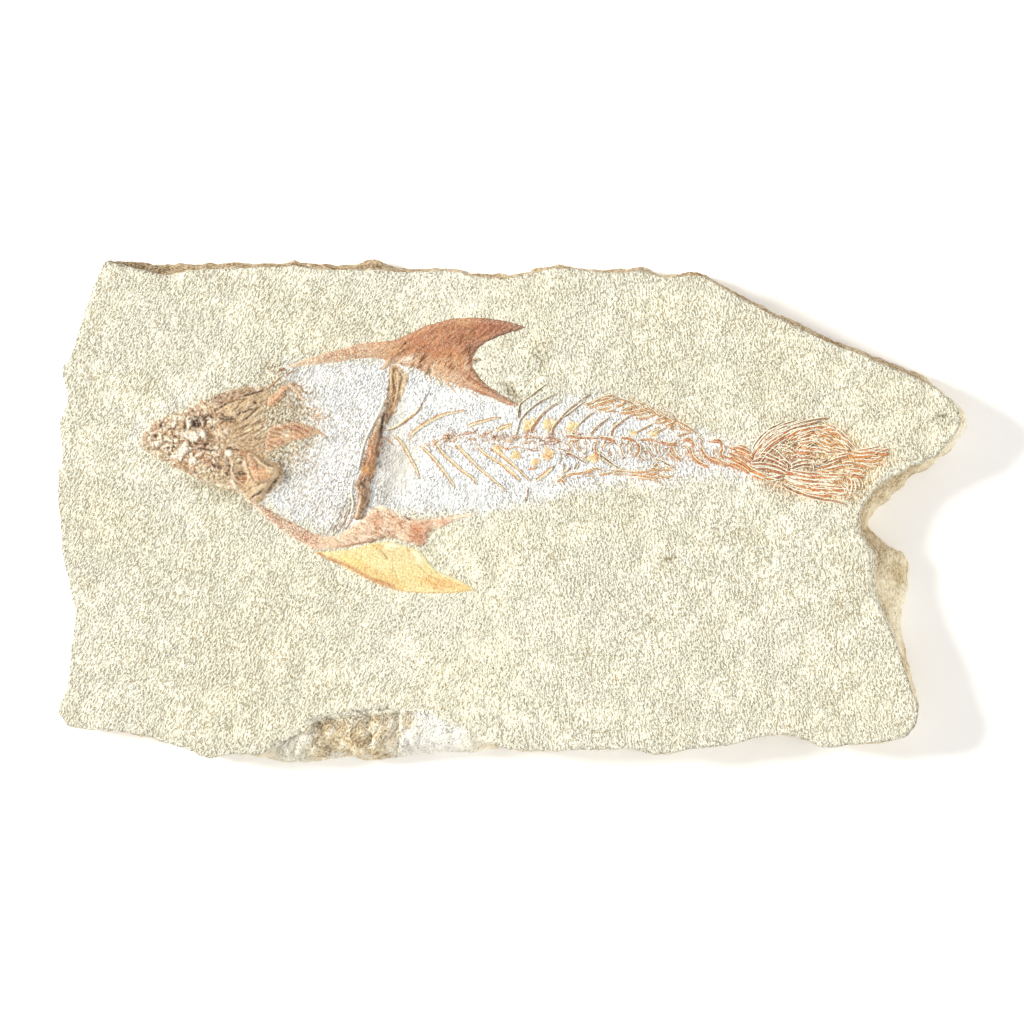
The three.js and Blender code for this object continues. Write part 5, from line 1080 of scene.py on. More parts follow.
def shoulder_shape(x, y, gx, gy, d):
    cl = [(391, 366), (388, 388), (385, 408), (380, 425), (375.5, 440), (371, 460), (367, 476), (365, 490), (363, 503), (358, 518)]
    dist, t, side = line_dist(gx, gy, np.array(cl, float))
    sd = dist * np.where(side > 0, 1, -1)
    h = 0.35 * smooth(0, 0.8, d) + 0.80 * np.exp(-(dist / 6.0) ** 2) * smooth(0.0, 0.3, t) * (0.6 + 0.4 * smooth(0.2, 0.5, t)) + 0.12 * fbm(x / 1.6, y / 2.4, 111, 3)
    tt = np.clip(0.5 + 0.6 * fbm(x / 2.0, y / 3.0, 112, 3), 0, 1)
    col = mix(lin(156, 112, 78), lin(122, 84, 56), tt)
    blobs = [
        (371, 455, 7, 12, 10, 0.1, (184, 128, 88), 0.85), (369, 470, 9, 5, -10, 0.1, (212, 160, 96), 0.9), (374, 440, 6, 8, 8, 0.0, (156, 114, 80), 0.7), (380, 428, 5, 10, 18, 0.0, (150, 116, 84), 0.8),
        (361, 481, 6, 8, 20, 0.0, (170, 126, 92), 0.8), (363, 484, 3, 3.4, 30, -0.3, (104, 72, 46), 0.85), (367, 500, 6, 12, 6, 0.0, (150, 114, 80), 0.8), (367, 499, 3, 3, 0, -0.1, (112, 80, 50), 0.7),
        (360, 514, 4, 8, 20, 0.0, (172, 136, 104), 0.7), (393, 380, 5, 16, 4, 0.05, (206, 168, 118), 0.8), (393, 400, 6, 12, 0, 0.0, (204, 158, 112), 0.8), (396, 374, 4, 5, 0, 0.1, (230, 206, 166), 0.7),
        (391, 413, 4, 4, 0, 0.0, (186, 142, 94), 0.7), (372, 447, 3, 12, 10, 0.1, (196, 142, 102), 0.5),
    ]
    strokes = [
        # the first line, dark down the ridge's right flank, is painted shade
        ([(390, 392), (388, 402), (386, 412), (383, 422), (381, 432)], 1.6, -0.25, (88, 62, 38), 0.95), ([(392, 372), (392, 382), (390, 392)], 1.0, -0.1, (124, 92, 58), 0.6),
        ([(386, 396), (382, 410), (377, 424), (371, 440)], 1.1, 0.05, (222, 200, 168), 0.5), ([(379, 440), (377, 450), (377, 462), (375, 470)], 1.3, -0.1, (118, 82, 54), 0.7),
        ([(366, 478), (362, 484), (366, 488)], 1.2, -0.3, (84, 56, 34), 0.85), ([(362, 494), (366, 500), (370, 508)], 1.4, -0.1, (104, 74, 46), 0.6), ([(360, 497), (358, 508), (355, 519)], 1.3, 0.15, (246, 232, 212), 0.8),
        ([(364, 506), (361, 514), (358, 520)], 1.2, -0.1, (100, 68, 42), 0.7), ([(359, 468), (357, 478), (356, 487)], 1.0, 0.05, (216, 176, 140), 0.6),
        ([(370, 430), (366, 444), (362, 458), (359, 470)], 1.1, 0.0, (214, 178, 142), 0.6),
    ]
    top = smooth(420, 404, gy) * smooth(386, 392, gx)
    h = h * (1 - 0.45 * top)
    col = mix(col, lin(232, 212, 178), top * (0.55 + 0.4 * smooth(396, 404, gx)))
    col = mix(col, lin(250, 246, 236), top * smooth(394, 406, gx) * (0.30 + 0.55 * smooth(-0.25, 0.35, gnoise(x / 1.0, y / 1.5, 120))))
    blobs += [(392, 376, 3, 10, 4, 0.25, (206, 170, 122), 0.6), (398, 388, 3, 12, 8, 0.15, (196, 160, 114), 0.6), (404, 376, 5, 8, 30, 0.0, (236, 220, 188), 0.6)]
    strokes += [([(389, 372), (389.5, 384), (387.5, 395), (385, 404)], 1.0, -0.30, (104, 76, 48), 0.85), ([(394, 370), (393, 380), (395, 390), (393, 402), (389, 412)], 0.9, -0.30, (124, 92, 60), 0.85),
                ([(397, 369), (402, 377), (400, 387), (397, 397), (394, 406)], 0.9, -0.25, (146, 114, 78), 0.8), ([(391.5, 370), (391, 382), (391, 392), (389, 402)], 1.1, 0.30, (244, 226, 188), 0.7),
                # the last, darkest line down the ridge's right flank is painted shade
                ([(398, 372), (397.5, 382), (398, 392), (394, 404)], 1.0, 0.30, (240, 220, 182), 0.7), ([(405, 374), (407, 382), (403, 392)], 0.8, -0.15, (176, 146, 108), 0.6), ([(385, 400), (383.5, 412), (382, 424), (380.5, 438)], 1.3, -0.5, (70, 48, 30), 0.95)]
    h, col = paint(gx, gy, h, col, blobs, strokes)
    f = fbm(x / 0.5, y / 0.6, 113, 2)
    u, v = rot(x, y, 76)
    fib = gnoise(u / 3.4, v / 0.55, 114) * 0.6 + gnoise(u / 1.6, v / 0.36, 118) * 0.4
    h = h + 0.16 * fib + 0.22 * fbm(x / 1.0, y / 1.6, 115, 2)
    col = col * (0.95 + 0.14 * f + 0.34 * fib)[:, None]
    col = mix(col, lin(96, 66, 44), smooth(0.20, 0.60, gnoise(u / 2.6, v / 0.8, 119)) * 0.5)
    wfl = smooth(0.26, 0.58, gnoise(u / 1.7, v / 0.8, 116)) * (0.22 + 0.5 * smooth(1.1, 0.2, d))
    col = mix(col, lin(250, 240, 222), wfl * 0.9)
    gone = smooth(0.05, 0.45, gnoise(x / 1.6, y / 1.6, 117)) * smooth(1.3, 0.1, d)
    h = h - gone * 0.3
    col = mix(col, lin(250, 242, 228), gone * 0.7)
    return h + 0.06 * f, col


def small_shape(c_a, c_b, height, seed, dome=1.2, gran=0.0, marks=((), ()), fade=0.8):
    """shape function for a small bone in two tones"""
    def f(x, y, gx, gy, d):
        n1 = fbm(x / 1.3, y / 1.1, seed, 3)
        g, c = granular(x, y, seed + 3, 0.6)
        h = height * (0.55 + 0.45 * smooth(0, dome, d)) + 0.10 * n1 + gran * (g - 0.45)
        col = mix(lin(*c_a), lin(*c_b), np.clip(0.5 + 0.75 * n1 - 0.35 * gran * (g - 0.5) * 4, 0, 1))
        h, col = paint(gx, gy, h, col, marks[0], marks[1])
        f2 = fbm(x / 0.4, y / 0.4, seed + 9, 2)
        col = col * (1.08 + 0.16 * f2)[:, None]
        gone = smooth(0.02, 0.42, fbm(x / 1.2, y / 1.0, seed + 10, 2) + 0.42 * smooth(1.3, 0.0, d) - 0.14)
        h = h - gone * 0.3 * fade
        col = mix(col, lin(253, 244, 226), gone * 0.80 * fade)
        return h + 0.05 * f2, col
    return f


def flake(cx, cy, rx, ry, ang, ca, cb, seed, height=0.26):
    """a thin broken plate of bone"""
    rng = np.random.default_rng(seed)
    pts = []
    for i in range(13):
        t = 2 * math.pi * i / 13
        r = 0.52 + 0.74 * rng.random()
        a = math.radians(ang)
        u, v = rx * r * math.cos(t), ry * r * math.sin(t)
        pts.append((cx + u * math.cos(a) - v * math.sin(a), cy + u * math.sin(a) + v * math.cos(a)))
    return patch_data(pts, small_shape(ca, cb, height, seed, 0.8, 0.08), 0.24, seed, 0.12, rim=0.25, relief_light=0.5)


# ============================================================== rods and strokes
OCHRE = (220, 176, 122); OCHD = (176, 128, 84); OCHP = (250, 230, 192); DARK = (112, 82, 62); RUST = (192, 116, 70)
RUSTD = (150, 84, 50); PINK = (186, 134, 118); ORANGE = (218, 142, 82); YEL = (250, 214, 150); GREYB = (120, 104, 92)


BROKEN = 0.16


def toned(specs, to, f, thin=1.0):
    """the same rods with their stain drawn towards one colour"""
    g = lambda c: tuple(a * (1 - f) + b * f for a, b in zip(c, to))
    return [(s[0], [thin * q for q in s[1]] if not np.isscalar(s[1]) else thin * s[1], g(s[2]), g(s[3]) if len(s) > 3 and s[3] is not None else None) + tuple(s[4:]) for s in specs]


def flanked(specs, off=1.5, w=1.1, col=(255, 247, 228), height=0.40, side=1):
    """pale ridges of stone lying along rods"""
    out = []
    for s in specs:
        p = np.array(s[0], float)
        d = np.gradient(p, axis=0); nr = np.column_stack([d[:, 1], -d[:, 0]]); nr /= np.maximum(np.hypot(*nr.T), 1e-6)[:, None]
        ww = np.mean(s[1])
        out.append(([tuple(q) for q in p + nr * side * (off * 0.55 + ww * 0.55)], w, col, None, height))
    return out


def rods(specs, seed, height=0.34):
    """thin rods: (points, width, colour[, colour at the far end[, height]]), widths on the drawing grid"""
    out = []
    for i, s in enumerate(specs):
        pts, w, c = s[0], s[1], s[2]
        c2 = s[3] if len(s) > 3 and s[3] is not None else None
        hh = s[4] if len(s) > 4 else height
        if np.isscalar(w):
            w = [w * q for q in np.interp(np.linspace(0, 1, len(pts)), [0, 0.25, 0.75, 1], [0.8, 1.0, 0.95, 0.5])]
        out.append(ribbon_data(pts, w, hh, c, seed + 7 * i, colour2=c2, broken=BROKEN))
    return out


def rib(path, widths, seed, flip=1, height=0.46, dark=OCHD, pale=OCHP):
    """a rib: a rounded rod with a thin dark flank and a pale crest"""
    p = np.array(path, float)
    d = np.gradient(p, axis=0); nr = np.column_stack([d[:, 1], -d[:, 0]]); nr /= np.hypot(*nr.T)[:, None]
    w = np.array(widths, float)
    parts = [ribbon_data(p, w * 0.80, height, (239, 210, 170), seed, colour2=(241, 219, 184))]
    parts.append(ribbon_data(p + nr * flip * (w * 0.36)[:, None], w * 0.30 + 0.45, height * 0.66, dark, seed + 3, colour2=(186, 140, 96)))
    parts.append(ribbon_data(p - nr * flip * (w * 0.22)[:, None], w * 0.42 + 0.5, height * 1.05, (255, 246, 222), seed + 5, colour2=(252, 242, 222)))
    return parts


RIBS = {
    "rib_upper_1": ([(386, 430), (393, 428), (399, 425), (404, 421), (411, 416), (417, 411), (421, 405)], [1.2, 1.8, 2.2, 3.4, 3.2, 2.0, 0.9], -1),
    "rib_upper_2": ([(409, 438), (415, 431), (421, 426.5), (430, 421), (441, 415.5), (453, 412.5), (467, 410.5)], [2.4, 3.2, 3.4, 3.2, 3.2, 2.2, 1.1], 1),
    "rib_upper_3": ([(467, 426.5), (474, 423.5), (484, 421), (493, 418.5), (501, 417.5)], [1.8, 2.8, 2.8, 2.4, 1.1], 1),
    "rib_upper_4": ([(497, 431.5), (500, 428), (505, 426), (511, 424)], [1.8, 2.6, 3.0, 1.8], 1),
    "rib_lower_1": ([(393, 435), (400, 441), (406, 450), (411, 460), (416, 469), (419, 479)], [1.6, 2.8, 3.0, 2.6, 2.0, 1.0], -1),
    "rib_lower_2": ([(421, 446), (427, 452), (434, 459), (441, 468), (448, 477), (455, 488)], [1.6, 2.6, 2.8, 2.8, 2.4, 1.0], -1),
    "rib_lower_3": ([(436, 443), (442, 452), (450, 460), (460, 469), (470, 476), (475, 481), (477, 485)], [2.0, 3.2, 3.4, 3.2, 2.8, 2.2, 1.1], -1),
    "rib_lower_4": ([(456, 444), (462, 451), (470, 459), (480, 469), (490, 477), (498, 484), (507, 492)], [2.4, 3.4, 3.2, 2.6, 2.2, 1.6, 0.9], -1),
    "rib_lower_5": ([(478, 447), (484, 453), (494, 459.5), (504, 465.5), (510, 471), (516, 476), (520, 482)], [2.2, 2.8, 3.0, 3.6, 5.0, 3.0, 1.2], -1),
    "rib_lower_6": ([(492, 448), (503, 456), (512, 464), (520, 471), (531, 482)], [3.2, 4.4, 3.0, 2.2, 1.1], -1),
    "rib_lower_7": ([(536, 481), (545, 474), (554, 466)], [2.4, 4.0, 1.4], 1),
}

SPINES = {
    "neural_spine_1": [([(516, 437), (519, 428), (521, 421), (527, 413), (534, 407), (541, 402), (550, 397.5), (558, 394)], 1.3, DARK, GREYB),
                       ([(519, 418), (519.5, 410), (521, 404), (529, 398), (538, 391), (547, 384)], 0.9, GREYB, GREYB, 0.25)],
    "neural_spine_2": [([(532, 434), (533, 428), (536, 424), (541, 417), (548, 410.5), (556, 405), (563, 402)], [3.2, 3.6, 3.6, 3.0, 1.8, 1.4, 0.9], RUST, DARK),
                       ([(525, 430), (525, 424), (528, 420), (533, 418)], 4.4, YEL, (244, 200, 130), 0.30), ([(531, 430), (535, 423), (539, 418)], 2.0, ORANGE, YEL, 0.4),
                       ([(530, 433), (529, 426), (532, 420)], 2.6, (250, 206, 140), YEL, 0.28)],
    "neural_spine_3": [([(553, 434), (554, 428), (557, 424), (563, 417), (568, 411), (576, 405), (584, 399), (592, 394)], [2.6, 3.0, 2.8, 2.2, 1.6, 1.5, 1.4, 0.9], RUSTD, DARK),
                       ([(546, 431), (546, 425), (549, 421), (553, 420)], 4.2, YEL, (246, 206, 140), 0.3), ([(551, 431), (553, 424)], 2.2, (246, 200, 134), None, 0.3),
                       ([(560, 420), (569, 414), (577, 408), (586, 401)], 0.8, (150, 116, 92), GREYB, 0.25)],
    "neural_spine_4": [([(573, 434), (576, 429), (581, 424), (586, 419), (591, 415), (597, 411.5)], [2.8, 2.6, 1.8, 1.4, 1.2, 0.8], (176, 120, 84), GREYB),
                       ([(571, 434), (569, 428), (572, 424)], 3.0, (236, 182, 116), YEL, 0.3), ([(576, 433), (577, 427), (577, 422)], 2.6, (222, 158, 98), YEL, 0.32)],
    "neural_spine_5": [([(591, 435), (595, 430), (600, 425.5), (605, 421.5), (611, 417)], [2.4, 2.6, 2.2, 1.6, 0.9], (170, 112, 72), DARK), ([(594, 427), (599, 430)], 1.2, (196, 136, 90))],
    "neural_spine_6": [([(612, 437), (613, 431), (617, 426.5), (624, 421), (632, 416), (640, 412.5)], [2.8, 3.0, 2.6, 1.8, 1.2, 0.8], (196, 124, 76), (170, 128, 96)),
                       ([(614, 430), (614, 424), (618, 422)], 1.6, (222, 156, 104))],
    "neural_spine_7": [([(635, 434), (640, 431), (646, 428), (655, 424)], [2.0, 1.8, 1.6, 0.9], (166, 116, 80), (196, 150, 110)), ([(632, 434), (633, 430)], 2.2, (226, 166, 108))],
    "neural_spine_8": [([(651, 437), (656, 434), (662, 430.5), (668, 428)], [2.4, 2.6, 1.8, 1.0], (206, 146, 96), (222, 172, 122)), ([(654, 437), (658, 433)], 1.4, RUST)],
    "neural_spine_9": [([(676, 438), (681, 435.5), (688, 433.8), (695, 433)], [1.8, 1.6, 1.5, 0.9], (196, 128, 84), (206, 150, 106)), ([(688, 427), (696, 432.5), (701, 436)], 0.9, (196, 140, 100), None, 0.26)],
    "haemal_spine_1": [([(579, 461), (576, 466), (574, 470)], [1.4, 1.5, 0.9], GREYB, DARK), ([(581, 457), (586, 461), (590, 464)], 1.0, DARK, GREYB)],
    "haemal_spine_2": [([(597, 457), (603, 461), (610, 465), (617, 469.5)], [1.4, 1.4, 1.2, 0.8], (140, 100, 76), GREYB), ([(606, 463), (612, 468)], 0.9, (170, 134, 106))],
}

VERT = {
    "vertebra_1": [([(564, 437), (571, 436.6), (580, 438), (590, 438.4), (600, 438)], [1.6, 2.4, 2.2, 1.8, 1.4], (166, 112, 84), (176, 118, 86)),
                   ([(564, 456), (569, 454), (574, 456), (580, 460), (588, 464)], 1.6, (156, 112, 90), DARK), ([(566, 443), (570, 448), (568, 454)], 1.3, (186, 140, 112)),
                   ([(578, 440), (576, 445), (580, 452)], 1.1, (206, 166, 136)), ([(590, 453), (593, 458), (590, 463)], 2.6, (246, 206, 140), YEL, 0.3),
                   ([(597, 440), (595, 447), (596, 453), (599, 457)], 1.4, (190, 132, 96)), ([(570, 440), (574, 441.5), (580, 441)], 1.4, PINK), ([(583, 455), (588, 452)], 1.0, (206, 160, 126))],
    "vertebra_2": [([(600, 438.4), (606, 438.8), (612, 440.5), (617, 444)], [1.8, 3.0, 3.4, 1.4], (204, 140, 84), (166, 104, 66)), ([(594, 452), (600, 455), (607, 460), (614, 465), (622, 470)], 1.3, (140, 96, 72), DARK),
                   ([(597, 451), (597, 456), (598, 460)], 3.0, (200, 130, 76), ORANGE, 0.4), ([(589, 456), (593, 459), (596, 462)], 2.2, (250, 208, 142), YEL, 0.3), ([(620, 447), (622, 453), (626, 460)], 1.1, (160, 118, 92), (186, 150, 124)),
                   ([(606, 441), (603, 446), (602, 451)], 0.9, (206, 168, 138)), ([(612, 440), (609, 444)], 1.2, (190, 128, 82))],
    "vertebra_3": [([(620, 438), (626, 438.6), (632, 440), (637, 443)], [1.6, 2.6, 3.0, 1.4], (190, 128, 92), (180, 116, 78)), ([(636, 443), (638.5, 447), (638, 452), (635, 457)], 2.6, (186, 122, 80), (196, 140, 96)),
                   ([(637, 454), (641, 458), (647, 462)], 1.2, (156, 116, 92), GREYB), ([(630, 452), (634, 455)], 2.2, (236, 186, 128)), ([(628, 441), (631, 446), (630, 451)], 0.9, (216, 180, 150)), ([(640, 447), (643, 450)], 1.2, (206, 160, 124))],
    "vertebra_4": [([(638, 440.5), (646, 440), (654, 440.5), (660, 443.5)], [1.2, 1.8, 2.8, 2.0], (176, 118, 88), (196, 130, 92)), ([(657, 443), (656, 449), (658, 455)], 2.4, (186, 134, 104), (200, 152, 120)),
                   ([(655, 459), (661, 461), (667, 464), (673, 467)], 1.2, (120, 92, 78), GREYB), ([(648, 441), (651, 445)], 1.8, (228, 172, 118)), ([(645, 446), (649, 452), (653, 458)], 0.9, (212, 182, 156))],
    "vertebra_5": [([(660, 442), (666, 444), (672, 445), (678, 443)], [2.4, 3.2, 2.8, 1.4], (176, 112, 76), (190, 126, 88)), ([(671, 446), (673, 452), (678, 458), (681, 462)], 2.8, (196, 118, 68), (206, 134, 84)),
                   ([(667, 452), (671, 457), (676, 461)], 2.0, (222, 158, 104), ORANGE), ([(677, 438), (676, 443), (675, 448)], 1.2, (186, 134, 106)), ([(666, 448), (662, 452)], 1.2, (214, 180, 150))],
    "vertebra_6": [([(683, 441), (688, 440), (693, 444), (692, 449)], [2.2, 4.2, 4.0, 2.6], (196, 138, 98), (190, 128, 86)), ([(690, 448), (691, 455), (696, 461), (703, 465), (710, 468)], [2.4, 3.0, 3.0, 2.6, 1.2], (214, 140, 84), (212, 146, 98)),
                   ([(683, 445), (687, 449), (689, 455)], 1.4, (206, 152, 112)), ([(695, 438), (701, 439), (702, 443)], 0.9, (156, 120, 100)), ([(694, 454), (699, 459), (706, 463)], 1.2, (186, 118, 74))],
    "vertebra_7": [([(700, 447), (703, 453), (709, 459), (717, 463), (730, 467)], [1.8, 2.4, 3.0, 2.8, 1.4], (196, 124, 76), (210, 136, 82)), ([(703, 440), (701, 444), (703, 449)], 1.2, (170, 128, 104), (186, 140, 110)),
                   ([(711, 457), (719, 460), (728, 465), (738, 470)], 2.0, (190, 114, 66), (206, 130, 78)), ([(706, 456), (712, 463)], 1.1, (226, 172, 124)), ([(722, 462), (732, 466), (741, 472)], 1.3, (226, 160, 104))],
    "vertebra_8": [([(707, 442), (713, 441.6), (718, 441), (723, 444)], [1.4, 3.0, 4.4, 3.0], (200, 132, 84), (176, 104, 64)), ([(721, 444), (722, 450), (720, 454), (724, 460)], [3.0, 4.0, 3.0, 1.4], (196, 118, 68), (206, 136, 86)),
                   ([(724, 446), (732, 449), (740, 452), (748, 454)], 1.4, (196, 122, 74), (206, 130, 84)), ([(722, 455), (730, 459), (738, 463), (746, 468)], 1.6, (186, 108, 60), (206, 128, 74)), ([(716, 438), (722, 441)], 1.0, (170, 122, 96)),
                   ([(728, 452), (735, 457), (742, 461)], 1.0, (222, 160, 110)), ([(717, 447), (716, 453)], 1.4, (222, 168, 122))],
}

DORSAL = [
    ([(585, 405.5), (591, 403.4), (597, 401.4)], 1.8, (196, 138, 84), (222, 172, 116)), ([(589, 408.5), (599, 405), (609, 401.5), (617, 400)], 2.2, (190, 130, 78), (216, 164, 106)),
    ([(598, 411), (606, 409), (613, 406.5)], 1.6, (222, 176, 116), YEL), ([(593, 403), (602, 398.5), (610, 396)], 1.3, (196, 144, 94), (206, 160, 112)), ([(600, 401), (607, 399), (613, 399.5)], 1.4, (176, 122, 76)),
    ([(608, 397), (613, 396), (617, 399.5)], 1.6, (150, 108, 76), (176, 132, 92)), ([(616, 407.6), (622, 405), (627, 402)], 1.8, (206, 152, 94), (196, 138, 84)), ([(619, 414), (629, 413), (640, 411), (650, 408.6)], 2.2, (212, 150, 92), (206, 140, 88)),
    ([(622, 411), (630, 408), (637, 406)], 1.5, (226, 182, 124), OCHP), ([(621, 399), (628, 401.5), (634, 405), (641, 408.5)], 1.3, (140, 104, 78), (166, 124, 88)), ([(630, 398), (637, 402), (644, 406)], 1.0, (206, 172, 132)),
    ([(637, 418.6), (645, 418.4), (655, 416)], 2.0, (206, 142, 88), (196, 130, 84)), ([(640, 408), (645, 411), (650, 413)], 1.8, (176, 122, 80)), ([(645, 404), (650, 409), (655, 414)], 1.0, (216, 180, 138)), ([(632, 416), (640, 414.6), (648, 412.5)], 1.2, (232, 192, 140), OCHP),
    ([(651, 410), (656, 414), (661, 418)], 1.6, (196, 134, 100), (206, 150, 112)), ([(655, 420.6), (661, 419.4), (667, 417)], 1.6, (206, 146, 110), (196, 128, 90)), ([(657, 409), (662, 413), (668, 416)], 1.1, (206, 166, 132)), ([(656, 424), (662, 423), (668, 421)], 1.3, (212, 160, 122)),
    ([(664, 418), (669, 420.6), (675, 424)], 2.2, (206, 142, 84), (222, 164, 104)), ([(668, 426), (673, 424), (677, 421)], 2.2, (214, 156, 98), (226, 176, 120)), ([(675, 420), (682, 423.6), (688, 427), (694, 431.5)], 1.3, (186, 134, 92), (196, 138, 98)), ([(680, 427), (687, 430), (692, 432.4)], 1.2, (212, 160, 116)),
    ([(660, 426.6), (652, 430), (645, 433)], 1.0, (206, 158, 116), (222, 184, 146)), ([(669, 430), (673, 427)], 1.2, (196, 140, 96)), ([(604, 412.4), (611, 411.6), (616, 409.5)], 1.0, (236, 202, 152)),
]
ANAL = [
    ([(557, 482), (561, 480), (565, 476)], 2.4, (206, 152, 96), (190, 130, 78)), ([(559, 478), (562, 481), (565, 484)], 1.6, (186, 136, 88)), ([(563, 474), (568, 471), (572, 466)], 1.4, (150, 116, 90), GREYB),
    ([(566, 477), (572, 474.6), (580, 473.8), (588, 472.4), (596, 470.6)], 1.8, (206, 144, 90), (214, 156, 104)), ([(583, 473.6), (590, 470.6), (597, 469), (602, 470.6)], 1.6, (212, 150, 96), (222, 170, 120)),
    ([(598, 475.4), (606, 474.4), (614, 472.4)], 1.6, (206, 144, 94), (222, 170, 124)), ([(612, 475), (620, 474), (628, 475)], 1.0, (222, 184, 146)), ([(608, 470), (618, 471), (628, 472), (640, 473)], 0.9, (186, 160, 134)),
    ([(630, 472), (642, 472.6), (654, 471)], 1.4, (222, 170, 124), (206, 146, 98)), ([(628, 475), (640, 476), (652, 478), (662, 478.4)], 1.8, (214, 150, 98), (206, 136, 84)), ([(636, 478), (648, 480), (658, 480.6)], 1.1, (230, 186, 142)),
    ([(646, 474), (652, 474.6), (660, 473)], 3.0, (206, 138, 84), (196, 124, 72)), ([(652, 470), (656, 466), (659, 462)], 1.4, (176, 122, 90)), ([(650, 468), (656, 470), (664, 469)], 2.2, (212, 150, 98), (200, 132, 82)),
    ([(660, 471), (668, 470), (676, 472)], 1.3, (212, 156, 110), (232, 196, 158)), ([(658, 476), (666, 477.6), (674, 476)], 1.4, (206, 144, 96), (230, 190, 150)), ([(664, 466), (670, 468), (675, 467)], 1.0, (226, 184, 146)),
    ([(655, 463), (659, 467), (664, 471)], 1.0, (150, 112, 90)), ([(620, 469), (628, 470)], 0.9, (206, 180, 156)), ([(655, 481), (662, 482.6)], 1.0, (222, 180, 138)),
]
TAILBASE = [
    ([(730, 449), (737, 448.5), (744, 450.5), (751, 454)], [1.8, 3.4, 3.4, 2.0], (206, 134, 82), (190, 112, 66)), ([(733, 452), (740, 453), (747, 456), (753, 460)], [1.6, 3.0, 3.4, 2.2], (196, 122, 76), (186, 108, 66)),
    ([(726, 458), (734, 459), (742, 463), (750, 469)], [1.4, 2.6, 3.2, 2.4], (212, 144, 92), (196, 118, 68)), ([(728, 463), (736, 465.6), (744, 470), (750, 475)], [1.2, 2.6, 3.4, 2.6], (206, 130, 76), (212, 138, 80)),
    ([(738, 445), (744, 447), (750, 449)], 1.4, (214, 156, 110), (190, 120, 78)), ([(741, 457), (746, 460), (751, 464)], 2.4, (176, 104, 68), (166, 96, 64)), ([(745, 466), (750, 470), (756, 473)], 3.0, (216, 140, 82), (222, 150, 90)),
    ([(731, 454), (736, 456), (741, 458)], 1.2, (226, 176, 132)), ([(739, 461), (744, 465)], 1.2, (150, 92, 66)),
]
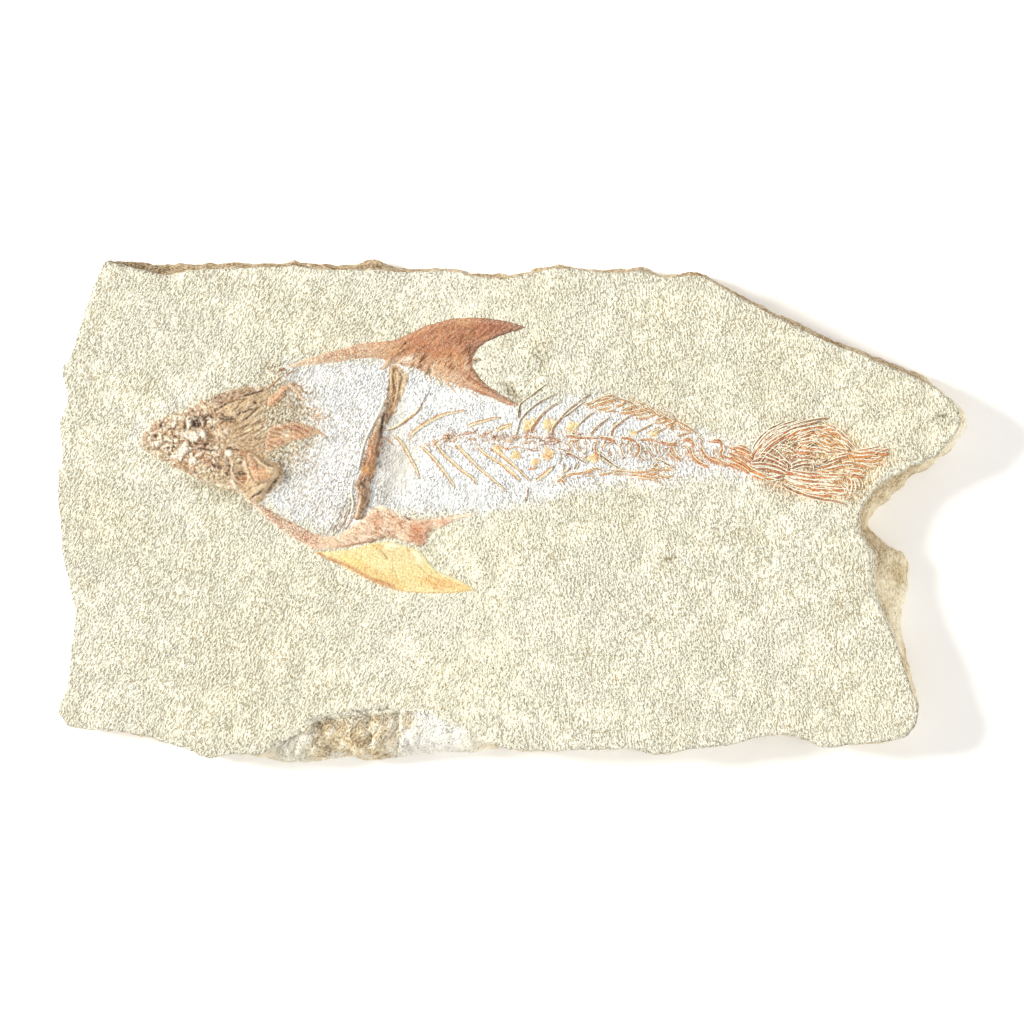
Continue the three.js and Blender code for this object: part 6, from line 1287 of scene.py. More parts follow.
TAIL_RAYS = [
    # thin dark outer rays of the upper lobe
    ([(753, 452), (756, 444), (762, 436), (769, 430), (777, 426), (785, 422.6)], 1.3, (140, 96, 76), (130, 112, 96)), ([(754, 453), (758, 445), (765, 437), (774, 430), (785, 424.6), (797, 421)], 1.4, (150, 98, 76), (136, 116, 100)),
    ([(760, 446), (770, 436), (781, 429), (793, 424.4), (806, 420.4)], 1.5, (160, 100, 76), (130, 108, 92)), ([(775, 437), (784, 430), (795, 425.4), (808, 421.6), (820, 419.4), (830, 418.3)], 1.5, (160, 96, 70), (150, 134, 112)),
    ([(783, 434), (792, 429.4), (802, 426.6), (812, 424), (821, 421.8)], 1.7, (150, 92, 68), (108, 90, 78)), ([(822, 421.8), (824, 424)], 1.5, (112, 94, 80)),
    # reddish rays behind them
    ([(754, 456), (760, 448), (768, 440), (777, 433.6), (786, 429.6)], 2.6, (176, 108, 84), (196, 130, 100)), ([(756, 458), (764, 449), (773, 441), (783, 434), (793, 430.6)], 2.8, (170, 98, 74), (190, 112, 76)),
    ([(758, 461), (767, 450), (777, 442), (787, 436)], 2.4, (180, 116, 92), (186, 120, 92)), ([(752, 458), (756, 450), (762, 443)], 2.2, (186, 120, 92), (176, 112, 86)), ([(765, 434), (772, 431.6), (779, 430)], 2.4, (196, 124, 92), (186, 114, 80)),
    ([(784, 437), (793, 432), (803, 429.4), (813, 428.4), (822, 427), (831, 429), (838, 434)], 1.7, (176, 104, 66), (196, 136, 90)),
    # strong orange rays
    ([(787, 439.4), (794, 434.8), (802, 431.4), (810, 430.4)], 3.2, (190, 112, 62), (206, 124, 68)), ([(789, 441), (798, 436.4), (807, 433.6), (815, 432.6)], 3.0, (200, 118, 66), (212, 132, 74)), ([(794, 439.6), (802, 438), (812, 434.6)], 1.8, (176, 102, 58), (200, 122, 72)),
    ([(790, 436), (796, 432.6), (804, 430)], 1.6, (222, 152, 96), (214, 140, 84)), ([(797, 441), (806, 440), (815, 437.6), (824, 437)], 1.6, (206, 142, 96), (222, 172, 122)), ([(800, 443.6), (808, 443), (818, 442)], 2.0, (212, 140, 90), (222, 164, 108)),
    ([(799, 446.4), (805, 448), (812, 449.4), (820, 450), (830, 452)], [2.0, 3.4, 2.8, 1.8, 1.0], (206, 124, 74), (196, 140, 104)), ([(796, 452), (802, 453), (809, 453.6)], [2.4, 3.8, 2.0], (206, 124, 74), (212, 136, 86)), ([(812, 448), (820, 449.4), (828, 452), (836, 453)], 1.2, (176, 120, 88), (206, 164, 128)),
    ([(822, 433.4), (826, 431), (830, 430.6), (835, 432.6)], [2.4, 4.6, 4.2, 2.0], (212, 140, 72), (206, 132, 74)), ([(820, 436), (825, 435), (831, 436.4)], [2.0, 3.6, 2.0], (216, 156, 90), (206, 144, 82)), ([(829, 434), (836, 434), (842, 436.6)], [2.0, 3.0, 1.4], (206, 140, 82), (196, 146, 104)),
    ([(836, 430), (841, 433), (845, 437), (849, 440)], 1.8, (206, 156, 110), (176, 136, 104)), ([(826, 423), (831, 426), (836, 429)], 1.8, (196, 152, 118), (166, 128, 100)), ([(840, 438), (846, 441), (851, 446), (855, 450)], 1.8, (206, 166, 126), (190, 150, 116)),
    ([(832, 440), (838, 442), (844, 445), (848, 449)], 1.5, (212, 172, 118), (206, 166, 120)), ([(822, 442), (828, 445), (836, 446)], 2.2, (222, 178, 116), (232, 196, 140)), ([(814, 440), (818, 444), (824, 447)], 1.5, (216, 168, 110), (226, 186, 132)), ([(826, 439), (831, 442)], 2.0, (222, 176, 116)),
    ([(848, 451), (846, 445), (840, 441)], 1.0, (176, 140, 104)), ([(834, 448), (842, 450), (850, 451.4)], 1.1, (206, 160, 120)),
    # the middle: broken, purple-brown, running together
    ([(753, 462), (761, 459), (770, 460), (779, 464), (788, 469)], 1.6, (150, 92, 76), (140, 84, 68)), ([(752, 465), (762, 464), (773, 466), (783, 470), (789, 474)], 1.5, (160, 108, 90), (150, 92, 72)), ([(755, 469), (766, 469), (778, 472), (788, 476)], 1.5, (166, 116, 96), (160, 100, 76)),
    ([(757, 455), (764, 454), (772, 457), (780, 461), (786, 466)], 1.4, (176, 120, 98), (140, 86, 70)), ([(770, 448), (776, 452), (782, 458), (787, 463), (791, 468)], 1.3, (190, 146, 122), (146, 92, 74)), ([(776, 447), (783, 446), (791, 449), (797, 454)], 1.4, (196, 146, 118), (206, 156, 126)),
    ([(781, 450), (787, 453), (794, 453.4)], 1.3, (190, 136, 106), (206, 150, 116)), ([(789, 470), (796, 467), (804, 465), (812, 465.4)], 1.5, (140, 96, 80), (150, 112, 94)), ([(790, 466), (797, 463), (806, 461), (812, 462)], 1.3, (160, 116, 98), (166, 128, 106)),
    ([(797, 457), (803, 458.4), (808, 457)], 1.6, (176, 128, 100), (196, 152, 122)), ([(811, 463), (812, 468), (811, 472)], 1.4, (166, 112, 86)), ([(787, 462), (790, 466), (788, 472)], 2.6, (140, 84, 66), (136, 80, 62)), ([(778, 463), (783, 461), (788, 464)], 1.6, (166, 110, 90)),
    ([(820, 468), (827, 466.4), (834, 464), (841, 461)], 2.0, (206, 146, 92), (190, 128, 86)), ([(828, 463.4), (834, 461), (841, 458.6), (849, 457)], 2.4, (186, 122, 82), (206, 144, 96)), ([(822, 463), (828, 460.6)], 1.3, (196, 146, 104)), ([(826, 470.4), (834, 469.4), (841, 467.4), (846, 466)], 2.6, (206, 146, 92), (196, 130, 82)),
    ([(818, 471), (826, 472.4), (836, 472)], 1.3, (222, 168, 116)), ([(838, 456), (846, 454.6), (852, 455)], 1.6, (206, 150, 104)), ([(842, 464), (849, 463), (856, 464)], 1.3, (222, 176, 130)),
    # the long end lobe
    ([(850, 456), (857, 457), (864, 457.6), (872, 455.6)], [2.4, 3.8, 3.8, 2.0], (216, 146, 84), (206, 134, 78)), ([(852, 453), (861, 453.6), (870, 453), (879, 454)], [1.6, 2.6, 3.0, 1.6], (212, 150, 98), (200, 136, 86)), ([(879, 455), (885, 454.6), (889, 453)], [2.2, 3.8, 2.0], (206, 130, 74), (196, 118, 66)),
    ([(858, 451), (866, 450), (872, 449), (879, 447)], 1.6, (216, 170, 122), (206, 150, 110)), ([(870, 459), (877, 459.6), (884, 457)], 1.8, (222, 168, 112), (230, 184, 132)), ([(854, 461), (862, 461), (871, 462), (879, 461)], 2.0, (226, 176, 122), (236, 198, 146)), ([(868, 452), (876, 450), (884, 450), (892, 449.4)], 1.3, (214, 164, 118), (232, 196, 146)),
    ([(880, 449), (886, 448)], 1.3, (232, 194, 142)), ([(872, 457), (881, 452), (888, 450.6)], 1.2, (196, 130, 84)),
    # lower lobe
    ([(785, 473), (793, 474.4), (803, 476.6), (813, 478)], [2.6, 3.4, 3.4, 2.0], (170, 98, 70), (200, 124, 84)), ([(789, 471), (797, 472.4), (806, 473.6), (816, 474.4), (826, 476)], 1.8, (160, 96, 72), (196, 132, 92)), ([(790, 477.6), (801, 479.6), (812, 481.4), (824, 482.6), (836, 484)], 1.9, (140, 84, 62), (190, 130, 92)),
    ([(783, 479.6), (791, 482.6), (801, 485), (812, 486), (824, 487.6)], [1.4, 2.2, 2.8, 2.2, 1.2], (150, 96, 66), (206, 146, 100)), ([(787, 482), (797, 485.4), (806, 487.6), (818, 490), (830, 491)], 1.8, (212, 146, 94), (222, 160, 104)), ([(799, 484), (805, 485.6)], 3.0, (206, 130, 80), ORANGE),
    ([(783, 484.6), (790, 489), (797, 492), (806, 495.6), (816, 498), (826, 500), (836, 501.4), (846, 505)], 1.7, (130, 88, 70), (166, 128, 100)), ([(792, 491), (802, 493), (812, 495), (822, 496.4)], 1.8, (212, 156, 104), (206, 138, 82)), ([(810, 490), (818, 490.6), (826, 491)], [2.0, 3.6, 2.0], (196, 106, 60), (206, 118, 68)),
    ([(808, 494.4), (816, 496), (824, 496.6), (832, 495)], [1.8, 3.0, 3.0, 1.6], (212, 134, 74), (206, 126, 70)), ([(826, 490), (834, 490), (842, 491), (850, 491)], 2.4, (210, 136, 88), (212, 142, 96)), ([(828, 494), (836, 494.4), (844, 496)], 1.8, (216, 156, 104), (226, 178, 128)), ([(812, 485), (822, 485), (832, 486.4), (842, 487.4)], 1.5, (214, 160, 114), (216, 156, 110)),
    ([(826, 481.4), (834, 480.4), (843, 481)], 1.7, (216, 156, 108), (222, 170, 124)), ([(814, 477.6), (824, 477.6), (834, 478.4), (842, 477)], 1.4, (206, 150, 108), (226, 178, 134)), ([(828, 474), (836, 475.6), (845, 476)], 1.8, (212, 146, 98), (226, 178, 130)), ([(846, 470), (853, 470.6), (861, 472), (867, 473)], 2.4, (226, 174, 118), (206, 142, 88)),
    ([(850, 476), (858, 474.6), (866, 472.6)], 1.7, (216, 162, 114), (206, 146, 98)), ([(848, 478), (850, 484), (849, 491), (847, 497)], 2.0, (216, 158, 108), (222, 168, 120)), ([(852, 480), (854, 487), (852, 494)], 1.5, (226, 180, 132), (232, 190, 142)), ([(842, 484), (846, 489), (849, 495)], 1.5, (222, 170, 122)),
    ([(860, 465), (867, 467), (874, 470)], 1.7, (232, 190, 138), (222, 170, 120)), ([(858, 478), (861, 484), (860, 490)], 1.1, (206, 160, 122)), ([(846, 500), (854, 498)], 1.2, (222, 176, 130)), ([(780, 478), (772, 476.4), (764, 475)], 1.6, (176, 112, 86), (206, 150, 106)), ([(782, 474.6), (775, 472), (766, 472)], 1.6, (150, 92, 72), (186, 130, 98)),
    ([(750, 470), (757, 473), (765, 477), (774, 480)], [2.0, 3.4, 3.0, 1.4], (216, 146, 88), (222, 156, 100)), ([(752, 476), (760, 478.4), (769, 480)], 2.0, (222, 158, 104), (232, 186, 140)), ([(770, 478.6), (776, 478), (784, 476)], 2.0, (120, 76, 60), (150, 94, 72)),
]


def scatter_rods(seed, n, region, length, ang, spread, w, cols, height=0.26):
    """short broken bits inside an outline, laid along a direction"""
    rng = np.random.default_rng(seed)
    lo = np.min(region, 0); hi = np.max(region, 0)
    poly = np.array(region, float)
    out = []; k = 0
    while len(out) < n and k < n * 30:
        k += 1
        c = lo + (hi - lo) * rng.random(2)
        if not inside(np.array([c[0]]), np.array([c[1]]), poly)[0]:
            continue
        a = math.radians((ang(c[0], c[1]) if callable(ang) else ang) + spread * (rng.random() - 0.5) * 2)
        L = length * (0.5 + rng.random())
        dx, dy = math.cos(a) * L / 2, math.sin(a) * L / 2
        m = (c[0] + (rng.random() - 0.5) * 0.8, c[1] + (rng.random() - 0.5) * 0.8)
        out.append(([(c[0] - dx, c[1] - dy), m, (c[0] + dx, c[1] + dy)], w * (0.6 + 0.8 * rng.random()), cols[int(rng.random() * len(cols))], None, height * (0.7 + 0.6 * rng.random())))
    return out


def build_bones():
    mb = bone_material("bone_dark_brown", lin(130, 94, 64), 0.55, 0.55)
    ms = bone_material("bone_shoulder_brown", lin(130, 94, 64), 0.55, 0.40)
    mf = bone_material("fin_rust", lin(150, 92, 62), 0.6, 0.24)
    ml = bone_material("fin_pink_brown", lin(160, 104, 74), 0.6, 0.42)
    mp = bone_material("bone_pale_yellow", lin(226, 180, 116), 0.6, 0.30)
    mr = bone_material("bone_rust", lin(186, 130, 86), 0.6, 0.50, 1.0)
    mt = bone_material("ray_rust", lin(200, 138, 78), 0.6, 0.30, 0.8)
    mo = bone_material("bone_ochre", lin(186, 138, 92), 0.62, 0.45, 1.4)
    my = bone_material("ray_ochre", lin(200, 154, 98), 0.62, 0.50, 1.4)

    bone("skull_bones", [patch_data(SKULL, skull_shape, 0.26, 11, 0.45, relief_light=0.35)], "skull", mb)

    jaw = [(249, 451), (257, 455), (262, 461), (268, 465), (277, 468), (279, 476), (272, 481), (262, 483.4), (256, 482), (251, 476), (248, 467), (246, 458)]
    def jaw_shape(x, y, gx, gy, d):
        h, c = skull_shape(x, y, gx, gy, d + 6)
        return h + 0.42 * smooth(0, 1.0, d), c
    bone("jaw_arch", [patch_data(jaw, jaw_shape, 0.26, 12, 0.08, rim=0.3)], "jaw_bone", mo)

    brow = [(283, 385), (289, 385.5), (291, 391), (284, 399), (276, 406), (268, 407), (267, 401), (272, 394), (278, 389)]
    bm = ([(283, 389, 5, 3.2, -50, 0.2, (200, 128, 82), 0.8), (272, 402, 4.6, 3, -40, 0.15, (204, 134, 84), 0.8), (285, 392, 1.4, 3, 0, -0.3, (104, 74, 50), 0.8)],
          [([(287, 388), (280, 394), (273, 402)], 1.2, 0.25, (232, 196, 150), 0.6), ([(290, 391), (284, 397), (277, 404)], 0.9, -0.2, (128, 84, 54), 0.8)])
    bone("brow_splint", [patch_data(brow, small_shape((214, 166, 120), (176, 124, 82), 0.5, 121, 1.3, 0.16, bm, 0.6), 0.24, 13, 0.4, relief_light=0.6)]
         + rods([([(280, 371), (284, 369), (287, 371.4)], 3.0, (150, 96, 62), None, 0.6), ([(266, 390), (274, 383), (282, 376)], 1.3, (206, 172, 132), None, 0.35),
                 ([(289, 383), (294, 388), (301, 396), (307, 401)], 2.6, (226, 190, 146), (236, 208, 170), 0.5), ([(292, 382), (298, 386), (305, 393)], 1.5, (190, 146, 100), None, 0.35),
                 ([(286, 376), (291, 372), (297, 370)], 1.3, (176, 128, 92), None, 0.35), ([(272, 388), (277, 385)], 1.5, (196, 150, 108), None, 0.4), ([(288, 396), (291, 404), (297, 410)], 1.2, (214, 186, 150), None, 0.3)], 122), "brow_bone", mo)

    gill = [(268, 429), (272, 426), (280, 424), (288, 422), (298, 421.6), (308, 423.6), (317, 428), (322, 432.6), (316, 436), (307, 439), (298, 441), (291, 442.6), (284, 446), (275, 449.6), (267, 451.6), (264.5, 446), (265.6, 437)]
    gm = ([(292, 427, 14, 3.4, 4, 0.15, (178, 116, 74), 0.75), (298, 436, 8, 4, 10, 0.0, (214, 164, 118), 0.6), (276, 443, 8, 4, -6, 0.05, (206, 150, 106), 0.6), (272, 432, 5, 4, 0, 0.1, (196, 144, 102), 0.6),
           (285, 436, 5, 3, 30, -0.15, (246, 224, 196), 0.85), (306, 431, 4, 3, 0, 0.0, (190, 120, 78), 0.8)],
          [([(287, 430), (292, 428.6), (299, 428), (307, 430)], 1.2, 0.15, (164, 90, 52), 0.9), ([(288.5, 428), (287.5, 433), (285, 438)], 1.0, -0.5, (250, 238, 220), 0.95), ([(293, 440), (299, 437.6), (306, 436)], 1.1, 0.1, (196, 122, 76), 0.8),
           ([(268, 441), (275, 438.6), (282, 439)], 1.0, 0.1, (236, 190, 150), 0.8), ([(270, 446), (277, 444), (284, 441)], 1.1, 0.1, (190, 116, 72), 0.8), ([(270, 436), (276, 431), (281, 427)], 1.0, 0.1, (170, 100, 62), 0.7),
           ([(279, 433), (284, 430)], 0.9, -0.2, (246, 226, 200), 0.7)])
    bone("gill_cover_plate", [patch_data(gill, small_shape((208, 170, 130), (162, 120, 82), 0.34, 131, 1.0, 0.20, gm, 0.70), 0.25, 14, 0.45, relief_light=0.55)]
         + rods([([(312, 419), (318, 415), (325, 411)], 2.6, (240, 200, 164), (246, 216, 188), 0.28), ([(316, 421), (324, 418), (330, 414)], 1.5, (240, 208, 176), None, 0.25), ([(308, 412), (315, 410), (322, 409)], 1.1, (236, 214, 188), None, 0.25),
                 ([(313, 430), (320, 433), (327, 438)], 1.5, (216, 160, 120), (240, 214, 186), 0.3), ([(264, 452), (271, 451), (279, 447)], 1.1, (236, 206, 176), None, 0.3)], 132), "gill_plate", mr)

    sh = [(388.5, 369), (394, 364), (402, 367), (409, 376), (407, 388), (402, 399), (396, 409), (389.5, 420), (384.5, 431), (383.5, 441), (381, 452), (377.5, 463), (376, 474), (370.5, 485), (371, 497), (367, 509), (361, 519), (354.5, 519),
          (354.5, 508), (357.5, 497), (354.5, 487), (358.5, 476), (360.5, 464), (365, 452), (367.5, 441), (373.5, 429), (379, 417), (383.5, 405), (386, 393), (387.5, 382)]
    bone("shoulder_ridge", [patch_data(sh, shoulder_shape, 0.27, 15, 0.42, relief_light=0.25)]
         + rods([([(384, 401), (378, 414), (371, 428), (365, 440), (361, 455), (358, 470)], 2.4, (255, 253, 246), None, 0.50), ([(353, 480), (351, 492), (353, 504), (350, 516)], 2.2, (255, 253, 246), None, 0.45), ([(392, 398), (398, 391), (403, 384), (408, 376)], 1.4, (226, 196, 150), (240, 216, 176), 0.3), ([(384, 437), (389, 441), (394, 446)], 1.6, (206, 166, 130), None, 0.3), ([(388, 416), (393, 413), (397, 409)], 1.6, (190, 146, 102), None, 0.4)], 142),
         "shoulder_bone", ms)

    uf = [(286, 366.5), (300, 360), (316, 355), (334, 349.5), (352, 345), (368, 341.5), (385, 340.5), (397, 338.5), (411, 332), (425, 325.5), (440, 321), (454, 318), (472, 317), (491, 318), (508, 321), (520, 324.5), (528, 327.5), (519, 330.5), (508, 334),
          (498, 337.5), (490, 341), (483, 345), (477.5, 350), (474, 356), (472.5, 361), (473.5, 367), (477, 372.5), (482, 379), (488, 385), (496, 390), (505, 396), (514, 401), (519, 406), (511, 406.5), (501, 403), (490, 398), (480, 395), (471, 390.6), (461, 388.6),
          (452, 384), (446, 384), (440, 379), (433, 377.6), (427, 372.6), (419, 371), (413, 367.6), (405, 367), (398, 364.6), (391, 366), (384, 371), (380, 369), (384, 361), (375, 358.6), (358, 359.5), (343, 362.5), (326, 364.5), (310, 366), (296, 368)]
    bone("upper_pectoral_blade", [patch_data(uf, upper_fin_shape, 0.29, 16, 0.22, relief_light=0.4)]
         + rods([([(447, 383), (452, 389), (457, 394)], 1.6, (232, 190, 146), (244, 222, 194), 0.3), ([(436, 377), (440, 383), (442, 387)], 1.4, (232, 192, 146), (244, 224, 196), 0.28), ([(458, 386), (464, 393)], 1.3, (236, 200, 164), None, 0.28),
                 ([(427, 372), (430, 378), (431, 382)], 1.2, (236, 204, 166), None, 0.25), ([(470, 391), (478, 397)], 1.2, (226, 186, 150), None, 0.26)]
                + scatter_rods(161, 46, [(396, 346), (470, 322), (500, 324), (470, 350), (474, 376), (440, 372), (410, 362)], 12, lambda a, b: -58 if a < 470 else -30, 14, 0.8, ((176, 112, 76), (196, 134, 92), (152, 92, 58), (222, 170, 124)), 0.0 + 0.95)
                , 162), "upper_pectoral_fin", mf)

    lf = [(244, 498), (252, 498.5), (260, 502.5), (268, 508), (278, 513), (288, 518.5), (298, 524), (308, 529.5), (320, 534), (334, 536), (344, 531), (353, 525.5), (362, 517), (370, 509), (378, 504.6), (385, 505), (391, 508), (397, 511), (405, 516), (416, 518.6),
          (428, 518), (440, 516.5), (452, 514.5), (464, 513), (476, 511.4), (485, 509.6), (478, 513.6), (467, 518), (455, 522), (444, 527.5), (434, 530.4), (430, 536), (427, 543), (420, 547), (412, 544.5), (403, 541.6), (394, 538.6), (385, 539),
          (373, 543), (360, 545.4), (346, 548.4), (331, 550), (316, 550.6), (306, 546), (297, 541), (287, 535), (277, 528), (268, 520.5), (259, 512.5), (251, 505.5)]
    bone("lower_pectoral_blade", [patch_data(lf, lower_fin_shape, 0.28, 17, 0.32, relief_light=0.4)]
         + rods([([(248, 499), (258, 505), (270, 512), (284, 520)], 1.1, (170, 120, 92), None, 0.5), ([(345, 530), (350, 522), (356, 512)], 1.4, (206, 176, 150), None, 0.3), ([(340, 527), (346, 517), (350, 507)], 1.2, (226, 206, 186), None, 0.28)]
                + scatter_rods(171, 30, [(372, 512), (398, 516), (430, 522), (424, 540), (400, 534), (376, 536)], 9, 32, 16, 0.8, ((176, 118, 82), (206, 150, 116), (150, 98, 66), (236, 200, 172)), 0.72), 172), "lower_pectoral_fin", ml)

    pf = [(312, 551), (324, 551), (341, 549.5), (356, 547), (368, 543.6), (380, 541.6), (392, 541.4), (404, 545), (414, 548), (421, 551), (425.5, 556), (430, 562.6), (436, 569), (444, 573), (454, 576.6), (464, 581.5), (473, 587), (478, 590.5),
          (466, 592.4), (452, 593.6), (436, 594), (420, 593.6), (404, 592.6), (392, 589.6), (378, 585), (364, 578.6), (350, 571.6), (336, 564), (323, 557.6)]
    bone("pelvic_blade", [patch_data(pf, pelvic_shape, 0.30, 18, 0.14, relief_light=0.3)], "pelvic_fin", mp)

    for i, (name, (p, w, s)) in enumerate(sorted(RIBS.items())):
        parts = rib(p, w, 201 + 11 * i, s)
        if name == "rib_upper_1":
            parts += rods([([(417, 411), (421, 405), (425, 398), (429, 391)], 0.9, GREYB, None, 0.25)], 300)
        if name == "rib_lower_4":
            parts += rods([([(490, 477), (498, 484), (507, 493)], 0.9, GREYB, None, 0.3)], 301)
        if name == "rib_lower_7":
            parts += rods([([(547, 475), (553, 468), (557, 463)], 1.0, GREYB, None, 0.3), ([(527, 470), (534, 468), (539, 466.6)], 2.6, (206, 160, 124), (222, 176, 136), 0.35), ([(528, 487), (527, 497), (525, 503)], 1.4, (196, 154, 112), GREYB, 0.25)], 302)
        if name == "rib_lower_6":
            parts += rods([([(494, 446), (498, 449), (503, 454)], 4.6, (250, 210, 146), None, 0.35), ([(515, 452), (519, 458), (521, 454)], 2.6, (240, 200, 140), None, 0.3)], 303)
        bone(name + "_rod", parts, name, mo)
    ya, yb = (255, 228, 176), (246, 200, 136)
    FL = {"neural_spine_2": [(527, 424.5, 6.4, 9.2, 12), (533, 421.5, 3.6, 8.0, 16)], "neural_spine_3": [(547, 425.0, 5.4, 9.4, 8), (553, 423.5, 3.4, 7.4, 14)], "neural_spine_4": [(570, 427.0, 4.2, 8.0, 10), (576, 427.0, 3.4, 7.0, 8)],
          "vertebra_2": [(592, 458, 6.8, 6.6, 0)], "vertebra_1": [(590, 457, 3.4, 4.0, 0)], "neural_spine_8": [(654, 434, 5.4, 4.0, -20)], "neural_spine_7": [(633, 433, 4.4, 4.2, 0)],
          "neural_spine_1": [(508, 425.6, 6.5, 3.2, -12)]}
    for i, (name, sp) in enumerate(sorted(SPINES.items())):
        sp = [q for q in sp if not (np.isscalar(q[1]) and q[1] > 2.5)]
        bone(name + "_rod", rods(toned(sp, (192, 150, 112), 0.58, 0.64), 401 + 13 * i, 0.22) + rods(flanked(sp, 1.3, 0.9), 409 + 13 * i, 0.28) + [flake(*q, ya, yb, 470 + 3 * i) for q in FL.get(name, [])], name, mo)
    for i, (name, sp) in enumerate(sorted(VERT.items())):
        sp = [q for q in sp if q[2] not in ((246, 206, 140), (250, 208, 142))]
        c = np.mean([q for z in sp for q in z[0]], 0)
        bits = scatter_rods(620 + i, 9, [(c[0] - 16, c[1] - 12), (c[0] + 16, c[1] - 10), (c[0] + 17, c[1] + 10), (c[0] - 15, c[1] + 10)], 4.5, 25, 80, 1.0, ((214, 168, 128), (190, 138, 104), (232, 194, 150), (170, 124, 100)), 0.20)
        bone(name + "_arches", rods(toned(sp, (206, 158, 118), 0.40, 0.9), 601 + 13 * i, 0.30) + rods(flanked(sp, 1.4, 1.0), 607 + 13 * i) + rods(bits, 640 + 17 * i) + [flake(*q, ya, yb, 670 + 3 * i) for q in FL.get(name, [])], name, mr)

    bb = [(422, 446), (426, 440), (431, 436), (438, 437), (442, 433), (450, 430.6), (456, 433), (462, 430), (472, 429), (480, 432.6), (486, 430.6), (494, 430), (501, 431.6), (508, 431), (516, 433.6), (524, 434), (532, 433), (541, 434.6), (550, 434), (560, 435.4), (563, 439),
          (559, 443.6), (551, 445.6), (543, 444), (534, 446), (525, 446), (516, 445), (508, 446), (500, 443), (490, 444.6), (480, 442), (470, 443.6), (462, 441.6), (452, 444), (444, 444), (436, 446.6), (428, 449)]
    def bb_shape(x, y, gx, gy, d):
        g, c = granular(x, y, 151, 0.62)
        n1 = fbm(x / 1.5, y / 1.0, 152, 3)
        keep = smooth(-0.05, 0.40, fbm(x / 1.5, y / 1.1, 153, 2) + 0.10 + 0.2 * blob(gx, gy, 449, 437, 9, 6) - 0.25 * smooth(1.0, 0.1, d))
        h = -0.40 + keep * (0.50 + 0.15 * smooth(0, 0.9, d) + 0.30 * (g - 0.4)) + 0.1 * n1
        col = mix(lin(230, 198, 174), lin(202, 156, 132), np.clip(0.5 + 0.7 * n1, 0, 1))
        col = mix(col, lin(240, 224, 208), np.clip(1 - keep + smooth(0.6, 0.95, g) * 0.5, 0, 1))
        B = [(449, 437, 7, 4, -30, 0.25, (176, 108, 62), 0.95), (444, 441, 5, 2.4, 0, 0.1, (214, 152, 98), 0.8), (431, 441, 3, 5, 20, 0.1, (158, 112, 92), 0.8), (437, 436, 3, 2.4, 0, 0.1, (170, 130, 110), 0.7), (469, 435, 7, 5, -10, 0.15, (184, 134, 112), 0.85),
             (492, 436, 9, 4, 0, 0.15, (176, 122, 100), 0.85), (484, 440, 4, 3, 0, 0.0, (196, 140, 92), 0.7), (517, 439, 8, 5, 0, 0.15, (164, 112, 100), 0.85), (533, 440, 6, 3.4, 0, 0.1, (176, 118, 96), 0.8), (546, 440, 5, 4, 0, 0.15, (160, 104, 86), 0.85), (556, 440, 5, 2.6, 0, 0.1, (176, 120, 90), 0.8),
             (505, 436, 3, 2.6, 0, 0.0, (146, 96, 80), 0.8), (512, 443, 3, 2, 0, 0.0, (150, 102, 86), 0.7), (456, 432, 3, 2.6, 0, 0.0, (150, 92, 60), 0.8)]
        S = [([(438, 443), (444, 441), (450, 438), (456, 433)], 1.2, 0.15, (150, 88, 50), 0.9), ([(480, 434), (488, 437), (497, 438)], 1.0, 0.1, (140, 92, 76), 0.8), ([(520, 436), (528, 439), (536, 438)], 1.0, 0.1, (140, 88, 74), 0.8),
             ([(466, 431), (470, 436), (468, 441)], 0.9, 0.1, (150, 100, 84), 0.7)]
        h, col = paint(gx, gy, h, col, B, S)
        f2 = fbm(x / 0.4, y / 0.4, 158, 2)
        return h + 0.06 * f2, col * (1 + 0.14 * f2)[:, None]
    bbx = rods([([(560, 440), (553, 444.6), (546, 444), (538, 445.6)], 1.2, PINK), ([(500, 447), (508, 449), (515, 447), (526, 449)], 1.6, (220, 176, 130), (176, 130, 104), 0.3),
                ([(547, 455), (553, 459)], 2.0, (190, 140, 96), None, 0.4), ([(526, 448), (534, 451), (540, 449)], 1.5, (186, 140, 116), None, 0.3), ([(497, 444), (505, 448)], 1.8, (236, 196, 146)),
                ([(560, 452), (561, 459), (558, 464)], 1.3, (196, 170, 146), GREYB, 0.3), ([(530, 430), (526, 434), (528, 439)], 1.6, (190, 132, 96)), ([(552, 430), (552, 437), (549, 443)], 2.2, (176, 112, 86)), ([(424, 450), (430, 452), (428, 446)], 1.2, (216, 190, 166)),
                ([(556, 447), (563, 450), (570, 452)], 1.2, (176, 134, 114)), ([(565, 463), (563, 470), (566, 474)], 1.2, (206, 180, 156), None, 0.3)], 710, 0.34)
    bbx = [q for q in bbx] + [flake(516, 456, 6.6, 5.8, 20, ya, yb, 720), flake(549, 454, 7.6, 8.4, 10, (250, 214, 150), (226, 170, 110), 723), flake(535, 462, 7.5, 4.2, 10, ya, (226, 176, 124), 726), flake(502, 428, 8.5, 3.6, -16, ya, yb, 729)]
    bone("backbone_crushed", [patch_data(bb, bb_shape, 0.26, 19, 0.45, relief_light=0.8, low=None)] + bbx
         + rods(scatter_rods(713, 180, [(424, 448), (440, 430), (480, 426), (560, 430), (600, 436), (660, 440), (700, 446), (700, 462), (640, 462), (560, 458), (500, 452)], 3.0, 10, 80, 1.1,
                             ((255, 252, 244), (252, 242, 226), (236, 206, 170), (214, 172, 136)), 0.42), 714)
         + rods(scatter_rods(711, 84, [(424, 448), (440, 430), (480, 426), (560, 430), (600, 436), (660, 440), (700, 446), (700, 462), (640, 462), (560, 458), (500, 452)], 4.2, 10, 75, 1.1,
                             ((176, 124, 100), (206, 156, 124), (150, 104, 84), (226, 182, 140), (190, 132, 92)), 0.30), 712), "backbone", mr)

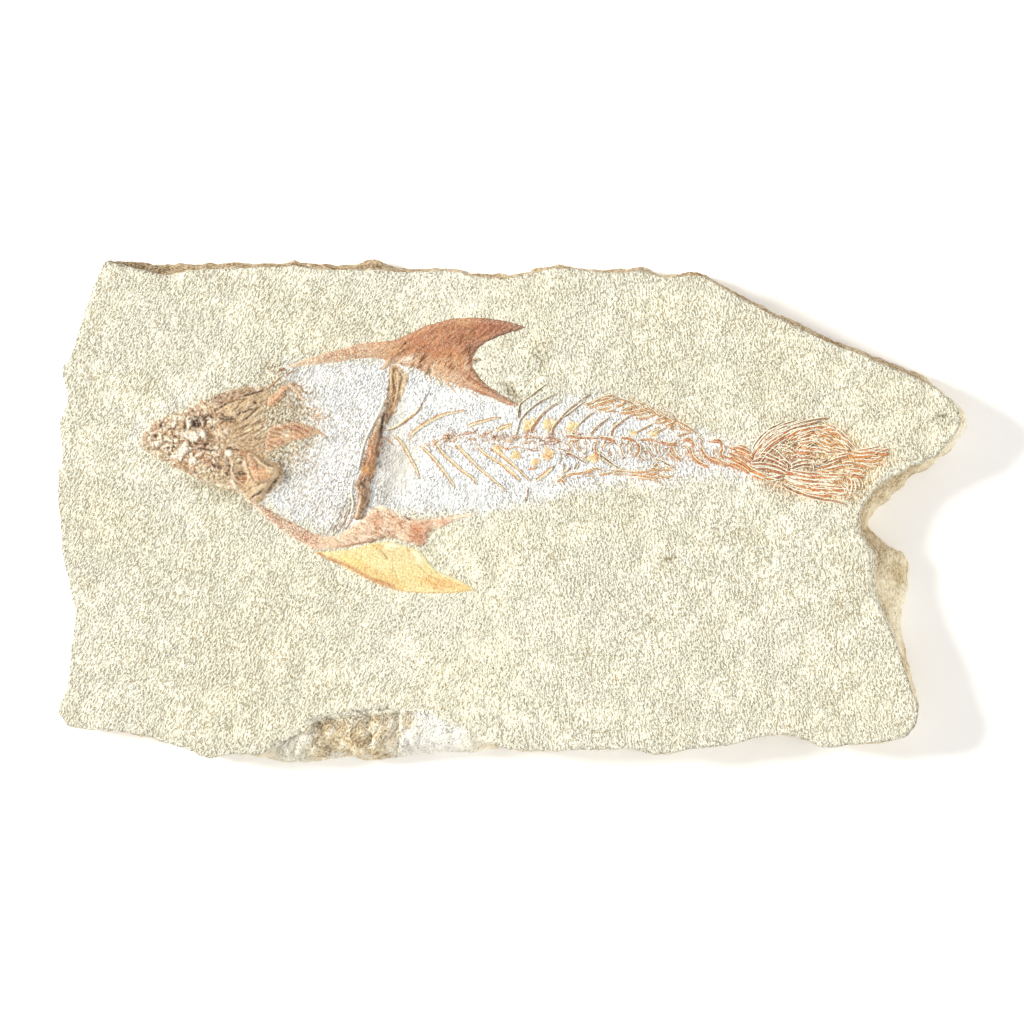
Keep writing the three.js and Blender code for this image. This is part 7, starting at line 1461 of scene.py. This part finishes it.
    bone("dorsal_fin_rays", rods(toned(DORSAL, (214, 172, 118), 0.42), 801, 0.28) + rods(flanked(DORSAL, 1.4, 1.0), 805)
         + rods(scatter_rods(802, 60, [(584, 404), (610, 394), (640, 402), (668, 414), (694, 430), (676, 432), (640, 420), (604, 414)], 5.5, 22, 45, 1.0, ((206, 156, 108), (222, 180, 134), (186, 134, 90), (232, 200, 158)), 0.28), 803), "dorsal_fin", my)
    bone("anal_fin_rays", rods(toned(ANAL, (220, 178, 126), 0.40), 821, 0.28) + rods(flanked(ANAL, 1.4, 1.0), 825)
         + rods(scatter_rods(822, 36, [(556, 482), (580, 470), (640, 470), (676, 464), (680, 478), (640, 481), (580, 477)], 5.0, 4, 30, 1.0, ((214, 164, 118), (196, 140, 96), (232, 196, 156)), 0.26), 823), "anal_fin", my)
    bone("tail_base_bones", rods(toned(TAILBASE, (212, 158, 100), 0.50), 841, 0.46) + rods(flanked(TAILBASE, 1.4, 1.2), 845)
         + rods(scatter_rods(842, 16, [(730, 448), (752, 450), (754, 474), (730, 464)], 5, 30, 20, 1.1, ((206, 140, 92), (176, 108, 70), (226, 170, 124)), 0.5), 843), "tail_base", mt)
    fan_u = [(756, 452), (768, 436), (790, 430), (820, 428), (842, 438), (852, 452), (812, 456), (786, 454)]
    fan_l = [(784, 474), (812, 474), (850, 470), (862, 476), (852, 498), (820, 494), (792, 486)]
    fan_e = [(848, 450), (876, 449), (891, 451), (878, 463), (862, 474), (846, 470), (836, 460)]
    fan_m = [(756, 456), (790, 456), (836, 458), (840, 470), (800, 472), (760, 472)]
    ad = lambda a, b: math.degrees(math.atan2(b - 464, a - 720)) * 1.0
    bone("tail_fin_rays", rods(toned(TAIL_RAYS, (208, 146, 80), 0.50), 861, 0.36) + rods(flanked(TAIL_RAYS, 1.5, 1.35, (255, 252, 244), 0.52), 871, 0.52) + rods(flanked(TAIL_RAYS[::2], 1.5, 1.2, (255, 252, 244), 0.50, -1), 873, 0.50)
         + rods(scatter_rods(862, 90, fan_u, 8, lambda a, b: -30 if a < 812 else 20, 18, 1.0, ((206, 144, 96), (222, 168, 118), (190, 124, 78), (232, 190, 140), (216, 156, 92)), 0.34), 863)
         + rods(scatter_rods(872, 100, fan_u, 7, lambda a, b: -30 if a < 812 else 20, 16, 1.0, ((255, 253, 246), (255, 246, 228)), 0.52), 873)
         + rods(scatter_rods(874, 90, fan_l, 8, 8, 12, 1.0, ((255, 253, 246), (255, 246, 228)), 0.52), 875)
         + rods(scatter_rods(864, 90, fan_l, 8, 8, 12, 1.0, ((212, 150, 104), (226, 174, 128), (196, 130, 88), (236, 198, 150)), 0.30), 865)
         + rods(scatter_rods(866, 70, fan_e, 6, lambda a, b: 10 if b > 462 else -8, 22, 1.1, ((222, 170, 118), (212, 150, 98), (236, 200, 150), (206, 146, 96)), 0.28), 867)
         + rods(scatter_rods(868, 70, fan_m, 6.5, 12, 30, 0.9, ((166, 114, 92), (190, 142, 118), (206, 160, 130), (150, 98, 80)), 0.28), 869), "tail_fin", mt)

# ================================================================== materials
class Nodes:
    """a short way to write node trees"""

    def __init__(self, name):
        self.m = bpy.data.materials.new(name); self.m.use_nodes = True
        self.t = self.m.node_tree
        self.b = self.t.nodes["Principled BSDF"]
        self.tc = self.t.nodes.new("ShaderNodeTexCoord").outputs["Object"]

    def put(self, v, sock):
        if hasattr(v, "is_linked") or hasattr(v, "links"):
            self.t.links.new(v, sock)
        elif isinstance(v, (tuple, list, np.ndarray)):
            v = tuple(float(q) for q in v)
            sock.default_value = v + (1.0,) if len(v) == 3 and len(sock.default_value) == 4 else v
        else:
            sock.default_value = v

    def attr(self, name, colour=False):
        n = self.t.nodes.new("ShaderNodeAttribute"); n.attribute_name = name
        return n.outputs["Color"] if colour else n.outputs["Fac"]

    def mapped(self, scale=(1, 1, 1), rotz=0.0, loc=(0, 0, 0)):
        n = self.t.nodes.new("ShaderNodeMapping")
        self.put(self.tc, n.inputs["Vector"])
        n.inputs["Rotation"].default_value = (0, 0, math.radians(rotz))
        n.inputs["Scale"].default_value = scale
        n.inputs["Location"].default_value = loc
        return n.outputs["Vector"]

    def stretched(self, rotz, scale):
        """turned about the vertical first, and stretched afterwards"""
        a = self.t.nodes.new("ShaderNodeMapping")
        self.put(self.tc, a.inputs["Vector"]); a.inputs["Rotation"].default_value = (0, 0, math.radians(rotz))
        b = self.t.nodes.new("ShaderNodeMapping")
        self.put(a.outputs["Vector"], b.inputs["Vector"]); b.inputs["Scale"].default_value = scale
        return b.outputs["Vector"]

    def noise(self, scale, detail=3, rough=0.55, vec=None, dist=0.0):
        """scale in features per metre"""
        n = self.t.nodes.new("ShaderNodeTexNoise")
        self.put(vec if vec is not None else self.tc, n.inputs["Vector"])
        n.inputs["Scale"].default_value = scale; n.inputs["Detail"].default_value = detail
        n.inputs["Roughness"].default_value = rough; n.inputs["Distortion"].default_value = dist
        return n.outputs["Fac"]

    def voronoi(self, scale, vec=None, feature="F1", out="Distance"):
        n = self.t.nodes.new("ShaderNodeTexVoronoi"); n.feature = feature
        self.put(vec if vec is not None else self.tc, n.inputs["Vector"])
        n.inputs["Scale"].default_value = scale
        return n.outputs[out]

    def math(self, op, a, b=0.0, c=0.0, clamp=False):
        n = self.t.nodes.new("ShaderNodeMath"); n.operation = op; n.use_clamp = clamp
        self.put(a, n.inputs[0]); self.put(b, n.inputs[1])
        if len(n.inputs) > 2:
            self.put(c, n.inputs[2])
        return n.outputs[0]

    def ramp(self, fac, lo, hi, smooth_step=True):
        """0 below lo, 1 above hi"""
        n = self.t.nodes.new("ShaderNodeMapRange")
        n.interpolation_type = "SMOOTHSTEP" if smooth_step else "LINEAR"
        self.put(fac, n.inputs["Value"])
        n.inputs["From Min"].default_value = lo; n.inputs["From Max"].default_value = hi
        return n.outputs["Result"]

    def mix(self, a, b, f, blend="MIX"):
        n = self.t.nodes.new("ShaderNodeMix"); n.data_type = "RGBA"; n.blend_type = blend
        self.put(f, n.inputs[0]); self.put(a, n.inputs[6]); self.put(b, n.inputs[7])
        return n.outputs[2]

    def bump(self, height, dist_mm, strength=1.0, normal=None):
        n = self.t.nodes.new("ShaderNodeBump")
        self.put(height, n.inputs["Height"])
        n.inputs["Distance"].default_value = dist_mm / 1000.0
        n.inputs["Strength"].default_value = strength
        if normal is not None:
            self.put(normal, n.inputs["Normal"])
        return n.outputs["Normal"]

    def done(self, colour, rough, normal, spec=0.35):
        self.put(colour, self.b.inputs["Base Color"])
        self.put(rough, self.b.inputs["Roughness"])
        if normal is not None:
            self.put(normal, self.b.inputs["Normal"])
        self.b.inputs["Specular IOR Level"].default_value = spec
        return self.m


def stone_material():
    k = Nodes("limestone_prepared")
    body, head, strk = k.attr("body"), k.attr("head"), k.attr("strk")
    wall, edge, chip, bed = k.attr("wall"), k.attr("edge"), k.attr("chip"), k.attr("bed")
    calm, stain, tanw, chip_relief = k.attr("calm"), k.attr("stain"), k.attr("tanw"), k.attr("chip_relief")
    sc = k.attr("StainAndShade", True)
    # fine pecks between the modelled ones, leaning with them
    xyz = k.t.nodes.new("ShaderNodeSeparateXYZ"); k.put(k.tc, xyz.inputs[0])
    side = k.ramp(xyz.outputs["X"], -0.045, 0.02)
    vl = k.stretched(-62, (0.66, 1.0, 1.0)); vr = k.stretched(-101, (0.62, 1.0, 1.0))
    nl = k.noise(1800, 1, 0.50, vl, 0.0); nr = k.noise(1800, 1, 0.50, vr, 0.0)
    coarse = k.noise(150, 3, 0.6)
    facets = k.noise(260, 2, 0.5)
    fine = k.math("ADD", k.math("MULTIPLY", nl, k.math("SUBTRACT", 1.0, side)), k.math("MULTIPLY", nr, side))
    pits = k.noise(2300, 2, 0.6)
    grit = k.noise(4200, 1, 0.5)
    blot = k.noise(40, 3, 0.6)
    blot2 = k.noise(190, 3, 0.6)
    wf = k.noise(900, 3, 0.62)
    wb = k.noise(110, 4, 0.66)
    # ground colour
    c = k.mix(lin(*STONE_A), lin(*STONE_B), k.ramp(blot, 0.36, 0.66))
    bc = k.mix(lin(251, 253, 253), lin(244, 248, 250), k.ramp(blot2, 0.40, 0.66))
    c = k.mix(c, bc, body)
    hc = k.mix(lin(232, 216, 186), lin(212, 190, 152), k.ramp(blot2, 0.42, 0.66))
    c = k.mix(c, hc, k.math("MULTIPLY", head, 0.45))
    # stains of the bed, with the painted shade and highlight of its dents, folds, wrinkles and flakes
    c = k.mix(c, sc, stain)
    # broken sides: cream where fresh, tan and olive where weathered; the tan along the back and right walls is also
    # painted shade
    fresh = k.mix(lin(248, 243, 226), lin(232, 220, 192), k.ramp(wb, 0.40, 0.62))
    weathered_and_shaded = k.mix(lin(249, 236, 203), lin(200, 176, 134), k.ramp(wb, 0.40, 0.66))
    weathered_and_shaded = k.mix(weathered_and_shaded, lin(236, 224, 190), k.math("MULTIPLY", k.ramp(bed, 0.05, 0.45), 0.6))
    wl = k.noise(34, 2, 0.5)
    weathered_and_shaded = k.mix(weathered_and_shaded, lin(176, 148, 106), k.math("MULTIPLY", k.ramp(wl, 0.50, 0.68), 0.48))
    weathered_and_shaded = k.mix(weathered_and_shaded, lin(252, 244, 220), k.math("MULTIPLY", k.ramp(wl, 0.46, 0.32), 0.55))
    wc = k.mix(fresh, weathered_and_shaded, tanw)
    # painted shade just under the rim of the tan walls
    wc = k.mix(wc, k.mix(wc, lin(150, 128, 98), 1.0, "MULTIPLY"), k.math("MULTIPLY", edge, k.math("MULTIPLY", tanw, 0.85)))
    # painted shade on the walls along the back edge
    high = k.math("MULTIPLY", k.ramp(xyz.outputs["Y"], 0.026, 0.040), k.math("ADD", 0.66, k.math("MULTIPLY", k.ramp(wb, 0.38, 0.64), 0.28)))
    wc = k.mix(wc, k.mix(wc, lin(180, 154, 120), 1.0, "MULTIPLY"), high)
    # painted shade on the wall at the back left corner
    wedge = k.math("MULTIPLY", k.ramp(xyz.outputs["X"], -0.090, -0.100), k.ramp(xyz.outputs["Y"], 0.058, 0.064))
    wc = k.mix(wc, k.mix(wc, lin(186, 170, 146), 1.0, "MULTIPLY"), k.math("MULTIPLY", wedge, 0.85))
    c = k.mix(c, wc, wall)
    # the chip: pale, with a tan middle that is partly stone colour and partly painted shade
    xw = k.math("ADD", xyz.outputs["X"], k.math("MULTIPLY", k.math("SUBTRACT", wb, 0.5), 0.022))
    brown = k.math("MULTIPLY", k.ramp(xw, -0.0265, -0.0365), k.ramp(xw, -0.0600, -0.0500))
    bare = k.math("MULTIPLY", k.ramp(xw, -0.0365, -0.0265), k.ramp(xw, -0.009, -0.018))
    cc = k.mix(lin(253, 247, 228), lin(253, 252, 244), bare)
    cc = k.mix(cc, lin(240, 217, 174), k.math("MULTIPLY", brown, 0.9))
    # painted shade in the chip's low hollows
    cc = k.mix(cc, lin(122, 92, 56), k.math("MULTIPLY", k.ramp(chip_relief, 0.10, -0.8), k.math("ADD", 0.02, k.math("MULTIPLY", brown, 0.42))))
    kn = k.noise(300, 3, 0.55, k.stretched(-62, (0.5, 1.0, 1.0)))
    # painted highlight on the chip's raised knobs and painted shade in the hollows between them
    cc = k.mix(cc, lin(255, 250, 234), k.math("MULTIPLY", k.ramp(kn, 0.50, 0.62), 0.85))
    cc = k.mix(cc, lin(160, 126, 84), k.math("MULTIPLY", k.ramp(kn, 0.46, 0.36), k.math("ADD", 0.03, k.math("MULTIPLY", brown, 0.62))))
    # painted shade just under the chip's rim
    cc = k.mix(cc, lin(112, 84, 52), k.math("MULTIPLY", edge, k.math("MULTIPLY", brown, 0.9)))
    c = k.mix(c, cc, chip)
    c = k.mix(c, lin(250, 247, 236), k.math("MULTIPLY", edge, k.math("SUBTRACT", 0.35, k.math("MULTIPLY", wall, 0.35))))
    # pecks: hollows painted darker as shade with a tan bloom, crests painted paler as highlight
    g = k.math("ADD", fine, k.math("MULTIPLY", strk, 0.085))
    rest = k.math("SUBTRACT", 1.0, k.math("MULTIPLY", calm, 0.85))
    hollow = k.math("MULTIPLY", k.math("MULTIPLY", k.ramp(g, 0.44, 0.35), rest), k.math("SUBTRACT", 1.0, k.math("MULTIPLY", wall, 0.6)))
    c_dark = k.mix(c, k.mix(lin(*HOLLOW), lin(208, 200, 190), body), 1.0, "MULTIPLY")
    c = k.mix(c, c_dark, k.math("MULTIPLY", hollow, HOLLOW_K))
    crest = k.math("MULTIPLY", k.ramp(g, 0.50, 0.60), rest)
    c = k.mix(c, k.mix(lin(252, 250, 232), lin(250, 253, 255), body), k.math("MULTIPLY", crest, k.math("SUBTRACT", 0.70, k.math("MULTIPLY", wall, 0.3))))
    # painted shade in the fine pits
    pk = k.ramp(pits, 0.40, 0.30)
    c_pit = k.mix(c, lin(176, 168, 146), 1.0, "MULTIPLY")
    c = k.mix(c, c_pit, k.math("MULTIPLY", pk, k.math("SUBTRACT", 0.25, k.math("MULTIPLY", wall, 0.2))))
    # tan patches in the hollows, partly stain and partly painted shade
    c_bit = k.mix(c, lin(190, 166, 120), 1.0, "MULTIPLY")
    c = k.mix(c, c_bit, k.math("MULTIPLY", k.ramp(blot2, 0.62, 0.74), k.math("MULTIPLY", hollow, 0.5)))
    crack = k.math("MULTIPLY", k.ramp(wf, 0.44, 0.34), wall)
    c_cr = k.mix(c, lin(150, 128, 96), 1.0, "MULTIPLY")
    c = k.mix(c, c_cr, k.math("MULTIPLY", crack, 0.14))
    h = k.math("ADD", k.math("MULTIPLY", k.ramp(fine, 0.34, 0.44), 0.31), k.math("ADD", k.math("MULTIPLY", fine, 0.6), k.math("MULTIPLY", pits, 0.28)))
    h = k.math("ADD", h, k.math("MULTIPLY", k.ramp(pits, 0.42, 0.30), -0.10))
    h = k.math("ADD", h, k.math("MULTIPLY", grit, 0.08))
    plain = k.math("MULTIPLY", wall, k.math("SUBTRACT", 1.0, k.math("MULTIPLY", chip, 0.42)))
    damp = k.math("SUBTRACT", 1.0, k.math("ADD", k.math("ADD", k.math("MULTIPLY", body, 0.24), k.math("MULTIPLY", calm, 0.52)), k.math("MULTIPLY", plain, 0.82)), clamp=True)
    patchy = k.math("ADD", 0.62, k.math("MULTIPLY", k.ramp(coarse, 0.34, 0.62), 0.60))
    nrm = k.bump(k.math("MULTIPLY", k.math("MULTIPLY", h, damp), patchy), BUMP, 1.0)
    nrm = k.bump(k.math("MULTIPLY", facets, k.math("SUBTRACT", wall, k.math("MULTIPLY", chip, 0.7))), 1.6, 1.0, nrm)
    nrm = k.bump(k.math("MULTIPLY", kn, k.math("MULTIPLY", chip, k.math("SUBTRACT", 1.0, k.math("MULTIPLY", bare, 0.45)))), 2.7, 1.0, nrm)
    nrm = k.bump(k.math("MULTIPLY", wf, k.math("SUBTRACT", wall, k.math("MULTIPLY", chip, 0.6))), 0.26, 1.0, nrm)
    rough = k.math("ADD", 0.82, k.math("MULTIPLY", blot, 0.12))
    return k.done(c, rough, nrm, 0.2)


STONE_A = (250, 245, 220)
STONE_B = (253, 251, 231)
HOLLOW = (200, 176, 132)
HOLLOW_K = 0.45
BUMP = 2.05


def bone_material(name, deep, rough=0.6, dust=0.5, lift=1.0):
    """mineral-stained bone: the modelled stain with the plates' painted relief shade and highlight, broken up by seams,
    flecks and clinging stone dust
    """
    k = Nodes(name)
    c = k.attr("Col", True)
    n1 = k.noise(780, 4, 0.62, None, 0.4)
    n2 = k.noise(1500, 3, 0.6)
    n3 = k.noise(3200, 2, 0.6)
    v = k.voronoi(1300, None, "DISTANCE_TO_EDGE")
    seam = k.ramp(v, 0.10, 0.0)
    c = k.mix(c, lin(255, 246, 232), 0.04 * lift)
    dark = k.mix(c, deep, 1.0, "MULTIPLY")
    sp = k.t.nodes.new("ShaderNodeSeparateColor"); k.put(c, sp.inputs[0])
    keep = k.math("SUBTRACT", 1.0, k.math("MULTIPLY", k.ramp(sp.outputs["Blue"], 0.50, 0.85), 0.65))      # dust and pale flakes take less stain
    dark = k.mix(c, dark, k.math("MULTIPLY", keep, 0.46))
    c = k.mix(c, dark, k.math("MULTIPLY", k.ramp(n1, 0.52, 0.66), 0.45))
    c = k.mix(c, dark, k.math("MULTIPLY", seam, 0.20))
    c = k.mix(c, dark, k.math("MULTIPLY", k.ramp(n3, 0.42, 0.32), 0.34))
    c = k.mix(c, lin(255, 247, 228), k.math("MULTIPLY", k.ramp(n2, 0.55, 0.64), dust * 0.8))
    c = k.mix(c, lin(255, 252, 242), k.math("MULTIPLY", k.ramp(n3, 0.60, 0.72), dust * 0.7))
    h = k.math("ADD", k.math("MULTIPLY", n1, 1.0), k.math("MULTIPLY", n2, 0.7))
    h = k.math("ADD", h, k.math("MULTIPLY", n3, 0.25))
    h = k.math("MULTIPLY", k.math("SUBTRACT", h, 0.975), keep)
    nrm = k.bump(h, 0.80, 1.0)
    nrm = k.bump(k.math("MULTIPLY", seam, -1.0), 0.07, 1.0, nrm)
    r = k.math("ADD", rough - 0.08, k.math("MULTIPLY", n1, 0.25))
    return k.done(c, r, nrm, 0.28)

# ====================================================================== stage
def build_stage():
    lo, hi = CAD_BOX
    me = bpy.data.meshes.new("floor")
    n = 24; ext = 6.0
    vs = [(-ext + 2 * ext * i / n, -ext + 2 * ext * j / n, lo.z) for j in range(n + 1) for i in range(n + 1)]
    fs = [(j * (n + 1) + i, j * (n + 1) + i + 1, (j + 1) * (n + 1) + i + 1, (j + 1) * (n + 1) + i) for j in range(n) for i in range(n)]
    me.from_pydata(vs, [], fs)
    floor = bpy.data.objects.new("floor", me)
    bpy.context.scene.collection.objects.link(floor)
    m = bpy.data.materials.new("floor_paper"); m.use_nodes = True
    nt = m.node_tree; b = nt.nodes["Principled BSDF"]
    b.inputs["Roughness"].default_value = 0.95
    b.inputs["Specular IOR Level"].default_value = 0.1
    b.inputs["Emission Color"].default_value = (1.0, 0.99, 0.97, 1)
    b.inputs["Emission Strength"].default_value = FLOOR_GLOW
    tc = nt.nodes.new("ShaderNodeTexCoord")
    nz = nt.nodes.new("ShaderNodeTexNoise"); nz.inputs["Scale"].default_value = 60
    nt.links.new(tc.outputs["Object"], nz.inputs["Vector"])
    mp = nt.nodes.new("ShaderNodeMix"); mp.data_type = "RGBA"
    mp.inputs[6].default_value = (0.90, 0.90, 0.90, 1); mp.inputs[7].default_value = (0.93, 0.93, 0.93, 1)
    nt.links.new(nz.outputs["Fac"], mp.inputs[0]); nt.links.new(mp.outputs[2], b.inputs["Base Color"])
    floor.data.materials.append(m)

    sc = bpy.context.scene
    sc.view_settings.view_transform = "Standard"
    sc.view_settings.look = "None"
    sc.view_settings.exposure = 0.0
    sc.view_settings.gamma = 1.0
    w = bpy.data.worlds.new("studio"); sc.world = w; w.use_nodes = True
    bg = w.node_tree.nodes["Background"]
    bg.inputs["Color"].default_value = (1.0, 0.975, 0.93, 1); bg.inputs["Strength"].default_value = AMBIENT

    def sun(name, az, el, strength, angle, col):
        l = bpy.data.lights.new(name, "SUN"); l.energy = strength; l.angle = math.radians(angle); l.color = col
        o = bpy.data.objects.new(name, l)
        a, e = math.radians(az), math.radians(el)
        d = Vector((math.cos(a) * math.cos(e), math.sin(a) * math.cos(e), math.sin(e)))   # towards the light
        o.rotation_mode = "QUATERNION"; o.rotation_quaternion = d.to_track_quat("Z", "Y")
        o.location = d * 1.5
        sc.collection.objects.link(o)
    sun("key", 180 - 14, KEY_EL, KEY, 13, (1.0, 0.98, 0.935))
    sun("fill", -18, 22, FILL, 50, (1.0, 0.985, 0.95))

    cam = bpy.data.cameras.new("camera"); co = bpy.data.objects.new("camera", cam)
    sc.collection.objects.link(co); sc.camera = co
    dist = 1.6
    cam.sensor_width = 36.0
    cam.lens = 36.0 * dist / (1024 * UNIT / 1000.0)
    cx, cy = P((512.0, 512.0)) / 1000.0
    co.location = (cx, cy, FACE / 1000.0 + dist)
    co.rotation_euler = (0, 0, 0)
    cam.clip_start = 0.1; cam.clip_end = 20


AMBIENT = 0.62
FLOOR_GLOW = 0.20
KEY = 3.55
KEY_EL = 33
FILL = 1.05

# ======================================================================= main
slab = build_slab()
slab.data.materials.append(stone_material())
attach(slab, "root"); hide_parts("slab")
build_bones()
build_stage()
